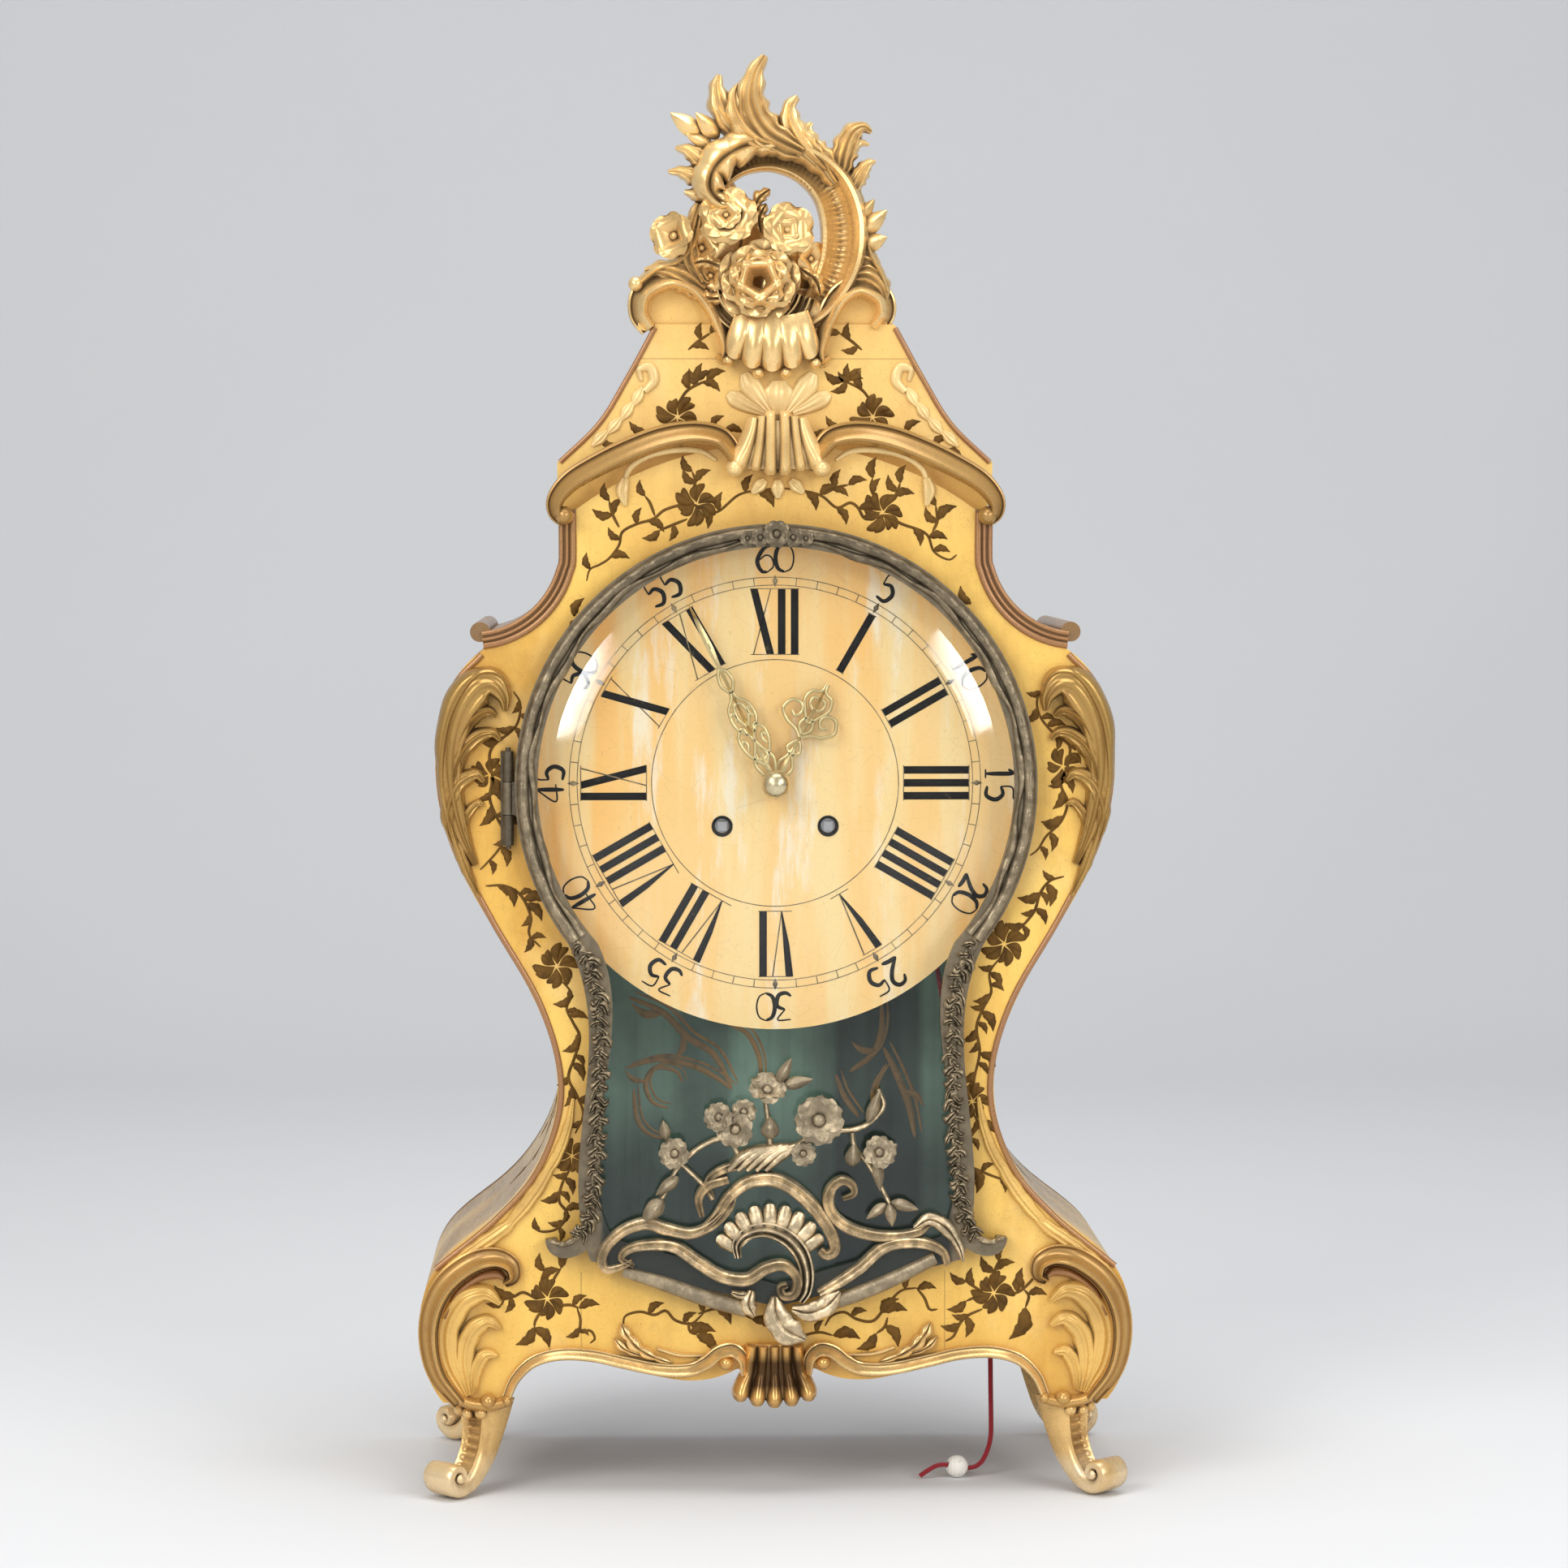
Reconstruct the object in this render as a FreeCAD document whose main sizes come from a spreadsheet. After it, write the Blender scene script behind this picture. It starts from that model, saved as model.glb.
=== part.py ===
import FreeCAD, Part
import math
import os
from FreeCAD import Placement, Rotation, Vector

# A bracket clock: carved and lacquered case, glazed bronze door, two-train movement
# with a short pendulum behind the dial, and a repeat cord. Sizes in millimetres,
# teeth counts and degrees. Front faces -Y, up is +Z, the table is Z = 0.

SIZES = {
    # carcase outline, half widths and heights from the feet upwards
    "foot_height": 52,
    "leg_inset": 13.2,
    "leg_inner_inset": 48.2,
    "bulge_half_width": 198.2,
    "bulge_height": 88,
    "haunch_inset": 9.2,
    "haunch_height": 127,
    "flare_half_width": 156,
    "flare_height": 156,
    "throat_half_width": 132.5,
    "throat_height": 185,
    "waist_half_width": 121,
    "waist_height": 226,
    "loin_half_width": 131.5,
    "loin_height": 272,
    "hip_half_width": 160,
    "hip_height": 323,
    "flank_half_width": 181.5,
    "flank_height": 367,
    "shoulder_half_width": 188,
    "shoulder_height": 408,
    "cap_half_width": 180.5,
    "cap_height": 448,
    "peak_half_width": 161,
    "peak_height": 471,
    "neck_half_width": 110,
    "neck_height": 520,
    "neck_hollow": 12,
    "carcase_height": 548,
    "arch_rise": 36,
    "apron_corner_inset": 55.2,
    "apron_corner_height": 68,
    "apron_arch_half_width": 112,
    "apron_arch_height": 77,
    "apron_dip_half_width": 60,
    "apron_dip_height": 65,
    "apron_centre_half_width": 22,
    "apron_centre_height": 70,
    # boards
    "front_face": 76,
    "front_thickness": 14,
    "side_thickness": 10,
    "side_depth": 142,
    "back_thickness": 10,
    "floor_height": 80,
    "floor_thickness": 10,
    "top_thickness": 10,
    "top_half_width": 118,
    "board_play": 0.15,
    "side_arch_half_span": 40,
    "side_arch_rise": 16,
    # hood
    "hood_half_width": 120.5,
    "hood_block_height": 16,
    "hood_flare_half_width": 99,
    "hood_flare_rise": 37,
    "hood_mid_half_width": 84,
    "hood_mid_rise": 61,
    "hood_top_half_width": 66,
    "hood_rise": 92,
    "hood_thickness": 8,
    "hood_front_thickness": 10,
    "hood_cap_half_width": 56,
    # carved work
    "crest_height": 800,
    "crest_thickness": 22,
    "crest_overhang": 9,
    "cornice_projection": 13,
    "cornice_half_thickness": 6,
    "cartouche_half_width": 27,
    "cartouche_projection": 15,
    "neck_moulding_width": 9.5,
    "neck_volute_radius": 5.5,
    "leaf_projection": 9,
    "scroll_projection": 13,
    "apron_moulding_width": 7,
    "apron_moulding_projection": 6,
    "shell_half_width": 25,
    "shell_bottom_height": 49,
    "shell_top_height": 82,
    "shell_projection": 15,
    # feet
    "foot_width": 24,
    "foot_inset": 34.7,
    "foot_centre_y": 65,
    "foot_top_half": 16,
    "foot_reach": 37,
    "block_width": 24,
    "block_depth": 18,
    # door
    "dial_centre_height": 396,
    "door_radius": 144,
    "door_rim": 12.5,
    "door_gap": 0.3,
    "door_thickness": 11.7,
    "door_lip": 5.7,
    "rabbet_width": 3,
    "glass_play": 0.5,
    "glass_thickness": 2.5,
    "dome_radius": 124,
    "dome_rise": 12.5,
    "opening_overlap": 3.5,
    "skirt_join_drop": 87,
    "skirt_waist_half_width": 103.5,
    "skirt_waist_height": 258,
    "skirt_foot_half_width": 109,
    "skirt_foot_height": 160,
    "sill_half_width": 103,
    "sill_height": 133,
    "sill_apex_height": 107,
    "ear_half_width": 127,
    "ear_height": 143,
    "mount_relief": 7,
    "hinge_offset": 147.7,
    "hinge_forward": 4,
    "knuckle_radius": 3,
    "hinge_pin_radius": 1.4,
    "hinge_play": 0.06,
    "hinge_half_length": 26,
    "hinge_drop": 7,
    "hinge_door_half_length": 9,
    "hinge_end_play": 0.4,
    "hinge_leaf_width": 4.2,
    "hinge_leaf_thickness": 2.4,
    # back door
    "back_opening_half_width": 70,
    "back_opening_bottom": 330,
    "back_opening_top": 500,
    "back_door_overlap": 9,
    "back_door_thickness": 5,
    "back_door_gap": 0.3,
    "back_knuckle_radius": 2.8,
    "back_knuckle_length": 16,
    "back_pin_radius": 1.2,
    # dial and hands
    "dial_radius": 137.5,
    "dial_thickness": 3,
    "dial_gap": 0.5,
    "dial_centre_hole": 6.5,
    "winding_hole": 5.2,
    "winding_half_spacing": 29.5,
    "winding_drop": 24,
    "winding_square": 5,
    "dial_foot_radius": 3,
    "minute_hand_length": 110.5,
    "hour_hand_length": 61.5,
    "hand_thickness": 1.4,
    "minutes_shown": 55.7,
    # plates
    "plate_half_width": 68,
    "plate_drop": 70,
    "plate_rise": 80,
    "plate_thickness": 3,
    "plate_spacing": 55,
    "plate_setback": 14.5,
    "pillar_radius": 4,
    "pillar_inset": 6,
    "seat_thickness": 12,
    "seat_front_margin": 6,
    "seat_back_margin": 5,
    # arbors
    "pivot_play": 0.05,
    "arbor_radius": 1.8,
    "pivot_radius": 1,
    "winding_arbor_radius": 4,
    "barrel_radius": 28,
    "barrel_bore_play": 0.06,
    "wheel_thickness": 2,
    "great_wheel_thickness": 3,
    "great_teeth": 84,
    "great_pinion_teeth": 12,
    "centre_teeth": 80,
    "third_pinion_teeth": 8,
    "third_teeth": 80,
    "escape_pinion_teeth": 8,
    "third_distance": 22,
    "escape_distance": 17.6,
    "escape_teeth": 42,
    "escape_radius": 14.5,
    "pallet_rise": 66,
    "pallet_gap": 1.6,
    "cannon_teeth": 16,
    "minute_teeth": 48,
    "minute_pinion_teeth": 12,
    "hour_teeth": 48,
    "motion_distance": 18,
    "cannon_pipe_radius": 2.6,
    "hour_pipe_radius": 4.2,
    "tooth_play": 0.14,
    "pin_teeth": 72,
    "fly_pinion_teeth": 8,
    "fly_distance": 20,
    "strike_line_angle": 112,
    "fly_vane_radius": 13,
    "hammer_offset": 52,
    "hammer_rise": 58,
    # pendulum and bell
    "pendulum_length": 182.7,
    "pendulum_rod_radius": 1.5,
    "bob_radius": 19,
    "bob_thickness": 11,
    "pendulum_setback": 9,
    "cock_setback": 17,
    "bell_radius": 36,
    "bell_height": 26,
    "bell_wall": 2.5,
    "bell_rise": 112,
    # repeat work and cord
    "cord_diameter": 2.8,
    "bead_radius": 6.3,
    "bead_bore_play": 0.35,
    "bush_radius": 4,
    "bush_flange_radius": 7,
    "bush_flange": 2,
    "lever_pivot_x": 48,
    "lever_drop": 34,
    "lever_reach": 30,
    "lever_eye": 4,
    "lever_eye_slot": 3.4,
}

doc = FreeCAD.newDocument("bracket_clock")
sheet = doc.addObject("Spreadsheet::Sheet", "sizes")
for row, (alias, value) in enumerate(SIZES.items(), 1):
    sheet.set(f"A{row}", alias)
    sheet.set(f"B{row}", str(value))
    sheet.setAlias(f"B{row}", alias)
doc.recompute()


class Reading:
    """Values of the sheet's cells by alias."""

    def __getattr__(self, alias):
        return float(sheet.get(alias))


S = Reading()
nodes = {}

FRONT = -S.front_face
BOARD_BACK = FRONT + S.front_thickness
SIDE_BACK = BOARD_BACK + S.side_depth
CENTRE = S.dial_centre_height
HOOD_BASE = S.carcase_height + S.top_thickness
HOOD_TOP = HOOD_BASE + S.hood_rise
DIAL_FRONT = BOARD_BACK + S.dial_gap
DIAL_BACK = DIAL_FRONT + S.dial_thickness
PLATE_FRONT = DIAL_BACK + S.plate_setback
PLATE_BACK = PLATE_FRONT + S.plate_thickness
REAR_FRONT = PLATE_BACK + S.plate_spacing
REAR_BACK = REAR_FRONT + S.plate_thickness


# Outline helpers: points are (x, z) pairs, drawn in a plane that the front view shows.


def flat(point):
    return Vector(point[0], point[1], 0)


def line(start, end):
    return Part.LineSegment(flat(start), flat(end))


def arc(start, middle, end):
    return Part.Arc(flat(start), flat(middle), flat(end))


def spline(points):
    curve = Part.BSplineCurve()
    curve.interpolate([flat(point) for point in points])
    return curve


def mirrored(points):
    return [(-x, z) for x, z in reversed(points)]


def path(points):
    return [line(a, b) for a, b in zip(points, points[1:])]


def closed(points):
    return path(list(points) + [points[0]])


def circle(x, z, radius):
    return [Part.Circle(flat((x, z)), Vector(0, 0, 1), radius)]


def region(curves):
    return Part.Face(Part.Wire([curve.toShape() for curve in curves]))


def polar(radius, degrees, x=0.0, z=0.0):
    turn = math.radians(degrees)
    return (x + radius * math.cos(turn), z + radius * math.sin(turn))


def ribbon(points, widths):
    """Outline of a band along points, with its half width at the two ends."""
    curve = spline(points)
    left = []
    right = []
    steps = 4 * (len(points) - 1)
    for step in range(steps + 1):
        share = step / steps
        at = curve.FirstParameter + share * (curve.LastParameter - curve.FirstParameter)
        here = curve.value(at)
        along = curve.tangent(at)[0]
        half = widths[0] + share * (widths[1] - widths[0])
        left.append((here.x - along.y * half, here.y + along.x * half))
        right.append((here.x + along.y * half, here.y - along.x * half))
    right.reverse()
    return [spline(left), line(left[-1], right[0]), spline(right), line(right[-1], left[0])]


# Document helpers. Depth runs along Y, from the front towards the back.


def bind(feature, **cells):
    for name, expression in cells.items():
        feature.setExpression(name.replace("__", "."), expression)
    return feature


def sketch_on(body, name, curves):
    plane = next(f for f in body.Origin.OriginFeatures if f.Role == "XZ_Plane")
    sketch = body.newObject("Sketcher::SketchObject", name)
    sketch.AttachmentSupport = (plane, [""])
    sketch.MapMode = "FlatFace"
    sketch.addGeometry(curves, False)
    return sketch


def board(label, outlines, thickness, back):
    """A board or carved piece cut to outlines, its back face at depth back."""
    body = doc.addObject("PartDesign::Body", label)
    curves = [curve for outline in outlines for curve in outline]
    pad = body.newObject("PartDesign::Pad", label + "_pad")
    pad.Profile = sketch_on(body, label + "_outline", curves)
    bind(pad, Length=thickness)
    bind(body, Placement__Base__y=back)
    doc.recompute()
    return body


def second_pad(body, label, outline, thickness, reverse=False):
    """Adds a further pad from the body's own plane."""
    pad = body.newObject("PartDesign::Pad", label)
    pad.Profile = sketch_on(body, label + "_outline", outline)
    pad.Reversed = reverse
    bind(pad, Length=thickness)
    body.Tip = pad
    doc.recompute()
    return body


def shape_of(label, shape):
    feature = doc.addObject("Part::Feature", label)
    feature.Shape = shape
    return feature


def rod(label, x, z, front, length, radius):
    """A round bar along Y, its radius bound to an expression."""
    bar = doc.addObject("Part::Cylinder", label)
    bar.Height = length
    bar.Placement = Placement(Vector(x, front, z), Rotation(Vector(1, 0, 0), -90))
    return bind(bar, Radius=radius)


def post(label, x, y, bottom, length, radius):
    """A round bar along Z, its radius bound to an expression."""
    bar = doc.addObject("Part::Cylinder", label)
    bar.Height = length
    bar.Placement = Placement(Vector(x, y, bottom), Rotation())
    return bind(bar, Radius=radius)


def block(label, low, high):
    """A rectangular block between two corners."""
    box = doc.addObject("Part::Box", label)
    box.Length = high[0] - low[0]
    box.Width = high[1] - low[1]
    box.Height = high[2] - low[2]
    box.Placement = Placement(Vector(*low), Rotation())
    return box


def joined(label, pieces):
    union = doc.addObject("Part::MultiFuse", label)
    union.Shapes = pieces
    union.Refine = False
    doc.recompute()
    return union


def cut(label, base, tools):
    tool = tools[0] if len(tools) == 1 else joined(label + "_tools", tools)
    result = doc.addObject("Part::Cut", label)
    result.Base = base
    result.Tool = tool
    doc.recompute()
    return result


def common(label, first, second):
    result = doc.addObject("Part::Common", label)
    result.Base = first
    result.Tool = second
    doc.recompute()
    return result


def mirror(label, source):
    copy = doc.addObject("Part::Mirroring", label)
    copy.Source = source
    copy.Normal = Vector(1, 0, 0)
    doc.recompute()
    return copy


def node(name, feature):
    feature.Label = name
    nodes[name] = feature
    return feature


def solid_from(face, front, back):
    """The space of a face between two depths, as a plain shape."""
    shape = face.extrude(Vector(0, 0, back - front))
    shape.Placement = Placement(Vector(0, back, 0), Rotation(Vector(1, 0, 0), 90))
    return shape


# Carcase outline.

leg_half_width = S.bulge_half_width - S.leg_inset
leg_inner = S.bulge_half_width - S.leg_inner_inset
haunch_half_width = S.bulge_half_width - S.haunch_inset
apron_corner = S.bulge_half_width - S.apron_corner_inset
foot_x = S.bulge_half_width - S.foot_inset
flank = [
    (leg_half_width, S.foot_height),
    (S.bulge_half_width, S.bulge_height),
    (haunch_half_width, S.haunch_height),
    (S.flare_half_width, S.flare_height),
    (S.throat_half_width, S.throat_height),
    (S.waist_half_width, S.waist_height),
    (S.loin_half_width, S.loin_height),
    (S.hip_half_width, S.hip_height),
    (S.flank_half_width, S.flank_height),
    (S.shoulder_half_width, S.shoulder_height),
    (S.cap_half_width, S.cap_height),
    (S.peak_half_width, S.peak_height),
]
peak = flank[-1]
neck = (S.neck_half_width, S.neck_height)
neck_top = (S.neck_half_width, S.carcase_height)
run = (peak[0] - neck[0], neck[1] - peak[1])
chord = math.hypot(*run)
hollow = (
    (peak[0] + neck[0]) / 2 - S.neck_hollow * run[1] / chord,
    (peak[1] + neck[1]) / 2 - S.neck_hollow * run[0] / chord,
)


def left_of(point):
    """The point across the middle of the clock."""
    return (-point[0], point[1])


right_edge = [spline(flank), arc(peak, hollow, neck), line(neck, neck_top)]
left_edge = [
    line(left_of(neck_top), left_of(neck)),
    arc(left_of(neck), left_of(hollow), left_of(peak)),
    spline(mirrored(flank)),
]
apron = [
    (leg_inner, S.foot_height),
    (apron_corner, S.apron_corner_height),
    (S.apron_arch_half_width, S.apron_arch_height),
    (S.apron_dip_half_width, S.apron_dip_height),
    (S.apron_centre_half_width, S.apron_centre_height),
]
leg_outer = flank[0]
apron_edge = [
    line(left_of(leg_outer), left_of(apron[0])),
    spline(mirrored(list(reversed(apron)))[::-1]),
    line(left_of(apron[-1]), apron[-1]),
    spline(list(reversed(apron))),
    line(apron[0], leg_outer),
]
arch_top = (0, S.carcase_height + S.arch_rise)
carcase_front = right_edge + [arc(neck_top, arch_top, left_of(neck_top))] + left_edge + apron_edge


def door_line(inset):
    """The door's outline drawn in by an inset."""
    radius = S.door_radius - inset
    drop = S.skirt_join_drop
    join = (math.sqrt(radius * radius - drop * drop), CENTRE - drop)
    side = [
        join,
        (S.skirt_waist_half_width - inset, S.skirt_waist_height),
        (S.skirt_foot_half_width - inset, S.skirt_foot_height),
        (S.sill_half_width - inset, S.sill_height + inset),
    ]
    apex = (0, S.sill_apex_height + inset)
    return [
        arc(join, (0, CENTRE + radius), left_of(join)),
        spline([left_of(point) for point in side]),
        line(left_of(side[-1]), apex),
        line(apex, side[-1]),
        spline(list(reversed(side))),
    ]


# Case boards.

node(
    "front_board",
    board(
        "front_board",
        [carcase_front, door_line(S.door_rim - S.opening_overlap)],
        "sizes.front_thickness",
        "sizes.front_thickness - sizes.front_face",
    ),
)

BACK_OF_SIDES = "sizes.front_thickness - sizes.front_face + sizes.side_depth"


def inset_points(curves, thickness, low, high):
    """Points at a thickness inside a right-hand edge, between two heights."""
    edge_points = []
    inner = []
    for curve in curves:
        for step in range(49):
            share = step / 48
            at = curve.FirstParameter + share * (curve.LastParameter - curve.FirstParameter)
            here = curve.value(at)
            along = curve.tangent(at)[0]
            edge_points.append((here.x, here.y))
            if step % 4 == 2:
                inner.append((here.x - along.y * thickness, here.y + along.x * thickness))
    kept = []
    for x, z in inner:
        nearest = min(math.hypot(x - u, z - w) for u, w in edge_points)
        if nearest > 0.97 * thickness and low + 4 < z < high - 4:
            kept.append((x, z))
    return kept


def inner_edge(thickness):
    """The inner line of a side from the feet to the top, as points."""
    points = inset_points(right_edge, thickness, S.foot_height, S.carcase_height)
    bottom = (leg_half_width - thickness, S.foot_height)
    return [bottom] + points + [(S.neck_half_width - thickness, S.carcase_height)]


rise = S.side_arch_rise
span = S.side_arch_half_span
arch_radius = (span * span + rise * rise) / (2 * rise)
side_inner = inner_edge(S.side_thickness)
SIDE_OUTLINES = {
    "right": right_edge
    + [line(neck_top, side_inner[-1]), spline(list(reversed(side_inner)))]
    + [line(side_inner[0], leg_outer)],
    "left": left_edge
    + [line(left_of(leg_outer), left_of(side_inner[0]))]
    + [spline([left_of(point) for point in side_inner])]
    + [line(left_of(side_inner[-1]), left_of(neck_top))],
}
for hand_side, outline in SIDE_OUTLINES.items():
    side_name = f"side_{hand_side}"
    side_board = board(f"{side_name}_board", [outline], "sizes.side_depth", BACK_OF_SIDES)
    side_arch = doc.addObject("Part::Cylinder", f"{side_name}_arch")
    side_arch.Radius = arch_radius
    side_arch.Height = 4 * S.bulge_half_width
    side_arch.Placement = Placement(
        Vector(
            -2 * S.bulge_half_width,
            (BOARD_BACK + SIDE_BACK) / 2,
            S.foot_height + rise - arch_radius,
        ),
        Rotation(Vector(0, 1, 0), 90),
    )
    node(side_name, cut(side_name, side_board, [side_arch]))

hood_flank = [
    (S.hood_half_width, HOOD_BASE + S.hood_block_height),
    (S.hood_flare_half_width, HOOD_BASE + S.hood_flare_rise),
    (S.hood_mid_half_width, HOOD_BASE + S.hood_mid_rise),
    (S.hood_top_half_width, HOOD_TOP),
]
hood_foot = (S.hood_half_width, HOOD_BASE)
hood_outline = [
    line(hood_foot, hood_flank[0]),
    spline(hood_flank),
    line(hood_flank[-1], left_of(hood_flank[-1])),
    spline(mirrored(hood_flank)),
    line(left_of(hood_flank[0]), left_of(hood_foot)),
    line(left_of(hood_foot), hood_foot),
]
top_edge = (S.top_half_width, S.carcase_height)
top_corner = (S.top_half_width, HOOD_BASE)
back_outline = (
    right_edge
    + path([neck_top, top_edge, top_corner, hood_foot, hood_flank[0]])
    + [spline(hood_flank), line(hood_flank[-1], left_of(hood_flank[-1]))]
    + [spline(mirrored(hood_flank))]
    + path([left_of(p) for p in (hood_flank[0], hood_foot, top_corner, top_edge, neck_top)])
    + left_edge
    + apron_edge
)
back_hole = closed(
    [
        (-S.back_opening_half_width, S.back_opening_bottom),
        (S.back_opening_half_width, S.back_opening_bottom),
        (S.back_opening_half_width, S.back_opening_top),
        (-S.back_opening_half_width, S.back_opening_top),
    ]
)
node(
    "back_board",
    board(
        "back_board",
        [back_outline, back_hole],
        "sizes.back_thickness",
        BACK_OF_SIDES + " + sizes.back_thickness",
    ),
)

room_inner = inner_edge(S.side_thickness + S.board_play)
room_face = region(
    [
        spline(room_inner),
        line(room_inner[-1], left_of(room_inner[-1])),
        spline(mirrored(room_inner)),
        line(left_of(room_inner[0]), room_inner[0]),
    ]
)
room = shape_of("case_room", solid_from(room_face, BOARD_BACK, SIDE_BACK))
CORD_EXIT = (123, -32)
floor_slab = block(
    "floor_slab",
    (-S.bulge_half_width, BOARD_BACK, S.floor_height),
    (S.bulge_half_width, SIDE_BACK, S.floor_height + S.floor_thickness),
)
floor_blank = common("floor_blank", floor_slab, room)
floor_hole = post(
    "floor_hole",
    *CORD_EXIT,
    S.floor_height - 5,
    S.floor_thickness + 10,
    "sizes.bush_radius + sizes.board_play",
)
node("floor_board", cut("floor_board", floor_blank, [floor_hole]))
node(
    "top_board",
    block(
        "top_board",
        (-S.top_half_width, BOARD_BACK, S.carcase_height),
        (S.top_half_width, SIDE_BACK, HOOD_BASE),
    ),
)
bind(nodes["top_board"], Height="sizes.top_thickness", Width="sizes.side_depth")

HOOD_FRONT_BACK = "sizes.front_thickness - sizes.front_face + sizes.hood_front_thickness"
node(
    "hood_front",
    board("hood_front", [hood_outline], "sizes.hood_front_thickness", HOOD_FRONT_BACK),
)
hood_curve = spline(hood_flank)
hood_inner = inset_points([hood_curve], S.hood_thickness, HOOD_BASE, HOOD_TOP - S.hood_thickness)
hood_inner = [
    (hood_foot[0] - S.hood_thickness, HOOD_BASE),
    (hood_foot[0] - S.hood_thickness, HOOD_BASE + S.hood_block_height - 6),
] + hood_inner
cap_corner = (S.hood_cap_half_width, HOOD_TOP)
cap_under = (S.hood_cap_half_width, HOOD_TOP - S.hood_thickness)
hood_side_line = (
    [line(hood_foot, hood_flank[0]), hood_curve]
    + path([hood_flank[-1], cap_corner, cap_under, hood_inner[-1]])
    + [spline(list(reversed(hood_inner[1:])))]
    + path([hood_inner[1], hood_inner[0], hood_foot])
)
hood_right = board(
    "hood_side",
    [hood_side_line],
    "sizes.side_depth - sizes.hood_front_thickness",
    BACK_OF_SIDES,
)
node("hood_sides", joined("hood_sides", [hood_right, mirror("hood_side_mirrored", hood_right)]))
hood_cap = block(
    "hood_cap",
    (-S.hood_cap_half_width, BOARD_BACK + S.hood_front_thickness, HOOD_TOP - S.hood_thickness),
    (S.hood_cap_half_width, SIDE_BACK, HOOD_TOP),
)
node("hood_cap", bind(hood_cap, Height="sizes.hood_thickness"))

# Carved work on the front.

FACE = "-sizes.front_face"
cornice_path = [
    (124, 546),
    (120, 558),
    (104, 572),
    (80, 583),
    (56, 588.5),
    (38, 588),
    (29, 580),
]
cornice_arm = board(
    "cornice_arm",
    [ribbon(cornice_path, (S.cornice_half_thickness, 0.8 * S.cornice_half_thickness))],
    "sizes.cornice_projection",
    FACE,
)
cornice_eye = rod(
    "cornice_eye",
    cornice_path[0][0] - 5,
    cornice_path[0][1],
    FRONT - S.cornice_projection,
    S.cornice_projection,
    "1.4 * sizes.cornice_half_thickness",
)
cornice_right = joined("cornice_right", [cornice_arm, cornice_eye])
node(
    "cornice_mouldings",
    joined("cornice_mouldings", [cornice_right, mirror("cornice_left", cornice_right)]),
)
wide = S.cartouche_half_width
cartouche = [
    (-0.92 * wide, 571),
    (-0.5 * wide, 563.5),
    (0, 557),
    (0.5 * wide, 563.5),
    (0.92 * wide, 571),
    (0.8 * wide, 583),
    (0.86 * wide, 592),
    (0.4 * wide, 594),
    (0, 597),
    (-0.4 * wide, 594),
    (-0.86 * wide, 592),
    (-0.8 * wide, 583),
]
node(
    "cornice_cartouche",
    board("cornice_cartouche", [closed(cartouche)], "sizes.cartouche_projection", FACE),
)

neck_arc = Part.Circle(flat(peak), flat(hollow), flat(neck))
centre_x = neck_arc.Center.x
centre_z = neck_arc.Center.y


def outside_neck(point):
    """A point of the neck's hollow moved outwards by the moulding's width."""
    share = S.neck_moulding_width / neck_arc.Radius
    return (point[0] + share * (centre_x - point[0]), point[1] + share * (centre_z - point[1]))


outer_neck = outside_neck(neck)
neck_line = [
    line(neck_top, neck),
    arc(neck, hollow, peak),
    line(peak, outside_neck(peak)),
    arc(outside_neck(peak), outside_neck(hollow), outer_neck),
    line(outer_neck, (outer_neck[0], S.carcase_height)),
    line((outer_neck[0], S.carcase_height), neck_top),
]
neck_right = board(
    "neck_right",
    [neck_line],
    "sizes.front_thickness + sizes.side_depth",
    BACK_OF_SIDES,
)
neck_eye = rod(
    "neck_eye",
    outside_neck(peak)[0] + 1,
    outside_neck(peak)[1],
    FRONT,
    S.front_thickness + S.side_depth,
    "sizes.neck_volute_radius",
)
neck_pair = joined("neck_pair", [neck_right, neck_eye])
node(
    "neck_mouldings",
    joined("neck_mouldings", [neck_pair, mirror("neck_left", neck_pair)]),
)

edge = S.shoulder_half_width
leaf_path = [
    (edge - 7, 340),
    (edge - 5, 372),
    (edge - 5, 404),
    (edge - 9, 436),
    (edge - 24, 457),
    (edge - 39, 455),
    (edge - 42, 444),
]
leaf = board("shoulder_leaf", [ribbon(leaf_path, (2.5, 5.5))], "sizes.leaf_projection", FACE)
node("shoulder_leaves", joined("shoulder_leaves", [leaf, mirror("shoulder_leaf_left", leaf)]))

low = S.bulge_half_width
scroll_path = [
    (low - 19, 58),
    (low - 8, 76),
    (low - 7.5, 100),
    (low - 14, 119),
    (low - 29, 130),
    (low - 45, 130),
    (low - 51, 122),
]
scroll = board("base_scroll", [ribbon(scroll_path, (5.5, 6.5))], "sizes.scroll_projection", FACE)
scroll_web = board(
    "base_scroll_web",
    [
        closed(
            [
                (low - 24, 62),
                (low - 12, 78),
                (low - 12, 102),
                (low - 20, 117),
                (low - 34, 122),
                (low - 44, 104),
                (low - 38, 78),
            ]
        )
    ],
    "0.6 * sizes.scroll_projection",
    FACE,
)
scroll_right = joined("base_scroll_right", [scroll, scroll_web])
node(
    "base_scrolls",
    joined("base_scrolls", [scroll_right, mirror("base_scroll_left", scroll_right)]),
)

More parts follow.
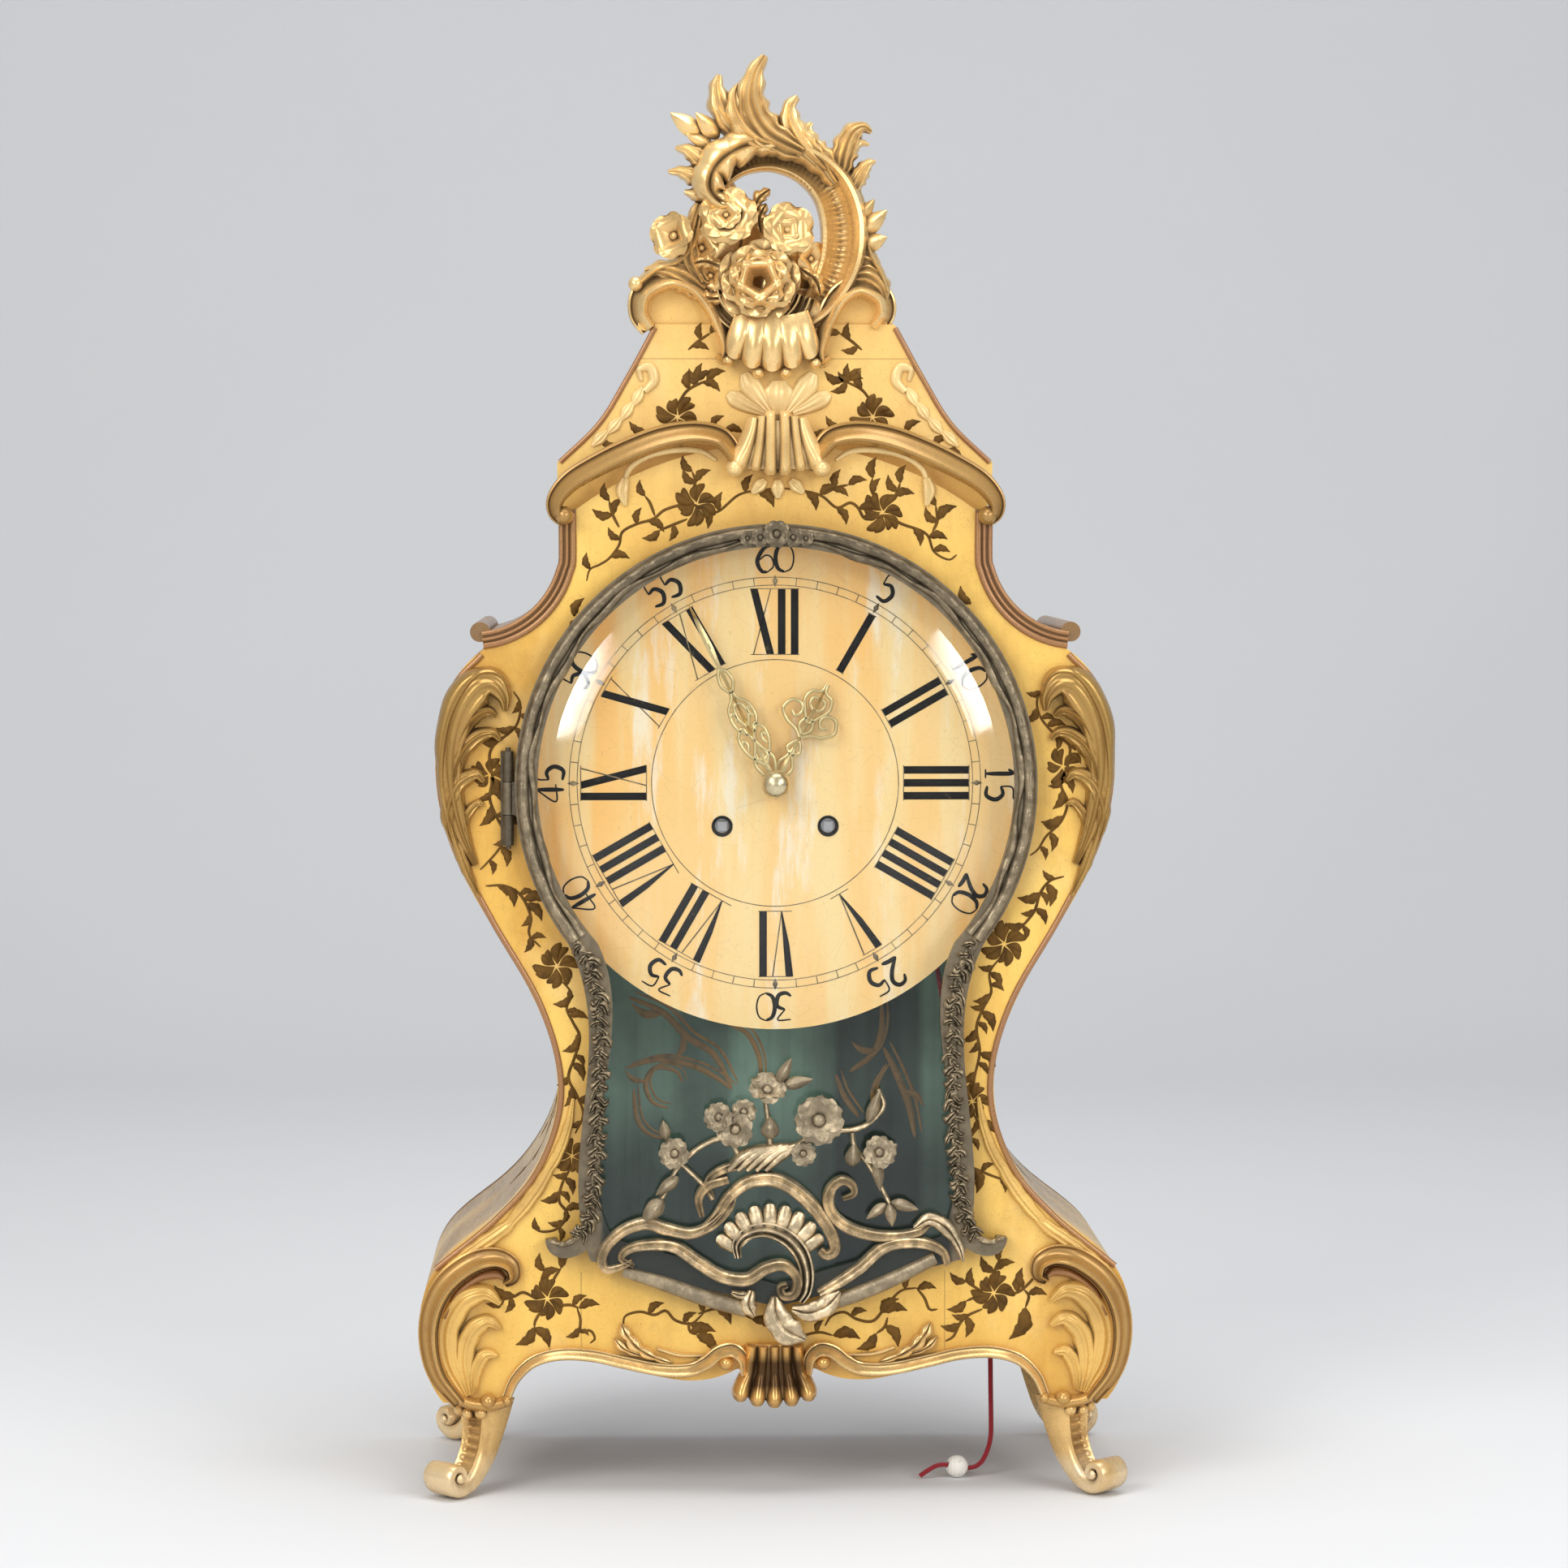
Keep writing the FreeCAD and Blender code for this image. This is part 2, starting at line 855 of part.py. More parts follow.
half = S.apron_moulding_width / 2
edge_path = [
    (apron_corner - 1, S.apron_corner_height + half + 2.5),
    (S.apron_arch_half_width, S.apron_arch_height + half),
    (S.apron_dip_half_width, S.apron_dip_height + half),
    (S.shell_half_width + 3, S.apron_centre_height + half + 1),
]
apron_strip = board(
    "apron_strip",
    [ribbon(edge_path, (half, half))],
    "sizes.apron_moulding_projection",
    FACE,
)
node(
    "apron_mouldings",
    joined("apron_mouldings", [apron_strip, mirror("apron_strip_left", apron_strip)]),
)
fan = S.shell_half_width
shell = [
    (-fan, S.shell_top_height - 12),
    (-0.75 * fan, S.shell_bottom_height + 6),
    (-0.3 * fan, S.shell_bottom_height + 1),
    (0, S.shell_bottom_height),
    (0.3 * fan, S.shell_bottom_height + 1),
    (0.75 * fan, S.shell_bottom_height + 6),
    (fan, S.shell_top_height - 12),
    (0.5 * fan, S.shell_top_height),
    (-0.5 * fan, S.shell_top_height),
]
node("apron_shell", board("apron_shell", [closed(shell)], "sizes.shell_projection", FACE))

# Crest, carved from one board that stands on the hood and hangs over its face.

crest_back = BOARD_BACK + S.crest_thickness - S.crest_overhang
crest_front = BOARD_BACK - S.crest_overhang
crest_drawn_foot = 650
crest_drawn_rise = 150
crest_stretch = (S.crest_height - HOOD_TOP) / crest_drawn_rise


def on_hood(points):
    """Points of the crest as drawn, stood on the hood and stretched to its height."""
    return [(x, HOOD_TOP + (z - crest_drawn_foot) * crest_stretch) for x, z in points]


def carved(strokes, front, back):
    """One solid from tapering strokes of (points, start half width, end half width)."""
    solids = [
        solid_from(region(ribbon(points, (start, end))), front, back)
        for points, start, end in strokes
    ]
    return solids


crest_strokes = [
    ([(17, 655), (36, 677), (42, 706), (34, 728), (12, 740), (-14, 739), (-32, 729)], 7, 6),
    ([(-28, 736), (-24, 752), (-20, 772), (-12, 797)], 9, 3),
    ([(-30, 733), (-34, 752), (-34, 770), (-31, 786)], 6, 2.5),
    ([(-10, 740), (-6, 756), (-2, 770), (5, 782)], 7, 2.5),
    ([(4, 740), (10, 752), (16, 763), (25, 769)], 6, 2),
    ([(14, 738), (21, 746), (28, 752), (36, 755)], 5, 2),
    ([(-26, 733), (-38, 742), (-47, 752), (-52, 762)], 5, 4),
    ([(-26, 729), (-40, 731), (-50, 736), (-56, 744)], 4, 2.5),
    ([(36, 722), (42, 736), (47, 748), (53, 758)], 5, 2),
    ([(40, 716), (47, 724), (52, 732), (58, 737)], 4, 2),
    ([(42, 702), (50, 703), (57, 703), (62, 700)], 4, 3.5),
    ([(-62, 654), (-58, 676), (-56, 690), (-58, 704)], 8, 9),
    ([(-44, 656), (-36, 674), (-26, 690), (-14, 702)], 9, 9),
    ([(-30, 654), (-18, 662), (-10, 676), (-6, 692)], 12, 9),
    ([(0, 654), (-2, 666), (-4, 684), (2, 704)], 12, 7),
    ([(28, 656), (40, 663), (52, 667), (61, 673)], 9, 3),
    ([(-74, 660), (-64, 668), (-50, 666), (-38, 658)], 6, 8),
    ([(62, 660), (52, 668), (38, 667), (26, 657)], 6, 8),
    ([(-74, 664), (-76, 676), (-74, 686), (-69, 694)], 5, 3),
]
crest_strokes = [(on_hood(points), start, end) for points, start, end in crest_strokes]
crest_solids = carved(crest_strokes, crest_front, crest_back)
crest_foot = region(
    closed(on_hood([(-74, 650), (60, 650), (62, 664), (-76, 664)]))
)
crest_solids.append(solid_from(crest_foot, crest_front, crest_back))
drop = region(
    closed(
        [
            (-34, HOOD_TOP + 4),
            (-27, HOOD_TOP - 20),
            (-10, HOOD_TOP - 27),
            (8, HOOD_TOP - 27),
            (23, HOOD_TOP - 20),
            (30, HOOD_TOP + 4),
        ]
    )
)
crest_solids.append(solid_from(drop, crest_front, BOARD_BACK))
crest_seat = Part.makeBox(400, 100, 200, Vector(-200, BOARD_BACK, HOOD_TOP - 200))
crest_whole = crest_solids[0].multiFuse(crest_solids[1:])
node("crest", shape_of("crest", crest_whole.cut(crest_seat)))

# Feet and glue blocks.

reach = S.foot_reach
top = S.foot_height
foot_outline = [
    line((-S.foot_top_half, top), (S.foot_top_half, top)),
    spline([(S.foot_top_half, top), (12, 38), (12.5, 25), (20, 18)]),
    arc((20, 18), (reach, 9), (reach - 8, 0)),
    line((reach - 8, 0), (15, 0)),
    spline([(15, 0), (2, 8), (-8, 24), (-S.foot_top_half, top)]),
]
CORNERS = {
    "front_right": (1, -1, -45),
    "front_left": (-1, -1, -135),
    "rear_right": (1, 1, 45),
    "rear_left": (-1, 1, 135),
}
blocks = []
for corner, (across, along, turn) in CORNERS.items():
    foot = board("foot_" + corner, [foot_outline], "sizes.foot_width", "0")
    doc.getObject("foot_" + corner + "_pad").Midplane = True
    foot.setExpression("Placement.Base.y", None)
    foot.Placement = Placement(
        Vector(across * foot_x, along * S.foot_centre_y, 0),
        Rotation(Vector(0, 0, 1), turn),
    )
    node("foot_" + corner, foot)
    near = BOARD_BACK if along < 0 else SIDE_BACK - S.block_depth
    spread = sorted((across * leg_inner, across * (leg_inner + S.block_width)))
    blocks.append(
        block(
            "block_" + corner,
            (spread[0], near, S.foot_height),
            (spread[1], near + S.block_depth, S.floor_height),
        )
    )
node("corner_blocks", joined("corner_blocks", blocks))

# Glazed door.

rim = S.door_rim
door = board(
    "door_ring",
    [door_line(0), door_line(rim)],
    "sizes.door_lip",
    "sizes.door_lip - sizes.front_face - sizes.door_gap - sizes.door_thickness",
)
second_pad(
    door,
    "door_rabbet",
    door_line(0) + door_line(rim - S.rabbet_width),
    "sizes.door_thickness - sizes.door_lip",
    True,
)
ear = [
    (S.sill_half_width + 1.5, S.sill_height + 18),
    (S.sill_half_width + 7, S.ear_height - 2),
    (S.ear_half_width - 6, S.ear_height - 4),
    (S.ear_half_width - 2, S.ear_height + 2),
]
ear_right = board(
    "door_ear",
    [ribbon(ear, (5, 3))],
    "sizes.door_thickness - 3",
    "-sizes.front_face - sizes.door_gap - 3",
)
ear_left = mirror("door_ear_left", ear_right)
DOOR_BACK = FRONT - S.door_gap
DOOR_FRONT = DOOR_BACK - S.door_thickness
HINGE = (-S.hinge_offset, FRONT - S.hinge_forward)
hinge_middle = CENTRE - S.hinge_drop
hinge_low = hinge_middle - S.hinge_half_length
knuckle_low = hinge_middle - S.hinge_door_half_length
door_knuckle = post(
    "door_knuckle",
    *HINGE,
    knuckle_low,
    2 * S.hinge_door_half_length,
    "sizes.knuckle_radius",
)
door_web = block(
    "door_web",
    (HINGE[0], HINGE[1] - 2, knuckle_low),
    (-S.door_radius + 4, HINGE[1] + 2, knuckle_low + 2 * S.hinge_door_half_length),
)
door_bore = post(
    "door_bore",
    *HINGE,
    knuckle_low - 1,
    2 * S.hinge_door_half_length + 2,
    "sizes.hinge_pin_radius + sizes.hinge_play",
)
door_whole = joined("door_whole", [door, ear_right, ear_left, door_knuckle, door_web])
node("door_frame", cut("door_frame", door_whole, [door_bore]))

GLASS_FRONT = DOOR_FRONT + S.door_lip
pane = region(door_line(rim - S.rabbet_width + S.glass_play))
pane_solid = solid_from(pane, GLASS_FRONT, GLASS_FRONT + S.glass_thickness)
sphere_radius = (S.dome_radius**2 + S.dome_rise**2) / (2 * S.dome_rise)


def cap(radius, depth):
    """A ball whose front pokes out of the pane, as the dome of the glass."""
    return Part.makeSphere(radius, Vector(0, depth, CENTRE))


dome_centre = GLASS_FRONT + sphere_radius - S.dome_rise
outer_cap = cap(sphere_radius, dome_centre)
inner_cap = cap(sphere_radius, dome_centre + S.glass_thickness)
front_space = Part.makeCylinder(
    S.dome_radius + 3,
    60,
    Vector(0, GLASS_FRONT + S.glass_thickness - 60, CENTRE),
    Vector(0, 1, 0),
)
dome = outer_cap.common(front_space).cut(inner_cap)
hollow_pane = pane_solid.cut(inner_cap)
node("door_glass", shape_of("door_glass", hollow_pane.fuse(dome).removeSplitter()))

mount_strokes = [
    ([(-97, 135), (-60, 128), (-24, 119), (0, 113)], 6, 7),
    ([(97, 135), (60, 128), (24, 119), (0, 113)], 6, 7),
    ([(-96, 150), (-84, 176), (-62, 184), (-40, 172), (-30, 152)], 5, 6),
    ([(99, 152), (88, 178), (68, 190), (44, 178), (32, 154)], 5, 6),
    ([(-66, 182), (-60, 200), (-50, 214), (-38, 224)], 5, 3),
    ([(-44, 176), (-30, 194), (-24, 210), (-26, 226)], 6, 4),
    ([(62, 186), (54, 204), (50, 220), (52, 236)], 5, 3),
    ([(46, 178), (32, 192), (26, 206), (30, 222)], 5, 4),
    ([(-14, 140), (-18, 162), (-10, 180), (4, 184)], 9, 6),
    ([(10, 140), (20, 158), (20, 174), (6, 184)], 9, 6),
    ([(0, 136), (0, 150), (0, 164), (0, 178)], 12, 10),
    ([(-34, 154), (-26, 142), (-16, 134), (-4, 128)], 6, 8),
    ([(34, 154), (26, 142), (16, 134), (4, 128)], 6, 8),
    ([(-8, 122), (-14, 110), (-6, 100), (8, 92)], 9, 3),
    ([(14, 124), (18, 112), (16, 102), (10, 94)], 7, 4),
    ([(-97, 138), (-100, 146), (-99, 154), (-94, 158)], 5, 4),
    ([(99, 138), (102, 146), (102, 154), (97, 160)], 5, 4),
]
mount_solids = carved(mount_strokes, DOOR_FRONT - S.mount_relief, DOOR_FRONT)
node("door_mount", shape_of("door_mount", mount_solids[0].multiFuse(mount_solids[1:])))

leaf_plate = block(
    "case_leaf",
    (HINGE[0] - S.hinge_leaf_width, FRONT - S.hinge_leaf_thickness, hinge_low),
    (HINGE[0] + 0.6, FRONT, hinge_low + 2 * S.hinge_half_length),
)
side_length = S.hinge_half_length - S.hinge_door_half_length - S.hinge_end_play
case_lower = post("case_knuckle_low", *HINGE, hinge_low, side_length, "sizes.knuckle_radius")
case_upper = post(
    "case_knuckle_high",
    *HINGE,
    hinge_middle + S.hinge_door_half_length + S.hinge_end_play,
    side_length,
    "sizes.knuckle_radius",
)
pin = post("door_pin", *HINGE, hinge_low - 2, 2 * S.hinge_half_length + 4, "sizes.hinge_pin_radius")
leaf_relief = post(
    "leaf_relief",
    *HINGE,
    knuckle_low - S.hinge_end_play,
    2 * (S.hinge_door_half_length + S.hinge_end_play),
    "sizes.knuckle_radius + 0.5",
)
leaf_cut = cut("case_leaf_relieved", leaf_plate, [leaf_relief])
node("case_hinge", joined("case_hinge", [leaf_cut, case_lower, case_upper, pin]))

# Back door.

BACK_FACE = SIDE_BACK + S.back_thickness
lap = S.back_door_overlap
door_half = S.back_opening_half_width + lap
back_low = S.back_opening_bottom - lap
back_high = S.back_opening_top + lap
panel = block(
    "back_panel",
    (-door_half, BACK_FACE + S.back_door_gap, back_low),
    (door_half, BACK_FACE + S.back_door_gap + S.back_door_thickness, back_high),
)
bind(panel, Width="sizes.back_door_thickness")
back_axis = (-door_half - S.back_knuckle_radius - 0.8, BACK_FACE + S.back_knuckle_radius + 0.4)
back_pieces = [panel]
back_bores = []
back_leaves = []
for number, height in enumerate((back_low + 22, back_high - 22 - S.back_knuckle_length)):
    length = S.back_knuckle_length
    back_pieces.append(
        post(f"back_knuckle_{number}", *back_axis, height, length, "sizes.back_knuckle_radius")
    )
    back_pieces.append(
        block(
            f"back_web_{number}",
            (back_axis[0], back_axis[1] - 1, height),
            (-door_half + 2, back_axis[1] + 1.5, height + length),
        )
    )
    back_bores.append(
        post(
            f"back_bore_{number}",
            *back_axis,
            height - 1,
            length + 2,
            "sizes.back_pin_radius + sizes.hinge_play",
        )
    )
    below = height - S.hinge_end_play - 12
    back_leaves.append(
        post(f"back_leaf_knuckle_{number}", *back_axis, below, 12, "sizes.back_knuckle_radius")
    )
    back_leaves.append(
        block(
            f"back_leaf_{number}",
            (back_axis[0] - 12, BACK_FACE, below),
            (back_axis[0] + 1, BACK_FACE + 2, below + 12),
        )
    )
    back_leaves.append(
        post(
            f"back_pin_{number}",
            *back_axis,
            below,
            12 + S.hinge_end_play + length,
            "sizes.back_pin_radius",
        )
    )
back_pieces.append(
    rod(
        "back_knob",
        door_half - 10,
        (back_low + back_high) / 2,
        BACK_FACE + S.back_door_gap + S.back_door_thickness - 0.5,
        4.2,
        "4.5",
    )
)
node("back_door", cut("back_door", joined("back_door_whole", back_pieces), back_bores))
node("back_hinges", joined("back_hinges", back_leaves))

# Movement: places of the arbors in the front view.

AXES = {
    "centre": (0.0, CENTRE),
    "going": (S.winding_half_spacing, CENTRE - S.winding_drop),
    "strike": (-S.winding_half_spacing, CENTRE - S.winding_drop),
    "third": (0.0, CENTRE + S.third_distance),
    "escape": (0.0, CENTRE + S.third_distance + S.escape_distance),
    "pallet": (0.0, CENTRE + S.pallet_rise),
    "minute": (0.0, CENTRE - S.motion_distance),
    "hammer": (-S.hammer_offset, CENTRE + S.hammer_rise),
}
great_distance = math.hypot(S.winding_half_spacing, S.winding_drop)
AXES["pin"] = polar(great_distance, S.strike_line_angle, *AXES["strike"])
AXES["fly"] = (AXES["pin"][0], AXES["pin"][1] + S.fly_distance)
GREAT_MODULE = 2 * great_distance / (S.great_teeth + S.great_pinion_teeth)
CENTRE_MODULE = 2 * S.third_distance / (S.centre_teeth + S.third_pinion_teeth)
THIRD_MODULE = 2 * S.escape_distance / (S.third_teeth + S.escape_pinion_teeth)
CANNON_MODULE = 2 * S.motion_distance / (S.cannon_teeth + S.minute_teeth)
HOUR_MODULE = 2 * S.motion_distance / (S.minute_pinion_teeth + S.hour_teeth)
PIN_MODULE = 2 * S.fly_distance / (S.pin_teeth + S.fly_pinion_teeth)
PRESSURE = math.radians(30)
ADDENDUM = 0.8
DEDENDUM = 1.05


def involute(angle):
    return math.tan(angle) - angle


def tooth_points(teeth, module, phase, flank_steps):
    """Corner points of a toothed wheel about (0, 0), one tooth centred on phase."""
    pitch = module * teeth / 2
    base = pitch * math.cos(PRESSURE)
    root = pitch - DEDENDUM * module
    tip = pitch + ADDENDUM * module
    pitch_half = (math.pi * module / 2 - S.tooth_play) / (2 * pitch)
    flank = []
    for step in range(flank_steps + 1):
        radius = root + (tip - root) * step / flank_steps
        slope = math.acos(min(1.0, base / radius))
        flank.append((radius, pitch_half + involute(PRESSURE) - involute(slope)))
    points = []
    for tooth in range(int(teeth)):
        middle = phase + 2 * math.pi * tooth / teeth
        sides = [(radius, middle - half) for radius, half in flank]
        sides += [(radius, middle + half) for radius, half in reversed(flank)]
        points += [(radius * math.cos(a), radius * math.sin(a)) for radius, a in sides]
    return points


def toothed(place, teeth, module, phase, front, thickness, flank_steps=3):
    """A toothed disc on an arbor's place, as a plain shape."""
    outline = [(place[0] + x, place[1] + z) for x, z in tooth_points(teeth, module, phase, flank_steps)]
    wire = Part.makePolygon([flat(point) for point in outline + outline[:1]])
    return solid_from(Part.Face(wire), front, front + thickness)


def meshing(phase, first, first_teeth, second, second_teeth):
    """Phase that sets a wheel's gap opposite the tooth of the wheel it meshes with."""
    line_angle = math.atan2(second[1] - first[1], second[0] - first[0])
    lead = (line_angle - phase) * first_teeth
    return line_angle + math.pi - (math.pi - lead) / second_teeth


def bar(place, front, back, radius):
    """A round bar along Y between two depths, as a plain shape."""
    return Part.makeCylinder(radius, back - front, Vector(place[0], front, place[1]), Vector(0, 1, 0))


def spoked(place, shape, front, thickness, inner, outer, spokes=4, half_arm=1.6):
    """Crosses out a wheel between two radii."""
    ring = bar(place, front - 1, front + thickness + 1, outer).cut(
        bar(place, front - 1, front + thickness + 1, inner)
    )
    for index in range(spokes):
        arm = Part.makeBox(
            2 * outer,
            thickness + 4,
            2 * half_arm,
            Vector(-outer, front - 2, -half_arm),
        )
        arm.rotate(Vector(0, 0, 0), Vector(0, 1, 0), 180 * index / spokes * 2)
        arm.translate(Vector(place[0], 0, place[1]))
        ring = ring.cut(arm)
    return shape.cut(ring)


def arbor(place, front_pivot=S.pivot_radius, rear_pivot=S.pivot_radius, radius=S.arbor_radius):
    """An arbor between the plates with a turned pivot at each end."""
    shoulder = 0.3
    body = bar(place, PLATE_BACK + shoulder, REAR_FRONT - shoulder, radius)
    front = bar(place, PLATE_FRONT, PLATE_BACK + shoulder + 1, front_pivot)
    rear = bar(place, REAR_FRONT - shoulder - 1, REAR_BACK, rear_pivot)
    return body.fuse(front).fuse(rear)


def unite(shapes):
    return shapes[0].multiFuse(shapes[1:])


GOING_WHEEL = PLATE_BACK + 2.5
GOING_DRUM_END = GOING_WHEEL + S.great_wheel_thickness + 35
STRIKE_WHEEL = REAR_FRONT - 9 - S.great_wheel_thickness
STRIKE_DRUM = STRIKE_WHEEL - 35
CENTRE_WHEEL = REAR_FRONT - 7.5
THIRD_WHEEL = REAR_FRONT - 18
ESCAPE_WHEEL = REAR_FRONT - 28

phases = {"centre_pinion": 0.0}
phases["going"] = meshing(
    0.0, AXES["centre"], S.great_pinion_teeth, AXES["going"], S.great_teeth
)
phases["third_pinion"] = meshing(
    0.0, AXES["centre"], S.centre_teeth, AXES["third"], S.third_pinion_teeth
)
phases["escape_pinion"] = meshing(
    0.0, AXES["third"], S.third_teeth, AXES["escape"], S.escape_pinion_teeth
)
phases["minute_wheel"] = meshing(
    0.0, AXES["centre"], S.cannon_teeth, AXES["minute"], S.minute_teeth
)
phases["hour_wheel"] = meshing(
    0.0, AXES["minute"], S.minute_pinion_teeth, AXES["centre"], S.hour_teeth
)
phases["strike_pinion"] = meshing(
    0.0, AXES["strike"], S.great_teeth, AXES["pin"], S.great_pinion_teeth
)
phases["fly_pinion"] = meshing(
    0.0, AXES["pin"], S.pin_teeth, AXES["fly"], S.fly_pinion_teeth
)


def barrel(name, place, wheel_front, drum_front, drum_back, phase):
    """A spring barrel with its great wheel, free on its winding arbor."""
    wheel = toothed(place, S.great_teeth, GREAT_MODULE, phase, wheel_front, S.great_wheel_thickness)
    drum = bar(place, drum_front, drum_back, S.barrel_radius)
    bore = bar(
        place, drum_front - 10, drum_back + 10, S.winding_arbor_radius + S.barrel_bore_play
    )
    node(name, shape_of(name, unite([drum, wheel]).cut(bore)))


def winding_arbor(name, place):
    """A winding arbor with its key square in the dial hole."""
    side = S.winding_square
    round_part = bar(place, DIAL_BACK + 1, REAR_BACK + 1, S.winding_arbor_radius)
    square = Part.makeBox(
        side,
        6,
        side,
        Vector(place[0] - side / 2, DIAL_FRONT + 0.5, place[1] - side / 2),
    )
    node(name, shape_of(name, round_part.fuse(square)))


barrel(
    "going_barrel",
    AXES["going"],
    GOING_WHEEL,
    GOING_WHEEL + S.great_wheel_thickness,
    GOING_DRUM_END,
    phases["going"],
)
barrel("strike_barrel", AXES["strike"], STRIKE_WHEEL, STRIKE_DRUM, STRIKE_WHEEL, 0.0)
winding_arbor("going_arbor", AXES["going"])
winding_arbor("strike_arbor", AXES["strike"])

centre_rim = toothed(
    AXES["centre"], S.centre_teeth, CENTRE_MODULE, 0.0, CENTRE_WHEEL, S.wheel_thickness
)
centre_disc = spoked(AXES["centre"], centre_rim, CENTRE_WHEEL, S.wheel_thickness, 5, 16.5, 2)
centre_pinion = toothed(
    AXES["centre"],
    S.great_pinion_teeth,
    GREAT_MODULE,
    0.0,
    GOING_WHEEL - 1,
    S.great_wheel_thickness + 2,
    5,
)
NUT_FRONT = DIAL_FRONT - 18.5
centre_nose = bar(AXES["centre"], NUT_FRONT + 1.5, PLATE_BACK + 2, 1.5)
node(
    "centre_wheel",
    shape_of(
        "centre_wheel",
        unite([arbor(AXES["centre"], 1.5, S.pivot_radius), centre_disc, centre_pinion, centre_nose]),
    ),
)

MOTION_FRONT = PLATE_FRONT - 4
HOUR_HAND = DIAL_FRONT - 7.5
MINUTE_HAND = DIAL_FRONT - 12.5
pipe = S.cannon_pipe_radius
cannon = toothed(AXES["centre"], S.cannon_teeth, CANNON_MODULE, 0.0, MOTION_FRONT, 3, 5)
cannon_pipe = bar(AXES["centre"], MINUTE_HAND - 0.5, MOTION_FRONT + 3, pipe)
cannon_bore = bar(AXES["centre"], MINUTE_HAND - 2, MOTION_FRONT + 5, 1.5 + 0.03)
node("cannon_pinion", shape_of("cannon_pinion", cannon.fuse(cannon_pipe).cut(cannon_bore)))

stud_radius = 1.5
minute_disc = toothed(
    AXES["minute"],
    S.minute_teeth,
    CANNON_MODULE,
    phases["minute_wheel"],
    MOTION_FRONT,
    S.wheel_thickness,
)
minute_disc = spoked(AXES["minute"], minute_disc, MOTION_FRONT, S.wheel_thickness, 5.2, 10.8, 2, 1.2)
minute_pinion = toothed(
    AXES["minute"],
    S.minute_pinion_teeth,
    HOUR_MODULE,
    0.0,
    MOTION_FRONT - 6,
    6.5,
    5,
)
minute_bore = bar(AXES["minute"], MOTION_FRONT - 9, MOTION_FRONT + 9, stud_radius + S.pivot_play)
node(
    "minute_wheel",
    shape_of("minute_wheel", minute_disc.fuse(minute_pinion).cut(minute_bore)),
)
HOUR_FRONT = MOTION_FRONT - 4.5
hour_disc = toothed(
    AXES["centre"],
    S.hour_teeth,
    HOUR_MODULE,
    phases["hour_wheel"],
    HOUR_FRONT,
    S.wheel_thickness,
)
hour_disc = spoked(AXES["centre"], hour_disc, HOUR_FRONT, S.wheel_thickness, 6.4, 11.4, 2, 1.2)
hour_pipe = bar(AXES["centre"], HOUR_HAND - 0.5, HOUR_FRONT + S.wheel_thickness, S.hour_pipe_radius)
hour_bore = bar(AXES["centre"], HOUR_HAND - 4, HOUR_FRONT + 8, pipe + 0.08)
node("hour_wheel", shape_of("hour_wheel", hour_disc.fuse(hour_pipe).cut(hour_bore)))


def turned(shape, degrees):
    """A shape on the centre arbor turned clockwise as the front view shows it."""
    copy = shape.copy()
    copy.rotate(Vector(0, 0, CENTRE), Vector(0, 1, 0), degrees)
    return copy


def hand(outline, eyes, front, hub_radius, bore_radius):
    """A pierced hand drawn pointing up from the centre."""
    face = region([curve for curve in outline])
    blade = solid_from(face, front, front + S.hand_thickness)
    hub = bar((0, CENTRE), front, front + S.hand_thickness, hub_radius)
    whole = blade.fuse(hub)
    for x, z, radius in eyes:
        hole = bar((x, CENTRE + z), front - 1, front + 4, radius)
        whole = whole.cut(hole)
    bore = bar((0, CENTRE), front - 1, front + 4, bore_radius)
    return whole.cut(bore)


long = S.minute_hand_length
minute_side = [(2.5, 4), (5.4, 13), (3, 24), (5.6, 38), (2.6, 56), (2.8, 76), (0.4, long)]
minute_half = [(x, CENTRE + z) for x, z in minute_side]
minute_outline = [
    spline(minute_half),
    line(minute_half[-1], left_of(minute_half[-1])),
    spline(mirrored(minute_half)),
    line(left_of(minute_half[0]), minute_half[0]),
]
minute_eyes = [(0, 14, 2.6), (0, 36, 2.9), (0, 43, 1.8)]
minute_angle = 6 * S.minutes_shown
minute_blade = hand(minute_outline, minute_eyes, MINUTE_HAND, 6, pipe + 0.03)
node("minute_hand", shape_of("minute_hand", turned(minute_blade, minute_angle)))

short = S.hour_hand_length
hour_side = [(2.6, 4), (5.4, 13), (3, 23), (10.5, 36), (4.2, 44), (3.2, 51), (0.4, short)]
hour_half = [(x, CENTRE + z) for x, z in hour_side]
hour_outline = [
    spline(hour_half),
    line(hour_half[-1], left_of(hour_half[-1])),
    spline(mirrored(hour_half)),
    line(left_of(hour_half[0]), hour_half[0]),
]
hour_eyes = [(0, 14, 2.6), (4.6, 34, 2.4), (-4.6, 34, 2.4), (0, 43, 1.9)]
hour_blade = hand(hour_outline, hour_eyes, HOUR_HAND, 7.5, S.hour_pipe_radius + 0.03)
node("hour_hand", shape_of("hour_hand", turned(hour_blade, minute_angle / 12)))

nut_body = bar((0, CENTRE), NUT_FRONT + 3, MINUTE_HAND - 0.55, 8)
nut_dome = Part.makeSphere(8.6, Vector(0, NUT_FRONT + 6.1, CENTRE)).common(
    bar((0, CENTRE), NUT_FRONT - 4, NUT_FRONT + 3, 12)
)
nut_bore = bar((0, CENTRE), NUT_FRONT + 1.2, MINUTE_HAND + 2, 1.53)
node("hand_nut", shape_of("hand_nut", nut_body.fuse(nut_dome).cut(nut_bore)))

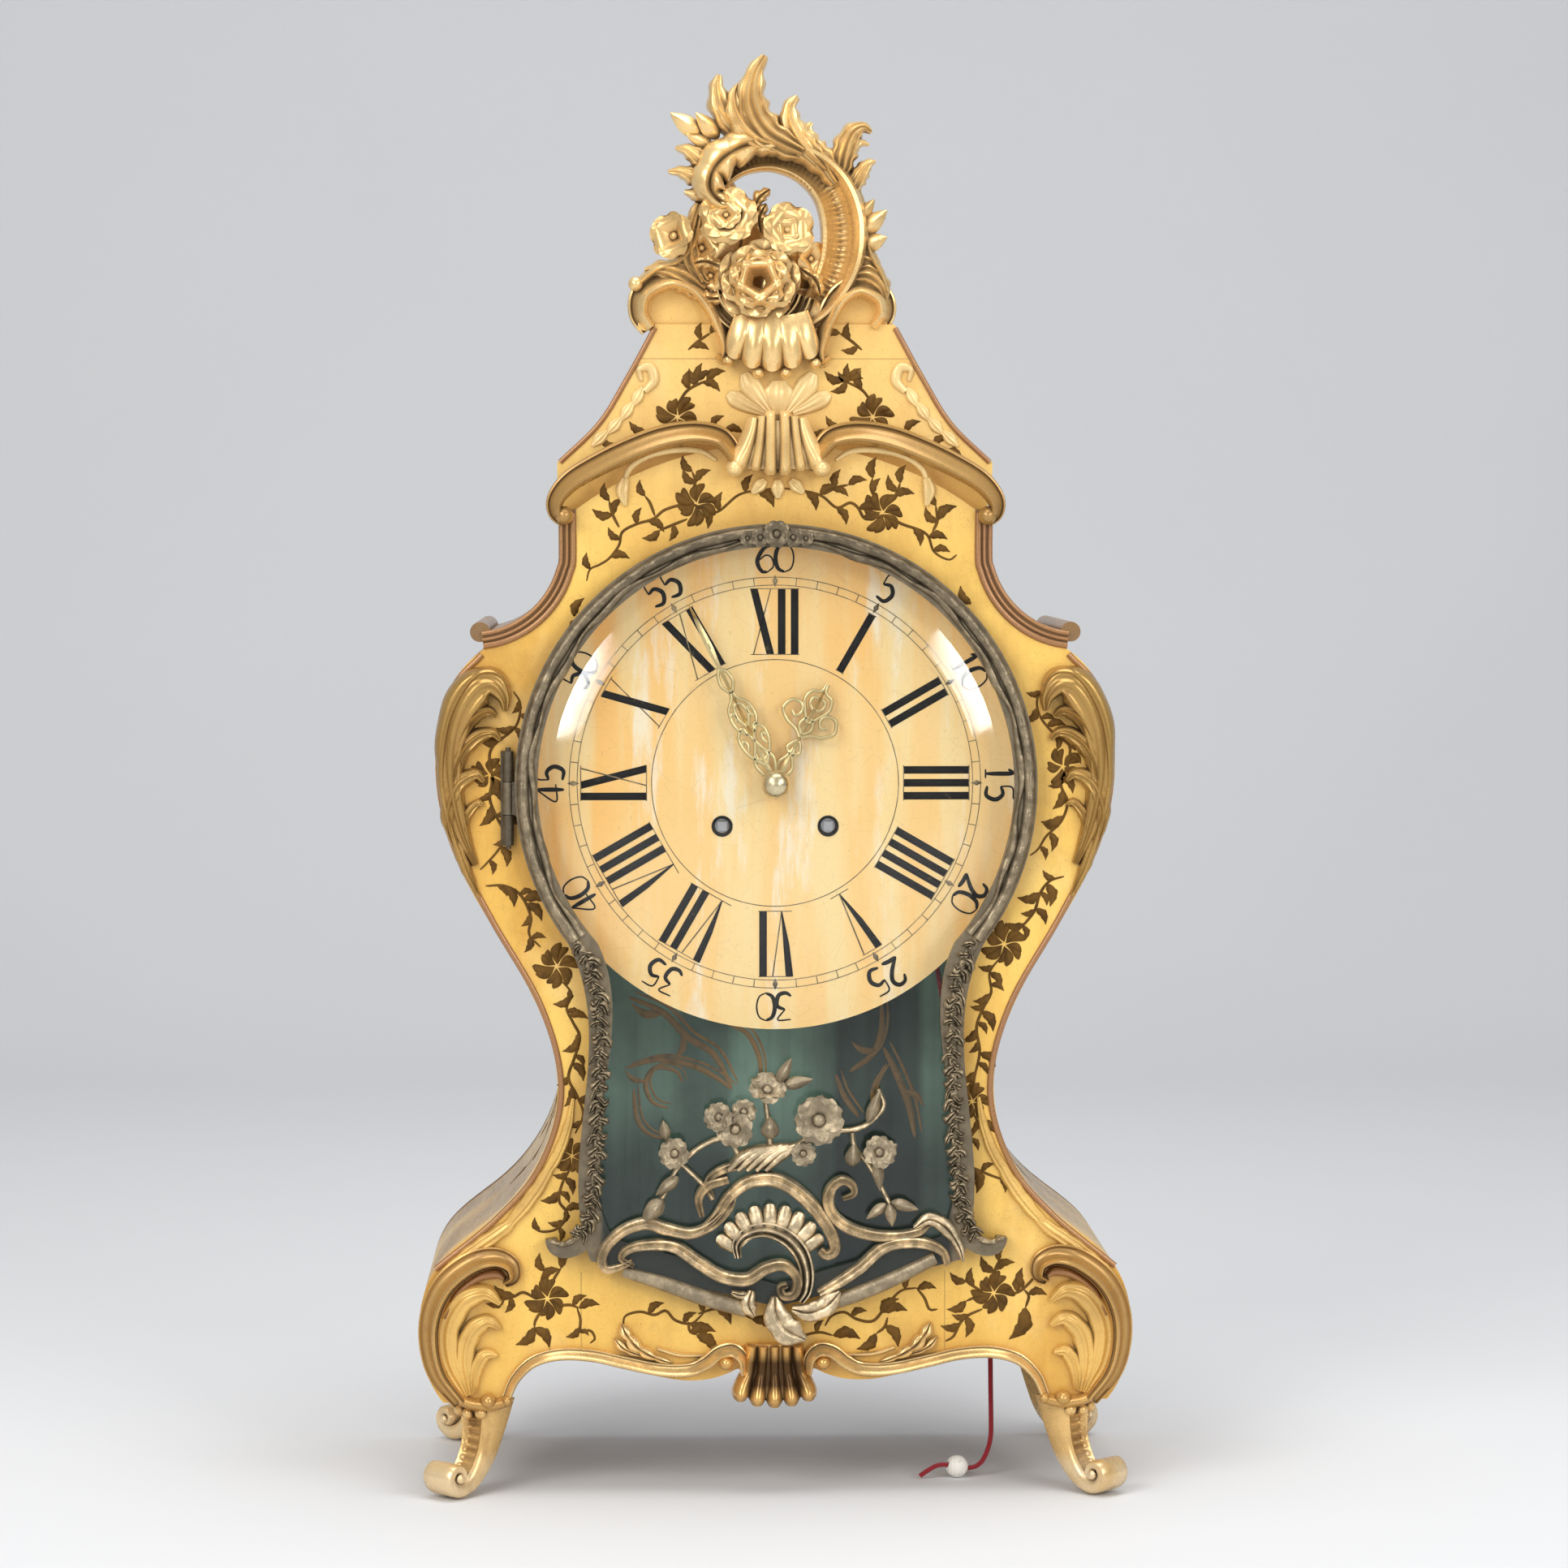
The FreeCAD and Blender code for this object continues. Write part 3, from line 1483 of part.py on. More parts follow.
third_disc = toothed(
    AXES["third"], S.third_teeth, THIRD_MODULE, 0.0, THIRD_WHEEL, S.wheel_thickness
)
third_disc = spoked(AXES["third"], third_disc, THIRD_WHEEL, S.wheel_thickness, 4.5, 13, 2)
third_pinion = toothed(
    AXES["third"],
    S.third_pinion_teeth,
    CENTRE_MODULE,
    phases["third_pinion"],
    CENTRE_WHEEL - 1,
    S.wheel_thickness + 2,
    5,
)
THIN = 1.2
node(
    "third_wheel",
    shape_of(
        "third_wheel",
        unite([arbor(AXES["third"], radius=THIN), third_disc, third_pinion]),
    ),
)

escape_points = []
for tooth in range(int(S.escape_teeth)):
    step = 360.0 / S.escape_teeth
    start = tooth * step
    escape_points.append(polar(S.escape_radius, start, *AXES["escape"]))
    escape_points.append(polar(S.escape_radius, start + 0.12 * step, *AXES["escape"]))
    escape_points.append(polar(S.escape_radius - 1.7, start + 0.55 * step, *AXES["escape"]))
    escape_points.append(polar(S.escape_radius - 1.7, start + 0.85 * step, *AXES["escape"]))
escape_face = region(closed(escape_points))
escape_disc = solid_from(escape_face, ESCAPE_WHEEL, ESCAPE_WHEEL + 1.5)
escape_disc = spoked(AXES["escape"], escape_disc, ESCAPE_WHEEL, 1.5, 4, 10.5, 2)
escape_pinion = toothed(
    AXES["escape"],
    S.escape_pinion_teeth,
    THIRD_MODULE,
    phases["escape_pinion"],
    THIRD_WHEEL - 1,
    S.wheel_thickness + 2,
    5,
)
node(
    "escape_wheel",
    shape_of(
        "escape_wheel",
        unite([arbor(AXES["escape"], 0.8, 0.8, 1.0), escape_disc, escape_pinion]),
    ),
)

# Anchor, pendulum and cock.

reach_angle = 48.0
touch = polar(S.escape_radius + S.pallet_gap, 90 - reach_angle, *AXES["escape"])
pivot = AXES["pallet"]
arm = [
    pivot,
    (0.75 * touch[0], pivot[1] - 4.5),
    (1.06 * touch[0], pivot[1] - 9),
    (touch[0] + 1.9, touch[1] + 2.2),
]
pallet_right = solid_from(region(ribbon(arm, (3, 1.7))), ESCAPE_WHEEL - 1.5, ESCAPE_WHEEL + 3)
pallet_left = pallet_right.mirror(Vector(0, 0, 0), Vector(1, 0, 0))
pallet_hub = bar(pivot, ESCAPE_WHEEL - 2.5, ESCAPE_WHEEL + 4, 4)
cock_front = REAR_BACK + S.cock_setback
pallet_arbor = unite(
    [
        bar(pivot, PLATE_BACK + 0.3, cock_front - 0.3, S.arbor_radius),
        bar(pivot, PLATE_FRONT, PLATE_BACK + 2, S.pivot_radius),
        bar(pivot, cock_front - 2, cock_front + 3, S.pivot_radius),
    ]
)
node("anchor", shape_of("anchor", unite([pallet_arbor, pallet_hub, pallet_right, pallet_left])))

swing = REAR_BACK + S.pendulum_setback
bob_height = pivot[1] - S.pendulum_length
rod_hub = bar(pivot, swing - 2.5, swing + 2.5, 4.2).cut(
    bar(pivot, swing - 5, swing + 5, S.arbor_radius + 0.02)
)
shank = Part.makeCylinder(
    S.pendulum_rod_radius,
    pivot[1] - 3.2 - (bob_height - S.bob_radius - 9),
    Vector(0, swing, bob_height - S.bob_radius - 9),
)
rating = Part.makeCylinder(4, 4, Vector(0, swing, bob_height - S.bob_radius - 5))
node("pendulum_rod", shape_of("pendulum_rod", unite([rod_hub, shank, rating])))
lens_radius = (S.bob_radius**2 + (S.bob_thickness / 2) ** 2) / S.bob_thickness
lens_shift = lens_radius - S.bob_thickness / 2
lens = Part.makeSphere(lens_radius, Vector(0, swing - lens_shift, bob_height)).common(
    Part.makeSphere(lens_radius, Vector(0, swing + lens_shift, bob_height))
)
rod_hole = Part.makeCylinder(
    S.pendulum_rod_radius + 0.05,
    4 * S.bob_radius,
    Vector(0, swing, bob_height - 2 * S.bob_radius),
)
node("pendulum_bob", shape_of("pendulum_bob", lens.cut(rod_hole)))

cock_bridge = block(
    "cock_bridge",
    (-17, cock_front, pivot[1] - 7),
    (17, cock_front + 3, pivot[1] + 7),
)
cock_legs = [
    block(
        f"cock_leg_{side}",
        (side * 14.5 - 2.5, REAR_BACK, pivot[1] - 7),
        (side * 14.5 + 2.5, cock_front, pivot[1] + 7),
    )
    for side in (-1, 1)
]
cock_hole = rod(
    "cock_hole",
    *pivot,
    cock_front - 1,
    5,
    "sizes.pivot_radius + sizes.pivot_play",
)
cock_whole = joined("cock_whole", [cock_bridge] + cock_legs)
node("pendulum_cock", cut("pendulum_cock", cock_whole, [cock_hole]))

# Strike train.

pin_disc = toothed(AXES["pin"], S.pin_teeth, PIN_MODULE, 0.0, CENTRE_WHEEL, S.wheel_thickness)
pin_disc = spoked(AXES["pin"], pin_disc, CENTRE_WHEEL, S.wheel_thickness, 5, 10.5, 2)
pin_pinion = toothed(
    AXES["pin"],
    S.great_pinion_teeth,
    GREAT_MODULE,
    phases["strike_pinion"],
    STRIKE_WHEEL - 0.5,
    S.great_wheel_thickness + 1,
    5,
)
lift_pins = [
    bar(
        polar(13, 45 * index, *AXES["pin"]),
        CENTRE_WHEEL + 0.5,
        CENTRE_WHEEL + S.wheel_thickness + 3.5,
        0.8,
    )
    for index in range(8)
]
node(
    "pin_wheel",
    shape_of("pin_wheel", unite([arbor(AXES["pin"]), pin_disc, pin_pinion] + lift_pins)),
)
fly_pinion = toothed(
    AXES["fly"],
    S.fly_pinion_teeth,
    PIN_MODULE,
    phases["fly_pinion"],
    CENTRE_WHEEL - 1,
    S.wheel_thickness + 2,
    5,
)
vane = Part.makeBox(
    2 * S.fly_vane_radius,
    26,
    1,
    Vector(AXES["fly"][0] - S.fly_vane_radius, PLATE_BACK + 10, AXES["fly"][1] - 0.5),
)
node(
    "fly",
    shape_of("fly", unite([arbor(AXES["fly"], radius=THIN), fly_pinion, vane])),
)

# Bell and hammer.

bell_y = (PLATE_BACK + REAR_FRONT) / 2
bell_base = CENTRE + S.bell_rise


def bell_space(radius, height):
    """The inside or outside of the bell as a turned solid."""
    outline = [
        Vector(0, 0, 0),
        Vector(radius, 0, 0),
        Vector(0.93 * radius, 0, 0.3 * height),
        Vector(0.78 * radius, 0, 0.72 * height),
        Vector(0.4 * radius, 0, height),
        Vector(0, 0, height),
        Vector(0, 0, 0),
    ]
    turned_bell = Part.Face(Part.makePolygon(outline)).revolve(
        Vector(0, 0, 0), Vector(0, 0, 1), 360
    )
    turned_bell.translate(Vector(0, bell_y, bell_base))
    return turned_bell


bell_hole = Part.makeCylinder(2.55, 60, Vector(0, bell_y, bell_base))
bell_shape = bell_space(S.bell_radius, S.bell_height).cut(
    bell_space(S.bell_radius - S.bell_wall, S.bell_height - S.bell_wall)
)
node("bell", shape_of("bell", bell_shape.cut(bell_hole)))

bell_top = bell_base + S.bell_height
post_x = 40.0
upright = block(
    "bell_upright",
    (post_x - 5, REAR_BACK, CENTRE + S.plate_rise - 16),
    (post_x + 5, REAR_BACK + 3, bell_top + 8),
)
bell_arm = block(
    "bell_arm",
    (post_x - 5, bell_y - 4, bell_top + 4),
    (post_x + 5, REAR_BACK, bell_top + 8),
)
bell_bridge = block(
    "bell_bridge",
    (-5, bell_y - 4, bell_top + 4),
    (post_x - 5, bell_y + 4, bell_top + 8),
)
bell_stud = post("bell_stud", 0, bell_y, bell_top - 6, 11, "2.5")
bell_collar = post("bell_collar", 0, bell_y, bell_top, 4.5, "5")
node(
    "bell_post",
    joined("bell_post", [upright, bell_arm, bell_bridge, bell_stud, bell_collar]),
)

pivot_h = AXES["hammer"]
head_x = -S.bell_radius - 1.2
hammer_head = Part.makeBox(9, 8, 9, Vector(head_x - 9, bell_y - 4, bell_base - 1))
hammer_stem = solid_from(
    region(ribbon([pivot_h, (pivot_h[0] + 2, pivot_h[1] + 25), (head_x - 4.5, bell_base + 2)], (1.8, 1.5))),
    bell_y - 1.2,
    bell_y + 1.2,
)
hammer_tail = Part.makeBox(
    3, 3, 16, Vector(pivot_h[0] - 1.5, CENTRE_WHEEL + 2.5, pivot_h[1] - 16)
)
hammer_hub = bar(pivot_h, bell_y - 3, bell_y + 3, 4)
node(
    "hammer",
    shape_of("hammer", unite([arbor(pivot_h), hammer_hub, hammer_stem, hammer_head, hammer_tail])),
)

# Plates, pillars, dial and seat board.

plate_low = CENTRE - S.plate_drop
plate_high = CENTRE + S.plate_rise
wide = S.plate_half_width


def plate_holes(prefix, front, radii):
    """Pivot holes through a plate, each an expression of the sheet."""
    return [
        rod(f"{prefix}_{name}", *AXES[name], front - 4, S.plate_thickness + 8, radius)
        for name, radius in radii.items()
    ]


pivot_hole = "sizes.pivot_radius + sizes.pivot_play"
winding_hole = "sizes.winding_arbor_radius + sizes.pivot_play"
front_radii = {
    "centre": "1.5 + sizes.pivot_play",
    "going": winding_hole,
    "strike": winding_hole,
    "third": pivot_hole,
    "escape": "0.8 + sizes.pivot_play",
    "pallet": pivot_hole,
    "pin": pivot_hole,
    "fly": pivot_hole,
    "hammer": pivot_hole,
}
rear_radii = dict(front_radii, centre=pivot_hole, pallet="sizes.arbor_radius + 1")
front_blank = block("front_blank", (-wide, PLATE_FRONT, plate_low), (wide, PLATE_BACK, plate_high))
bind(front_blank, Width="sizes.plate_thickness")
rear_blank = block("rear_blank", (-wide, REAR_FRONT, plate_low), (wide, REAR_BACK, plate_high))
bind(rear_blank, Width="sizes.plate_thickness")
front_bored = cut("front_bored", front_blank, plate_holes("front_hole", PLATE_FRONT, front_radii))
minute_stud = rod(
    "minute_stud", *AXES["minute"], MOTION_FRONT - 7, PLATE_BACK - MOTION_FRONT + 7, "1.5"
)
lever_pivot = (S.lever_pivot_x, CENTRE - S.lever_drop)
lever_stud = rod("lever_stud", *lever_pivot, PLATE_FRONT - 4.2, S.plate_thickness + 4.2, "2")
node("front_plate", joined("front_plate", [front_bored, minute_stud, lever_stud]))
node("back_plate", cut("back_plate", rear_blank, plate_holes("rear_hole", REAR_FRONT, rear_radii)))

inset = S.pillar_inset
PILLARS = [
    (side * (wide - inset), height)
    for side in (-1, 1)
    for height in (plate_low + inset, plate_high - inset)
]
node(
    "plate_pillars",
    joined(
        "plate_pillars",
        [
            bind(
                rod(f"pillar_{i}", *place, PLATE_BACK, S.plate_spacing, "sizes.pillar_radius"),
                Height="sizes.plate_spacing",
            )
            for i, place in enumerate(PILLARS)
        ],
    ),
)

dial_disc = rod("dial_disc", 0, CENTRE, DIAL_FRONT, S.dial_thickness, "sizes.dial_radius")
bind(dial_disc, Height="sizes.dial_thickness")
dial_feet = [
    rod(f"dial_foot_{i}", *place, DIAL_BACK - 0.5, S.plate_setback + 0.5, "sizes.dial_foot_radius")
    for i, place in enumerate(PILLARS)
]
dial_holes = [
    rod("dial_hole_centre", 0, CENTRE, DIAL_FRONT - 5, 20, "sizes.dial_centre_hole"),
    rod("dial_hole_going", *AXES["going"], DIAL_FRONT - 5, 20, "sizes.winding_hole"),
    rod("dial_hole_strike", *AXES["strike"], DIAL_FRONT - 5, 20, "sizes.winding_hole"),
]
node(
    "dial_plate",
    cut("dial_plate", joined("dial_whole", [dial_disc] + dial_feet), dial_holes),
)

seat_slab = block(
    "seat_slab",
    (-S.bulge_half_width, PLATE_FRONT - S.seat_front_margin, plate_low - S.seat_thickness),
    (S.bulge_half_width, REAR_BACK + S.seat_back_margin, plate_low),
)
seat_blank = common("seat_blank", seat_slab, room)

# Repeat lever, inner cord, bush, hanging cord and bead.

cord_radius = S.cord_diameter / 2
eye_x = lever_pivot[0] + S.lever_reach
lever_y = PLATE_FRONT - 1.7
knot = Vector(eye_x, lever_y, lever_pivot[1] + 2 + 0.3 + 5)
exit_point = Vector(CORD_EXIT[0], CORD_EXIT[1], S.floor_height - S.bush_flange)
inner_route = [knot, Vector(CORD_EXIT[0], CORD_EXIT[1], S.floor_height + 32), exit_point]
free_route = [
    exit_point,
    Vector(123.1, -32, 58),
    Vector(123.5, -32.2, 36),
    Vector(123.6, -32.4, 18),
    Vector(115.5, -34.8, 3.1),
    Vector(95.5, -38.8, 8.9),
    Vector(87, -40.2, 5),
    Vector(82.5, -40.6, 1.6),
]
bead_share = 0.584
bead_centre = free_route[4] + (free_route[5] - free_route[4]) * bead_share


def tube(route, radius, name):
    """A round cord along straight runs joined by tangent arcs."""
    edges = []
    start = route[0]
    smallest = None
    for before, corner, after in zip(route, route[1:], route[2:]):
        into = corner - before
        out = after - corner
        shorter = min(into.Length, out.Length)
        into.normalize()
        out.normalize()
        turn = into.getAngle(out)
        trim = 0.45 * shorter
        bend = trim / math.tan(turn / 2)
        smallest = bend if smallest is None else min(smallest, bend)
        first = corner - into * trim
        last = corner + out * trim
        aside = out - into
        aside.normalize()
        middle = corner + aside * (math.hypot(bend, trim) - bend)
        edges.append(Part.LineSegment(start, first).toShape())
        edges.append(Part.Arc(first, middle, last).toShape())
        start = last
    edges.append(Part.LineSegment(start, route[-1]).toShape())
    spine = Part.Wire(edges)
    profile = Part.Wire(Part.Circle(route[0], route[1] - route[0], radius).toShape())
    solid = spine.makePipeShell([profile], True, False)
    length = sum(e.Length for e in spine.Edges)
    share = solid.Volume / (math.pi * radius * radius * length)
    print(f"{name}: least bend radius {smallest:.1f}, length {length:.1f}, volume share {share:.4f}")
    return solid


inner_tube = tube(inner_route, cord_radius, "inner_cord")
knot_ball = Part.makeSphere(5, knot)
node("inner_cord", shape_of("inner_cord", inner_tube.fuse(knot_ball)))
node("pull_cord", shape_of("pull_cord", tube(free_route, cord_radius, "pull_cord")))
bead_run = free_route[5] - free_route[4]
bead_bore = Part.makeCylinder(
    cord_radius + S.bead_bore_play,
    4 * S.bead_radius,
    bead_centre - bead_run * (2 * S.bead_radius / bead_run.Length),
    bead_run,
)
node(
    "cord_bead",
    shape_of("cord_bead", Part.makeSphere(S.bead_radius, bead_centre, bead_run).cut(bead_bore)),
)

bush_tube = post(
    "bush_tube",
    *CORD_EXIT,
    S.floor_height - S.bush_flange,
    S.floor_thickness + S.bush_flange,
    "sizes.bush_radius",
)
bush_flange = post(
    "bush_flange",
    *CORD_EXIT,
    S.floor_height - S.bush_flange,
    S.bush_flange,
    "sizes.bush_flange_radius",
)
bush_bore = post(
    "bush_bore",
    *CORD_EXIT,
    S.floor_height - 10,
    S.floor_thickness + 30,
    "sizes.cord_diameter / 2 + 0.2",
)
node("cord_bush", cut("cord_bush", joined("bush_whole", [bush_tube, bush_flange]), [bush_bore]))

drop_share = (knot.z - (plate_low - S.seat_thickness / 2)) / (knot.z - inner_route[1].z)
seat_pass = knot + (inner_route[1] - knot) * drop_share
seat_hole = post("seat_hole", seat_pass.x, seat_pass.y, plate_low - 40, 80, "6")
node("seat_board", cut("seat_board", seat_blank, [seat_hole]))

lever_bar = block(
    "lever_bar",
    (lever_pivot[0], lever_y - 1.3, lever_pivot[1] - 4),
    (eye_x - 6, lever_y + 1.3, lever_pivot[1] + 4),
)
lever_hub = rod("lever_hub", *lever_pivot, lever_y - 1.3, 2.6, "5")
lever_pad = block(
    "lever_pad",
    (eye_x - 7, lever_y - 7, lever_pivot[1] - 2),
    (eye_x + S.lever_eye_slot + 7, lever_y + 7, lever_pivot[1] + 2),
)
lever_bore = rod("lever_bore", *lever_pivot, lever_y - 5, 10, "2 + sizes.pivot_play")
lever_eye = post("lever_eye", eye_x, lever_y, lever_pivot[1] - 10, 20, "sizes.lever_eye")
lever_eye_end = post(
    "lever_eye_end",
    eye_x + S.lever_eye_slot,
    lever_y,
    lever_pivot[1] - 10,
    20,
    "sizes.lever_eye",
)
lever_eye_middle = block(
    "lever_eye_middle",
    (eye_x, lever_y - S.lever_eye, lever_pivot[1] - 10),
    (eye_x + S.lever_eye_slot, lever_y + S.lever_eye, lever_pivot[1] + 10),
)
lever_whole = joined("lever_whole", [lever_bar, lever_hub, lever_pad])
node(
    "repeat_lever",
    cut("repeat_lever", lever_whole, [lever_bore, lever_eye, lever_eye_end, lever_eye_middle]),
)

# Checks and export.

doc.recompute()
for feature in doc.Objects:
    bad = [state for state in feature.State if state in ("Invalid", "Error")]
    if bad:
        raise RuntimeError(f"{feature.Name} is {bad}")
os.makedirs("parts", exist_ok=True)
for name, feature in nodes.items():
    shape = feature.Shape
    if shape.isNull() or not shape.isValid() or not shape.Solids:
        raise RuntimeError(f"{name} has no valid solid")
    shape.exportStep(f"parts/{name}.step")
print(len(nodes), "nodes")
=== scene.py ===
import math

import bpy
import numpy as np
from bpy.props import FloatProperty, FloatVectorProperty, PointerProperty
from bpy.types import Operator, Panel, PropertyGroup
from mathutils import Matrix, Vector


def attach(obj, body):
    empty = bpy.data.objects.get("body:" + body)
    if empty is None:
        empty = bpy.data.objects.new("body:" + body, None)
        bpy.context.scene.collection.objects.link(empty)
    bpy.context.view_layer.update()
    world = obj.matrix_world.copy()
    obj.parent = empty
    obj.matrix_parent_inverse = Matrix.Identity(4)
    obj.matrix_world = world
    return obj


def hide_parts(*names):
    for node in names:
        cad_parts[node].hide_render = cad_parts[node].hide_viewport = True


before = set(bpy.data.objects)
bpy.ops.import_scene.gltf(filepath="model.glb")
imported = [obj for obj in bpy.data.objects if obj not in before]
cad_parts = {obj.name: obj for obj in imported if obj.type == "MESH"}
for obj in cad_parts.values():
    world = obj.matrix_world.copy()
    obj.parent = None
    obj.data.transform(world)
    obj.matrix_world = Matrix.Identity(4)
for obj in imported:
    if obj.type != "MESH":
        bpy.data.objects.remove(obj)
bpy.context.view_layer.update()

bl_info = {
    "name": "Bracket clock",
    "version": (1, 0, 0),
    "blender": (4, 5, 0),
    "location": "View3D > Sidebar > Clock",
    "description": "Carving, paint, metalwork and finishes of a lacquered bracket clock",
    "category": "Object",
}

MM = 0.001
# Millimetres in the frame's axes: x to the right, y to the back and z up.
FACE = -76.0
HOOD_FACE = -62.0
DIAL_FACE = -61.5
DIAL_HEIGHT = 396.0
DOOR_FACE = -88.0
BACK_WALL = 80.0
OUT = np.array((0.0, -1.0, 0.0))
# The whole picture: its column over the clock's middle, its row at the floor, and its scale.
PHOTO_MIDDLE = 955
PHOTO_FLOOR = 1852
PHOTO_SCALE = 0.4477
# An enlarged part of the picture, over the door's mount: where its corner lies, and its scale.
MOUNT_LEFT = -136.5
MOUNT_TOP = 260.56
MOUNT_SCALE = 0.17133


def colour(name, text, default):
    return FloatVectorProperty(
        name=name, description=text, subtype="COLOR", size=3, min=0, max=1, default=default
    )


def length(name, text, default):
    return FloatProperty(name=name, description=text, unit="LENGTH", subtype="DISTANCE", default=default)


class ClockSizes(PropertyGroup):
    """Sizes of the painted and carved work."""

    paint: length("Paint", "Thickness of painted line work", 0.00012)
    numeral_stroke: length("Numeral stroke", "Half width of a thick stroke on the dial", 0.0021)
    crackle: length("Crackle", "Size of one island of crackled lacquer", 0.0045)


class ClockColours(PropertyGroup):
    """Colours of the finishes."""

    lacquer: colour("Lacquer", "Yellow japanned boards", (0.90, 0.58, 0.125))
    lacquer_dark: colour("Aged lacquer", "Browned varnish over the yellow", (0.64, 0.325, 0.045))
    gilt: colour("Gilding", "Burnished leaf", (0.90, 0.56, 0.205))
    gilt_deep: colour("Deep gilding", "Leaf toned with old size", (0.60, 0.32, 0.085))
    bole: colour("Bole", "Red clay under worn leaf", (0.27, 0.105, 0.045))
    # Soil: the colour of dirt, also used as painted shade in the hollows of carving.
    soil_and_shade: colour("Soil", "Dirt in the hollows of carving", (0.10, 0.05, 0.02))
    vine: colour("Vine paint", "Brown flowers and leaves", (0.10, 0.046, 0.009))
    bronze: colour("Bronze", "Old gilt bronze of the door", (0.31, 0.245, 0.155))
    bronze_dark: colour("Bronze patina", "Dark patina in the hollows", (0.05, 0.037, 0.022))
    dial: colour("Dial", "Cream dial paint", (0.82, 0.605, 0.28))
    dial_warm: colour("Dial streak", "Orange streaks of old varnish", (0.84, 0.44, 0.095))
    teal: colour("Teal", "Paint inside the case", (0.42, 0.68, 0.53))
    brass: colour("Brass", "Lacquered brass", (0.72, 0.50, 0.20))
    cord: colour("Cord", "Red pull cord", (0.42, 0.012, 0.022))


def sizes():
    return bpy.context.scene.clock_sizes


def tints():
    return bpy.context.scene.clock_colours


# Lines and sections.


def smooth(points, count, flat=2):
    """Evenly spaced points on a smooth line; columns after the first few ride along."""
    p = np.array(points, float)
    ends = np.vstack([2 * p[0] - p[1], p, 2 * p[-1] - p[-2]])
    runs = []
    t = np.linspace(0, 1, 18, endpoint=False)[:, None]
    for i in range(len(p) - 1):
        a, b, c, d = ends[i : i + 4]
        runs.append(
            0.5 * (2 * b + (c - a) * t + (2 * a - 5 * b + 4 * c - d) * t**2 + (3 * b - a - 3 * c + d) * t**3)
        )
    line = np.vstack(runs + [p[-1:]])
    steps = np.linalg.norm(np.diff(line[:, :flat], axis=0), axis=1)
    run = np.concatenate([[0], np.cumsum(steps)])
    at = np.linspace(0, run[-1], count)
    return np.stack([np.interp(at, run, line[:, k]) for k in range(p.shape[1])], 1)


def unit(v):
    v = np.asarray(v, float)
    return v / np.maximum(np.linalg.norm(v, axis=-1, keepdims=True), 1e-9)


def mirrored(rows, side, middle=0):
    """Rows on one side of the middle: side is -1 or 1."""
    return [(side * row[0] + middle,) + tuple(row[1:]) for row in rows]


def reversed_section(section):
    """A section with its left and right changed over."""
    return [(-a, h) for a, h in reversed(section)]


def spot(px, py):
    """Millimetres on the front face from a pixel of the picture."""
    return ((px - PHOTO_MIDDLE) * PHOTO_SCALE, (PHOTO_FLOOR - py) * PHOTO_SCALE)


def mount_spot(px, py):
    """Millimetres on the front face from a pixel of the enlarged part."""
    return (MOUNT_LEFT + MOUNT_SCALE * px, MOUNT_TOP - MOUNT_SCALE * py)


# Sections: places across, from -1 to 1 of the half width, and shares of the relief.
CHANNEL = [
    (-1, -0.1), (-1, 0.55), (-0.92, 0.72), (-0.78, 0.76), (-0.66, 0.6), (-0.5, 0.42), (-0.2, 0.32),
    (0.08, 0.36), (0.3, 0.55), (0.4, 0.9), (0.55, 1.03), (0.72, 1.0), (0.84, 0.8), (0.9, 0.6), (1, 0.5),
    (1, -0.1),
]
ROUND = [(math.cos(math.pi * (1 - i / 10)), math.sin(math.pi * i / 10)) for i in range(11)]
ROUND += [(0.8, -0.3), (-0.8, -0.3)]
OGEE = [
    (-1, -0.1), (-1, 0.35), (-0.9, 0.5), (-0.74, 0.52), (-0.66, 0.4), (-0.56, 0.42), (-0.3, 0.55),
    (0.0, 0.72), (0.25, 0.92), (0.5, 1.0), (0.72, 0.96), (0.86, 0.8), (0.9, 0.62), (1, 0.55), (1, -0.1),
]
REEDS = [
    (-1, -0.2), (-1, 0.4), (-0.85, 0.75), (-0.65, 0.75), (-0.5, 0.4), (-0.38, 0.55), (-0.15, 1.0),
    (0.1, 1.0), (0.32, 0.6), (0.45, 0.42), (0.58, 0.7), (0.8, 0.78), (1, 0.42), (1, -0.2),
]
COVE = [
    (-1, -0.1), (-1, 0.3), (-0.86, 0.34), (-0.6, 0.24), (-0.3, 0.26), (0.0, 0.4), (0.2, 0.66), (0.3, 0.95),
    (0.45, 1.03), (0.62, 1.0), (0.72, 0.8), (0.8, 0.78), (0.9, 0.84), (0.98, 0.7), (1, 0.5), (1, -0.1),
]
MOUNT_RIM = [
    (-1, -0.1), (-1, 0.5), (-0.84, 0.9), (-0.6, 1.0), (-0.36, 0.8), (0, 0.68), (0.36, 0.8), (0.6, 1.0),
    (0.84, 0.9), (1, 0.5), (1, -0.1),
]
PETAL = [
    (-1, 0.85), (-0.6, 0.42), (-0.25, 0.2), (0, 0.28), (0.25, 0.2), (0.6, 0.42), (1, 0.85), (0.9, 0.5),
    (0.5, 0.0), (0, -0.2), (-0.5, 0.0), (-0.9, 0.5),
]


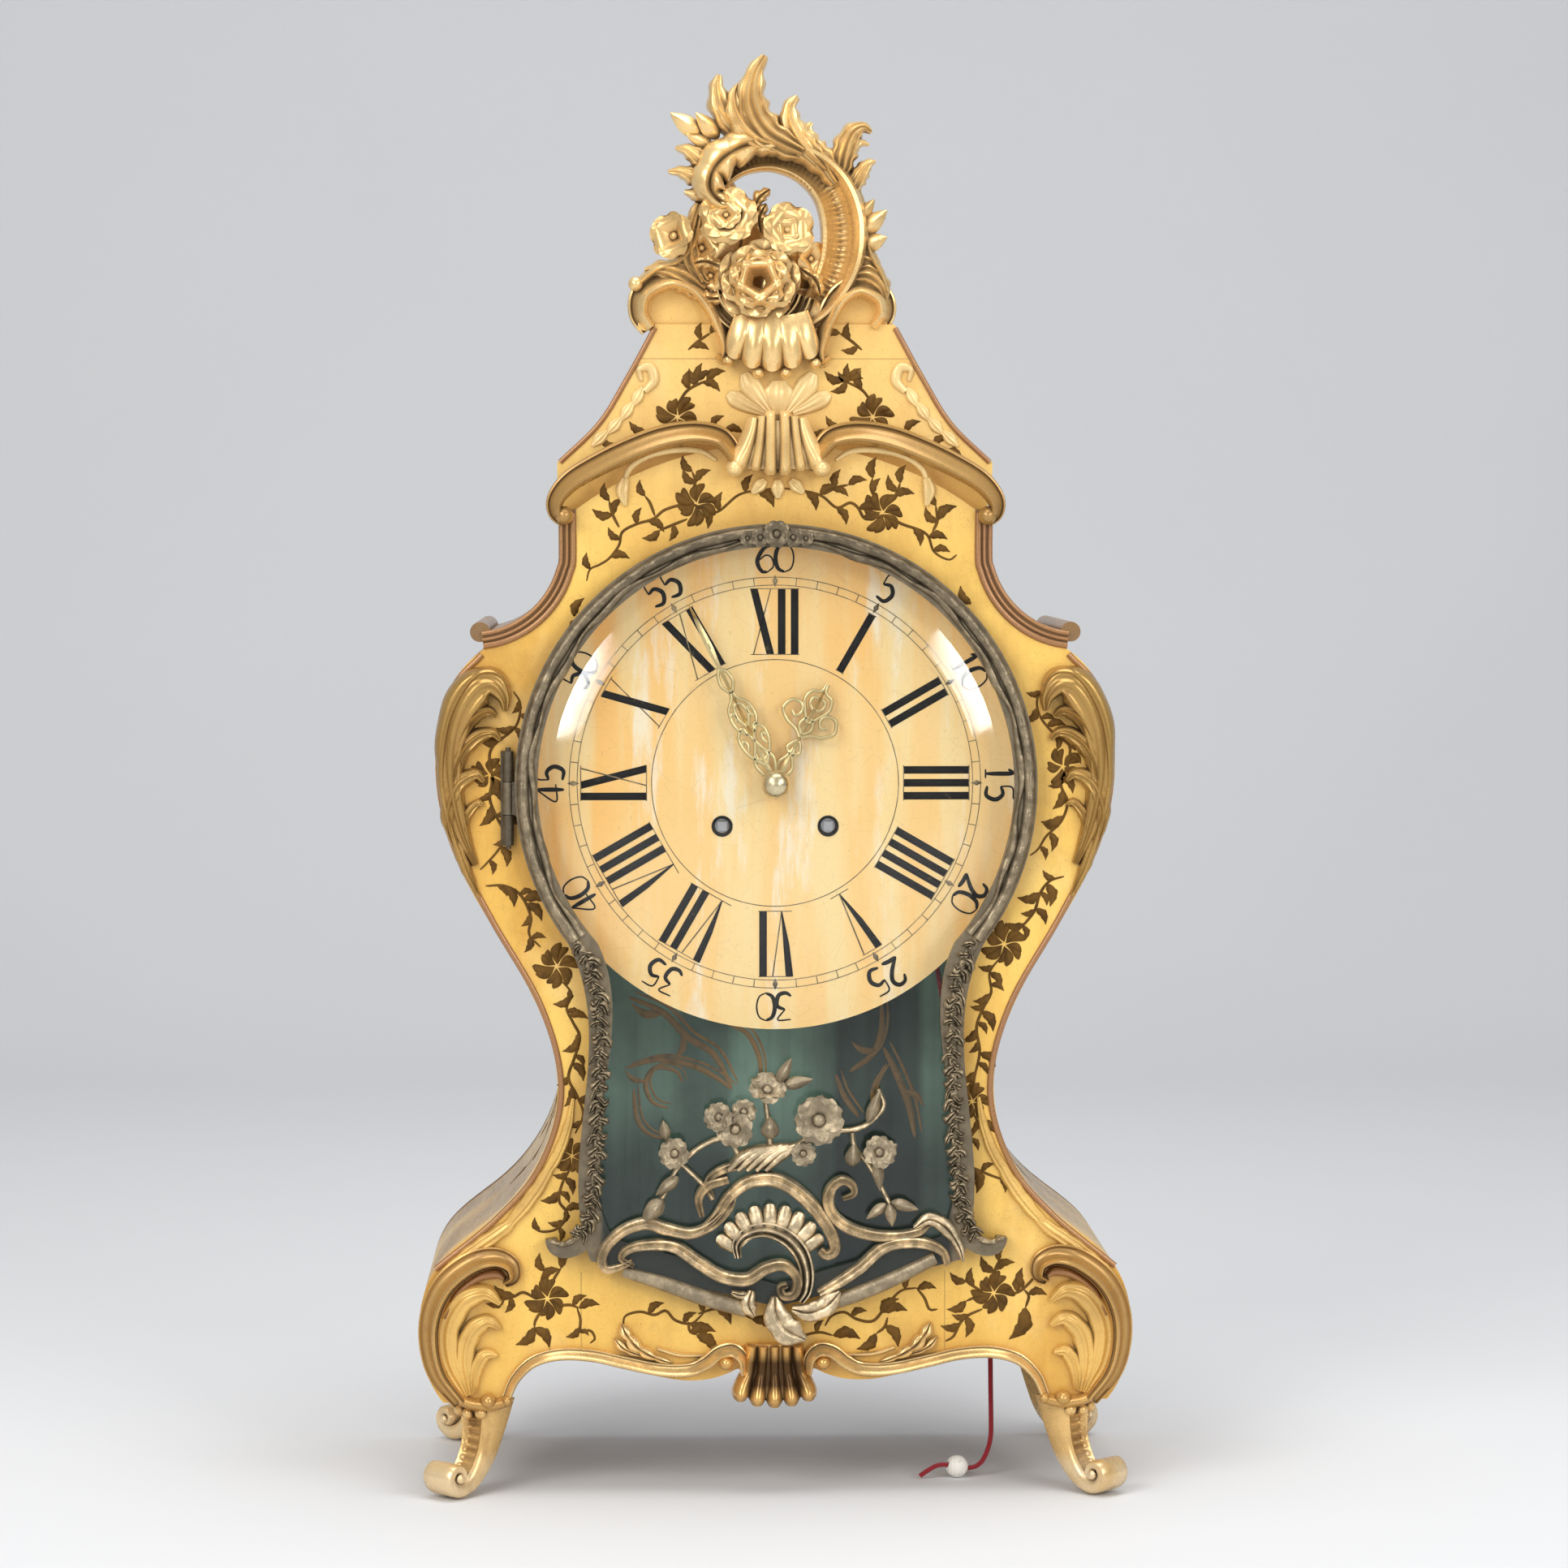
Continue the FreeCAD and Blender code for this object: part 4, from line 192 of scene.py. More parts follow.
class Carving:
    """Lofts of ringed points gathered into one closed piece."""

    def __init__(self, name):
        self.name = name
        self.lofts = []

    def loft(self, rings):
        """One closed form from rings of points, in millimetres."""
        rings = np.asarray(rings, float)
        start = np.broadcast_to(rings[0].mean(0), rings[:1].shape)
        end = np.broadcast_to(rings[-1].mean(0), rings[:1].shape)
        rings = np.concatenate([start, rings, end])
        self.lofts.append(np.concatenate([rings, rings[:, :1]], axis=1))

    def strip(self, spine, across, up, wide, high, section, ripple=None):
        """A section carried along a spine with its own width and height at each place."""
        a = np.array([p[0] for p in section])
        h = np.array([p[1] for p in section])
        wide = np.asarray(wide, float)[:, None]
        high = np.asarray(high, float)[:, None]
        side = wide * a[None]
        rise = high * h[None]
        if ripple is not None:
            rise = rise + ripple(np.linspace(0, 1, len(spine))[:, None], a[None], h[None])
        self.loft(
            spine[:, None]
            + across[:, None] * side[..., None]
            + np.broadcast_to(up, spine.shape)[:, None] * rise[..., None]
        )

    def lay_out(self, rows, base, least, pitch):
        """A smooth line along rows, with its spine, its tangent and the direction across it."""
        rows = [tuple(r) + (base,) if len(r) == 4 else tuple(r) for r in rows]
        span = np.linalg.norm(np.diff(np.array(rows)[:, :2], axis=0), axis=1).sum()
        line = smooth(rows, max(least, int(span / pitch)))
        flat = unit(np.gradient(line[:, :2], axis=0))
        level = np.zeros(len(line))
        spine = np.stack([line[:, 0], line[:, 4], line[:, 1]], 1)
        tangent = np.stack([flat[:, 0], level, flat[:, 1]], 1)
        across = np.stack([flat[:, 1], level, -flat[:, 0]], 1)
        return line, spine, tangent, across

    def band(self, rows, section=ROUND, base=FACE, pitch=1.6, ripple=None):
        """A scroll on the front: rows of x, z, half width, relief and, if given, depth."""
        line, spine, _, across = self.lay_out(rows, base, 8, pitch)
        self.strip(spine, across, OUT, line[:, 2], line[:, 3], section, ripple)

    def leaf(self, rows, lobes=5, sides=(1, 1), base=FACE, lean=0.55, depth=0.42, veins=0.3, back=0.25):
        """An acanthus leaf along rows of x, z, half width, relief and, if given, depth."""
        line, spine, tangent, across = self.lay_out(rows, base, 14, 0.9)
        shape = (lobes, sides, lean, depth, veins, back)
        self.blade(spine, tangent, across, OUT, line[:, 2], line[:, 3], *shape)

    def blade(self, spine, tangent, across, up, wide, high, lobes, sides, lean, depth, veins, back):
        """A lobed, veined blade; the lobes lean towards the tip."""
        count = len(spine)
        v = np.linspace(0, 1, count)[:, None]
        a = np.linspace(-1, 1, 17)[None]
        turn = (v * lobes) % 1.0
        swell = np.sin(np.pi * turn**0.75)
        side = np.where(a < 0, sides[0], sides[1])
        edge = 1 - depth * side * (1 - swell) * np.abs(a) ** 1.5
        reach = a * edge * wide[:, None]
        forward = lean * side * np.abs(a) ** 1.6 * wide[:, None] * (0.35 + 0.65 * swell)
        crown = 0.35 + 0.65 * (1 - a**2) ** 0.6
        groove = 0.3 * np.exp(-((a / 0.13) ** 2))
        flute = veins * side * np.abs(a) ** 0.7 * (swell - 0.55)
        rise = high[:, None] * (crown - groove + flute * (0.4 + 0.6 * (1 - a**2)))
        up = np.broadcast_to(up, spine.shape)
        top = (
            spine[:, None]
            + across[:, None] * reach[..., None]
            + tangent[:, None] * forward[..., None]
            + up[:, None] * rise[..., None]
        )
        under = top[:, ::-1][:, 2:-2:4].copy()
        low = (rise[:, ::-1][:, 2:-2:4] + back * high[:, None])[..., None]
        under -= up[:, None] * low
        self.loft(np.concatenate([top, under], axis=1))

    def plume(self, rows, reeds=3, base=FACE, frill=0.0, back=0.6):
        """A striated lobe of acanthus along rows of x, z, half width, relief and, if given, depth."""
        line, spine, _, across = self.lay_out(rows, base, 14, 1.1)
        v = np.linspace(0, 1, len(line))[:, None]
        a = np.linspace(-1, 1, 6 * reeds + 3)[None]
        waver = 1 + frill * np.sin(2 * np.pi * 5 * v + 2 * np.sign(a)) * np.abs(a)
        reach = a * line[:, 2:3] * waver
        crown = 0.3 + 0.7 * (1 - a**2) ** 0.55
        flute = 0.15 * np.cos(np.pi * reeds * (a + 1)) * (1 - 0.6 * v)
        rise = line[:, 3:4] * (crown - flute)
        top = spine[:, None] + across[:, None] * reach[..., None] + OUT * rise[..., None]
        under = top[:, ::-1][:, 1:-1:3].copy()
        low = rise[:, ::-1][:, 1:-1:3] + back * line[:, 3:4]
        under = under - OUT * low[..., None]
        self.loft(np.concatenate([top, under], axis=1))

    def ball(self, centre, size, up=OUT, squash=1.0):
        """A bead or bud, flattened along up."""
        centre = np.asarray(centre, float)
        e1, e2 = plane(up)
        rings = []
        for lat in np.linspace(-82, 82, 9):
            c, s = math.cos(math.radians(lat)), math.sin(math.radians(lat))
            ring = [
                centre
                + size * c * (math.cos(t) * e1 + math.sin(t) * e2)
                + size * squash * s * np.asarray(up, float)
                for t in np.linspace(0, 2 * math.pi, 14, endpoint=False)
            ]
            rings.append(ring)
        self.loft(rings)

    def bud(self, start, end, size):
        """A pointed bud with scored sides between two points."""
        start, end = np.asarray(start, float), np.asarray(end, float)
        axis = unit(end - start)
        e1, e2 = plane(axis)
        rings = []
        for s in np.linspace(0.02, 0.98, 12):
            r = size * (math.sin(math.pi * s**0.8) ** 0.8) * (1 - 0.25 * s)
            rings.append(
                [
                    start
                    + (end - start) * s
                    + r * (1 + 0.12 * math.cos(4 * t)) * (math.cos(t) * e1 + math.sin(t) * e2)
                    for t in np.linspace(0, 2 * math.pi, 16, endpoint=False)
                ]
            )
        self.loft(rings)

    def bloom(self, centre, radius, petals=5, up=OUT, cup=0.35, turn=0.0, heart=0.3, wide=0.62, inner=0.12):
        """An open flower: cupped petals round a heart."""
        centre = np.asarray(centre, float)
        e1, e2 = plane(up)
        s = np.linspace(0, 1, 12)
        for k in range(petals):
            angle = math.radians(turn) + 2 * math.pi * k / petals
            out = math.cos(angle) * e1 + math.sin(angle) * e2
            reach = radius * (inner + (1 - inner) * s)
            lift = radius * cup * (np.sin(s * 2.2) - 0.25 * s**3)
            spine = centre + out * reach[:, None] + np.asarray(up) * lift[:, None]
            tangent = unit(np.gradient(spine, axis=0))
            across = np.broadcast_to(np.cross(out, up), spine.shape)
            above = unit(np.cross(across, tangent))
            above = above * np.sign((above * np.asarray(up)).sum(1, keepdims=True) + 1e-9)
            notch = 1 - 0.3 * np.exp(-(((s - 1) / 0.07) ** 2))
            width = radius * wide * np.sin(np.pi * (0.1 + 0.76 * s)) ** 0.75 * notch
            self.strip(spine, across, above, width, np.full(12, radius * 0.2), PETAL)
        if heart:
            self.ball(centre + np.asarray(up) * radius * 0.18, radius * heart, up, 0.8)

    def fan(
        self, centre, inner, outer, span, ribs, relief,
        base=FACE, cup=0.3, scallop=0.06, swell=1.0, broad=0.35,
    ):
        """A fluted shell: span gives its two edge angles in degrees."""
        count = ribs * 10 + 1
        rings = []
        for i in range(count):
            s = i / (count - 1)
            angle = math.radians(span[0] + (span[1] - span[0]) * s)
            wave = abs(math.sin(math.pi * ribs * s)) ** broad
            far = outer * (1 - scallop + scallop * wave) * (1 - 0.08 * (2 * s - 1) ** 2)
            side = math.sqrt(max(0.05, 1 - (0.82 * (2 * s - 1)) ** 2))
            ring = []
            for q in np.linspace(0, 1, 9):
                r = inner + (far - inner) * q
                h = relief * side * (0.45 + 0.55 * math.sin(math.pi * (0.1 + 0.8 * q)) ** swell)
                h -= relief * cup * (1 - wave) * (0.35 + 0.65 * q)
                ring.append((r, h))
            ring += [(far, -1.0), (inner, -1.0)]
            ring = [
                (centre[0] + r * math.cos(angle), base - h, centre[1] + r * math.sin(angle)) for r, h in ring
            ]
            rings.append(ring)
        self.loft(rings)

    def build(self, finish, body="case", replaces=(), slot=None, angle=48, turn=None):
        """Grids for every loft, placed, merged along their seams and shaded."""
        places = np.concatenate([rings.reshape(-1, 3) for rings in self.lofts]) * MM
        if turn is not None:
            places = turn(places)
        piece = mesh_of(self.name, [rings.shape[:2] for rings in self.lofts], places)
        return finished(piece, finish, body, replaces, angle)


def mesh_of(name, shapes, places):
    """A mesh of grids, each of rows by columns of points, with the points moved to their places."""
    bpy.ops.object.select_all(action="DESELECT")
    piece = None
    for rows, columns in shapes:
        bpy.ops.mesh.primitive_grid_add(x_subdivisions=columns - 1, y_subdivisions=rows - 1, size=1)
        if piece is None:
            piece = bpy.context.object
            bpy.ops.object.mode_set(mode="EDIT")
    bpy.ops.object.mode_set(mode="OBJECT")
    piece.name = name
    piece.data.name = name
    if len(places) != len(piece.data.vertices):
        raise RuntimeError(f"{name}: {len(piece.data.vertices)} points for {len(places)} places")
    piece.data.vertices.foreach_set("co", places.ravel())
    return piece


def finished(piece, finish, body, replaces=(), angle=48, merge=1e-7):
    """Merges seams, turns faces outwards, shades, and gives the piece its finish and body."""
    bpy.ops.object.select_all(action="DESELECT")
    piece.select_set(True)
    bpy.context.view_layer.objects.active = piece
    bpy.ops.object.mode_set(mode="EDIT")
    bpy.ops.mesh.select_all(action="SELECT")
    bpy.ops.mesh.remove_doubles(threshold=merge)
    bpy.ops.mesh.normals_make_consistent(inside=False)
    bpy.ops.object.mode_set(mode="OBJECT")
    bpy.ops.object.shade_smooth_by_angle(angle=math.radians(angle))
    piece.data.materials.clear()
    piece.data.materials.append(finish)
    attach(piece, body)
    if replaces:
        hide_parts(*replaces)
    return piece


def plane(up):
    """Two unit vectors square to up."""
    up = unit(up)
    other = np.array((0.0, 0.0, 1.0)) if abs(up[2]) < 0.8 else np.array((1.0, 0.0, 0.0))
    e1 = unit(np.cross(up, other))
    return e1, np.cross(up, e1)


class Paint:
    """Flat strokes and shapes laid on a surface, gathered into one thin piece."""

    # Each stroke is lifted a step more than the last, over and over, so that none share a plane.
    first_lift = 0.05
    lift_step = 0.007
    lift_steps = 23

    def __init__(self, name, lay):
        self.name = name
        self.lay = lay
        self.strokes = []
        self.level = 0

    def line(self, points, half=0.62, pitch=1.5, taper=0.35):
        """A brush line through points, thinner at its ends."""
        raw = np.array(points, float)
        span = np.linalg.norm(np.diff(raw, axis=0), axis=1).sum()
        line = smooth(points, max(5, int(span / pitch)))
        tangent = unit(np.gradient(line, axis=0))
        normal = np.stack([tangent[:, 1], -tangent[:, 0]], 1)
        s = np.linspace(0, 1, len(line))
        w = half * (taper + (1 - taper) * np.sin(np.pi * s) ** 0.4)
        self.shape(line + normal * w[:, None], line - normal * w[:, None])

    def shape(self, left, right):
        """A filled shape between two edges with the same number of points."""
        lift = self.first_lift + self.lift_step * (self.level % self.lift_steps)
        self.level += 1
        self.strokes.append((np.asarray(left, float), np.asarray(right, float), lift))

    def leaf(self, x, z, angle, size, fat=0.225, teeth=3, blunt=False):
        """A pointed, toothed leaf from its root at x, z, leaning a little."""
        a = math.radians(angle)
        along = np.array((math.cos(a), math.sin(a)))
        normal = np.array((-along[1], along[0]))
        s = np.linspace(0, 1, 13)
        bow = 0.16 * size * np.sin(np.pi * s)
        w = size * fat * (np.sin(np.pi * s**1.5) ** 0.6 if blunt else np.sin(np.pi * s**0.72) ** 0.9)
        jag = 0.32 * (0.5 - (s * teeth) % 1.0) if teeth else 0 * s
        other = 0.32 * (0.5 - (s * teeth + 0.45) % 1.0) if teeth else 0 * s
        mid = np.array((x, z)) + along * (s * size)[:, None] + normal * bow[:, None]
        left = mid + normal * (w * (1 + jag))[:, None]
        right = mid - normal * (0.85 * w * (1 + other))[:, None]
        self.shape(left, right)

    def flower(self, x, z, size, petals=5, turn=0.0):
        """An open painted flower; each petal is two lobes with a notch between."""
        for k in range(petals):
            a = turn + 360.0 * k / petals
            root = 0.1 * size
            for lobe in (-12, 12):
                self.leaf(
                    x + root * math.cos(math.radians(a)),
                    z + root * math.sin(math.radians(a)),
                    a + lobe,
                    size * (0.95 + 0.14 * math.sin(k * 2.4 + lobe)),
                    0.24,
                    0,
                    True,
                )

    def sprig(self, points, leaves=(), half=0.8):
        """A stem with leaves at shares of its length: (share, side, length)."""
        self.line(points, half)
        line = smooth(points, 60)
        tangent = unit(np.gradient(line, axis=0))
        for share, side, size in leaves:
            i = min(59, int(share * 59))
            angle = math.degrees(math.atan2(tangent[i, 1], tangent[i, 0])) + 52 * side
            self.leaf(line[i, 0], line[i, 1], angle, 1.2 * size)

    def build(self, finish, body="case", slot=None):
        """Strips for every stroke, made into thin solids."""
        rows = []
        for left, right, lift in self.strokes:
            rows += [self.lay(left, lift), self.lay(right, lift)]
        shapes = [(2, len(left)) for left, _, _ in self.strokes]
        piece = mesh_of(self.name, shapes, np.concatenate(rows) * MM)
        piece = finished(piece, finish, body, (), 40)
        thick = piece.modifiers.new("thickness", "SOLIDIFY")
        thick.thickness = sizes().paint
        thick.offset = 0
        bpy.ops.object.modifier_apply(modifier="thickness")
        return piece


def on_plane(depth):
    """Lays x, z points on an upright plane, a little in front of it."""
    return lambda p, lift: np.stack([p[:, 0], np.full(len(p), depth - lift), p[:, 1]], 1)


# Finishes.


FINISHES = {}


class Tone:
    """A socket of a finish; sums and products of tones add nodes."""

    def __init__(self, finish, socket):
        self.finish = finish
        self.socket = socket

    def _with(self, operation, left, right):
        return self.finish.tone("ShaderNodeMath", {"operation": operation}, {0: left, 1: right})

    def __add__(self, other):
        return self._with("ADD", self, other)

    __radd__ = __add__

    def __mul__(self, other):
        return self._with("MULTIPLY", self, other)

    __rmul__ = __mul__

    def __sub__(self, other):
        return self._with("SUBTRACT", self, other)

    def __rsub__(self, other):
        return self._with("SUBTRACT", other, self)

    def __pow__(self, other):
        return self._with("POWER", self, other)

    def __lt__(self, other):
        return self._with("LESS_THAN", self, other)


class Finish:
    """A material with one shader, its constants set on the shader's sockets."""

    def __init__(self, name, **constants):
        FINISHES[name] = self
        self.material = bpy.data.materials.new(name)
        self.material.use_nodes = True
        self.tree = self.material.node_tree
        self.tree.nodes.clear()
        named = {key.replace("_", " ").title().replace("Ior", "IOR"): v for key, v in constants.items()}
        self.shader = self.make("ShaderNodeBsdfPrincipled", {}, named)
        self.ending = self.make(
            "ShaderNodeOutputMaterial", {}, {"Surface": Tone(self, self.shader.outputs[0])}
        )
        self.where = self.tone("ShaderNodeTexCoord", {}, {}, "Object")

    def make(self, kind, settings, inputs):
        """A node of a kind, its settings first and then the values or links of its sockets."""
        node = self.tree.nodes.new(kind)
        for key, value in settings.items():
            setattr(node, key, value)
        for key, value in inputs.items():
            self.put(node.inputs[key], value)
        return node

    def put(self, socket, value):
        if isinstance(value, Tone):
            self.tree.links.new(value.socket, socket)
        elif socket.type == "RGBA" and len(value) == 3:
            socket.default_value = tuple(value) + (1,)
        else:
            socket.default_value = value

    def set(self, **inputs):
        for key, value in inputs.items():
            self.put(self.shader.inputs[key.replace("_", " ").title()], value)
        return self

    def tone(self, kind, settings, inputs, output=0):
        """An output of a new node, as a tone."""
        return Tone(self, self.make(kind, settings, inputs).outputs[output])

    def stretch(self, scale):
        return self.tone("ShaderNodeMapping", {}, {"Vector": self.where, "Scale": scale})

    def noise(self, scale, detail=3.0, rough=0.55, where=None):
        inputs = {"Vector": where or self.where, "Scale": scale, "Detail": detail, "Roughness": rough}
        return self.tone("ShaderNodeTexNoise", {}, inputs)

    def cells(self, scale, where=None):
        """Distance from the edges of cells."""
        inputs = {"Vector": where or self.where, "Scale": scale}
        return self.tone("ShaderNodeTexVoronoi", {"feature": "DISTANCE_TO_EDGE"}, inputs)

    def wave(self, scale, distortion=0.0, direction="X", where=None):
        inputs = {"Vector": where or self.where, "Scale": scale, "Distortion": distortion, "Detail": 2.0}
        return self.tone("ShaderNodeTexWave", {"bands_direction": direction}, inputs, "Fac")

    def span(self, value, low, high):
        """0 on low's side, 1 on high's side, smooth between."""
        inputs = {"Value": value, "From Min": low, "From Max": high}
        return self.tone("ShaderNodeMapRange", {"interpolation_type": "SMOOTHSTEP"}, inputs)

    def mix(self, share, first, second):
        return self.tone("ShaderNodeMix", {"data_type": "RGBA"}, {0: share, 6: first, 7: second}, 2)

    def hollow(self, distance, samples=12, alone=True):
        """How open the surface is: 1 on ridges, 0 in hollows, of the same piece or of all."""
        settings = {"only_local": alone, "samples": samples}
        return self.tone("ShaderNodeAmbientOcclusion", settings, {"Distance": distance}, "AO")

    def axis(self, letter):
        return self.tone("ShaderNodeSeparateXYZ", {}, {0: self.where}, "XYZ".index(letter))

    def line_at(self, letter, place, half=0.0004):
        """1 on a fine line square to an axis."""
        return self.tone("ShaderNodeMath", {"operation": "ABSOLUTE"}, {0: self.axis(letter) - place}) < half

    def facing(self, letter):
        normal = self.tone("ShaderNodeNewGeometry", {}, {}, "True Normal")
        return self.tone("ShaderNodeSeparateXYZ", {}, {0: normal}, "XYZ".index(letter))

    def over(self, share, shade):
        """Lays a shade over the colour that the finish has already."""
        base = Tone(self, self.shader.inputs["Base Color"].links[0].from_socket)
        return self.set(base_color=self.mix(share, base, shade))

    def bump(self, height, depth, strength):
        inputs = {"Height": height, "Distance": depth, "Strength": strength}
        self.put(self.shader.inputs["Normal"], self.tone("ShaderNodeBump", {}, inputs))


def finish_named(name):
    return FINISHES[name].material


def lacquer(name):
    """Yellow japanning: browned in broad clouds, finely crackled, rubbed in places; painted shade beside
    carvings and towards the bottom.
    """
    c = tints()
    f = Finish(name, coat_roughness=0.22, specular_ior_level=0.45)
    clouds = f.noise(9, 4)
    broad = f.span(clouds, 0.36, 0.66)
    streak = f.span(f.noise(60, 5, 0.65, f.stretch((1, 1, 0.25))), 0.4, 0.7)
    stain = f.span(f.noise(24, 5, 0.6), 0.5, 0.72)
    crack = f.span(f.cells(1 / sizes().crackle, where=f.stretch((1, 1, 0.6))), 0.0, 0.035)
    fine = f.span(f.noise(420, 2), 0.35, 0.7)
    tone = f.mix(broad * 0.55 + streak * 0.3, c.lacquer, c.lacquer_dark)
    tone = f.mix(stain * 0.3, tone, (0.36, 0.18, 0.035))
    # Paler in broad clouds and towards the top.
    paler = f.span(f.noise(13, 4, 0.6), 0.52, 0.7) * 0.3 + f.span(f.axis("Z"), 0.50, 0.60) * 0.35
    tone = f.mix(paler, tone, (0.92, 0.68, 0.30))
    # Painted shade: darker towards the bottom of the base.
    tone = f.mix(f.span(f.axis("Z"), 0.17, 0.06) * 0.2, tone, c.lacquer_dark)
    tone = f.mix((1 - crack) * 0.1, tone, c.soil_and_shade)
    specks = f.span(f.noise(900, 1), 0.7, 0.78)
    tone = f.mix(specks * 0.35, tone, c.soil_and_shade)
    # Painted shade next to carvings and mouldings, found by AO over all pieces.
    beside_shade = 1 - f.span(f.hollow(0.014, 6, False), 0.45, 0.98)
    tone = f.mix(beside_shade * 0.34, tone, (0.36, 0.17, 0.03))
    low = f.axis("Z") < 0.125
    joints = f.line_at("X", -0.1083) * low + f.line_at("X", 0.094) * low + f.line_at("Z", 0.631)
    tone = f.mix(joints * 0.4, tone, (0.20, 0.10, 0.03))
    f.set(base_color=tone, roughness=0.3 + 0.22 * fine, coat_weight=0.35 - 0.25 * broad)
    f.bump(crack * 0.35 + fine * 0.4, 0.0002, 0.4)


def gilding(name, wear=0.5, gap=0.006, gold=None, metal=0.85, soil_and_shade=0.85):
    """Leaf over red bole: rubbed on the ridges; soiled and given painted shade in the hollows."""
    c = tints()
    f = Finish(name, specular_ior_level=0.5)
    open_ = f.hollow(gap)
    hollow_dark = 1 - f.span(open_, 0.25, 0.9)
    patch = f.span(f.noise(55, 5, 0.6), 0.5 + 0.12 * (1 - wear), 0.7)
    fine = f.noise(320, 3)
    rub = f.span(f.noise(140, 4, 0.65), 0.56, 0.7)
    gold = gold or c.gilt
    deep = tuple(0.5 * v + 0.3 * d for v, d in zip(gold, c.gilt_deep))
    leaf = f.mix(f.span(f.noise(30, 3), 0.3, 0.75), gold, deep)
    bare = f.mix(fine, c.bole, (0.34, 0.17, 0.07))
    tone = f.mix(patch * 0.6 * wear + rub * 0.4 * wear, leaf, bare)
    # Hollows found by AO are darkened: part soil, part painted shade.
    tone = f.mix(hollow_dark * soil_and_shade, tone, c.soil_and_shade)
    f.set(
        base_color=tone,
        metallic=metal - 0.5 * metal * patch * wear - 0.5 * metal * hollow_dark,
        roughness=0.2 + 0.16 * fine + 0.3 * hollow_dark,
    )
    f.bump(fine * 0.3 + f.noise(70, 2), 0.0004, 0.16)


def bronze(name, bright=0.5, gap=0.005, shade=1.0, metal=0.7, shaded_sill=False):
    """Old gilt bronze: chased, patinated in the hollows, bright where it is rubbed; a shaded sill gets
    painted shade.
    """
    c = tints()
    f = Finish(name, specular_ior_level=0.5)
    open_ = f.hollow(gap)
    hollow_dark = 1 - f.span(open_, 0.3, 0.85)
    cloud = f.span(f.noise(120, 4, 0.65), 0.4, 0.66)
    fine = f.noise(600, 3)
    base = tuple(shade * v for v in c.bronze)
    worn = tuple(min(1.0, v * 2.1) for v in base)
    tone = f.mix(cloud * bright, base, worn)
    tone = f.mix(hollow_dark * 0.85, tone, c.bronze_dark)
    if shaded_sill:
        # Painted shade: the low middle of the sill plate is made near black, standing in for the dark inside
        # seen through the openwork.
        low = f.span(f.axis("Z"), 0.176, 0.166)
        middle = f.span(f.axis("X") * f.axis("X"), 0.0098, 0.0090)
        tone = f.mix(low * middle * 0.9, tone, (0.022, 0.03, 0.03))
    f.set(base_color=tone, metallic=metal - 0.3 * hollow_dark, roughness=0.28 + 0.2 * fine + 0.2 * hollow_dark)
    f.bump(fine + f.noise(220, 2), 0.0005, 0.5)


def metal(name, tone, dark, rough=0.3, scale=900, direction=(1, 1, 1), bump=0.00008):
    """Turned or filed metal with fine tool lines and tarnish."""
    f = Finish(name, specular_ior_level=0.5)
    tarnish = f.span(f.noise(45, 4), 0.4, 0.75)
    lines = f.noise(scale, 2, 0.5, f.stretch(direction))
    f.set(
        base_color=f.mix(tarnish * 0.6, tone, dark),
        metallic=1 - 0.3 * tarnish,
        roughness=rough + 0.18 * tarnish + 0.12 * lines,
    )
    f.bump(lines, bump, 0.5)


def wood(name, light, dark, scale=1.0, paint=None):
    """Straight-grained softwood; a paint function may cover some of its faces."""
    f = Finish(name, specular_ior_level=0.35)
    grain = f.noise(70 * scale, 5, 0.6, f.stretch((1, 1, 0.06)))
    rings = f.wave(60 * scale, 6, "X", f.stretch((1, 1, 0.08)))
    pores = f.noise(700, 2, 0.5, f.stretch((1, 1, 0.05)))
    tone = f.mix(grain * 0.6 + rings * 0.35, light, dark)
    tone = f.mix(f.span(pores, 0.58, 0.7) * 0.5, tone, tuple(0.5 * v for v in dark))
    if paint:
        tone = paint(f, tone)
    f.set(base_color=tone, roughness=0.55 + 0.2 * grain)
    f.bump(pores + grain, 0.0002, 0.5)


def old_teal(f):
    """Dull green paint, rubbed, with painted shade towards the floor and a dark upright band on the right.
    """
    c = tints()
    low = f.span(f.axis("Z"), 0.215, 0.145)
    shade = f.span(f.noise(26, 5), 0.35, 0.75)
    tone = f.mix(shade * 0.6, c.teal, tuple(0.45 * v for v in c.teal))
    boards = f.span(f.noise(30, 4, 0.6, f.stretch((1, 1, 0.05))), 0.42, 0.62)
    tone = f.mix(boards * 0.45, tone, (0.03, 0.05, 0.045))
    # Painted shade towards the floor.
    tone = f.mix(low * 0.72, tone, (0.022, 0.036, 0.038))
    # A dark upright band on the right of the wall.
    right = f.span(f.axis("X"), 0.036, 0.043) * f.span(f.axis("X"), 0.094, 0.087)
    tone = f.mix(right * 0.7, tone, (0.018, 0.028, 0.028))
    drips = f.span(f.noise(60, 5, 0.65, f.stretch((1, 1, 0.12))), 0.58, 0.72)
    tone = f.mix(drips * 0.35, tone, (0.05, 0.07, 0.062))
    rubbed = f.span(f.noise(48, 4, 0.7), 0.62, 0.74)
    return f.mix(rubbed * 0.3, tone, (0.36, 0.40, 0.33))


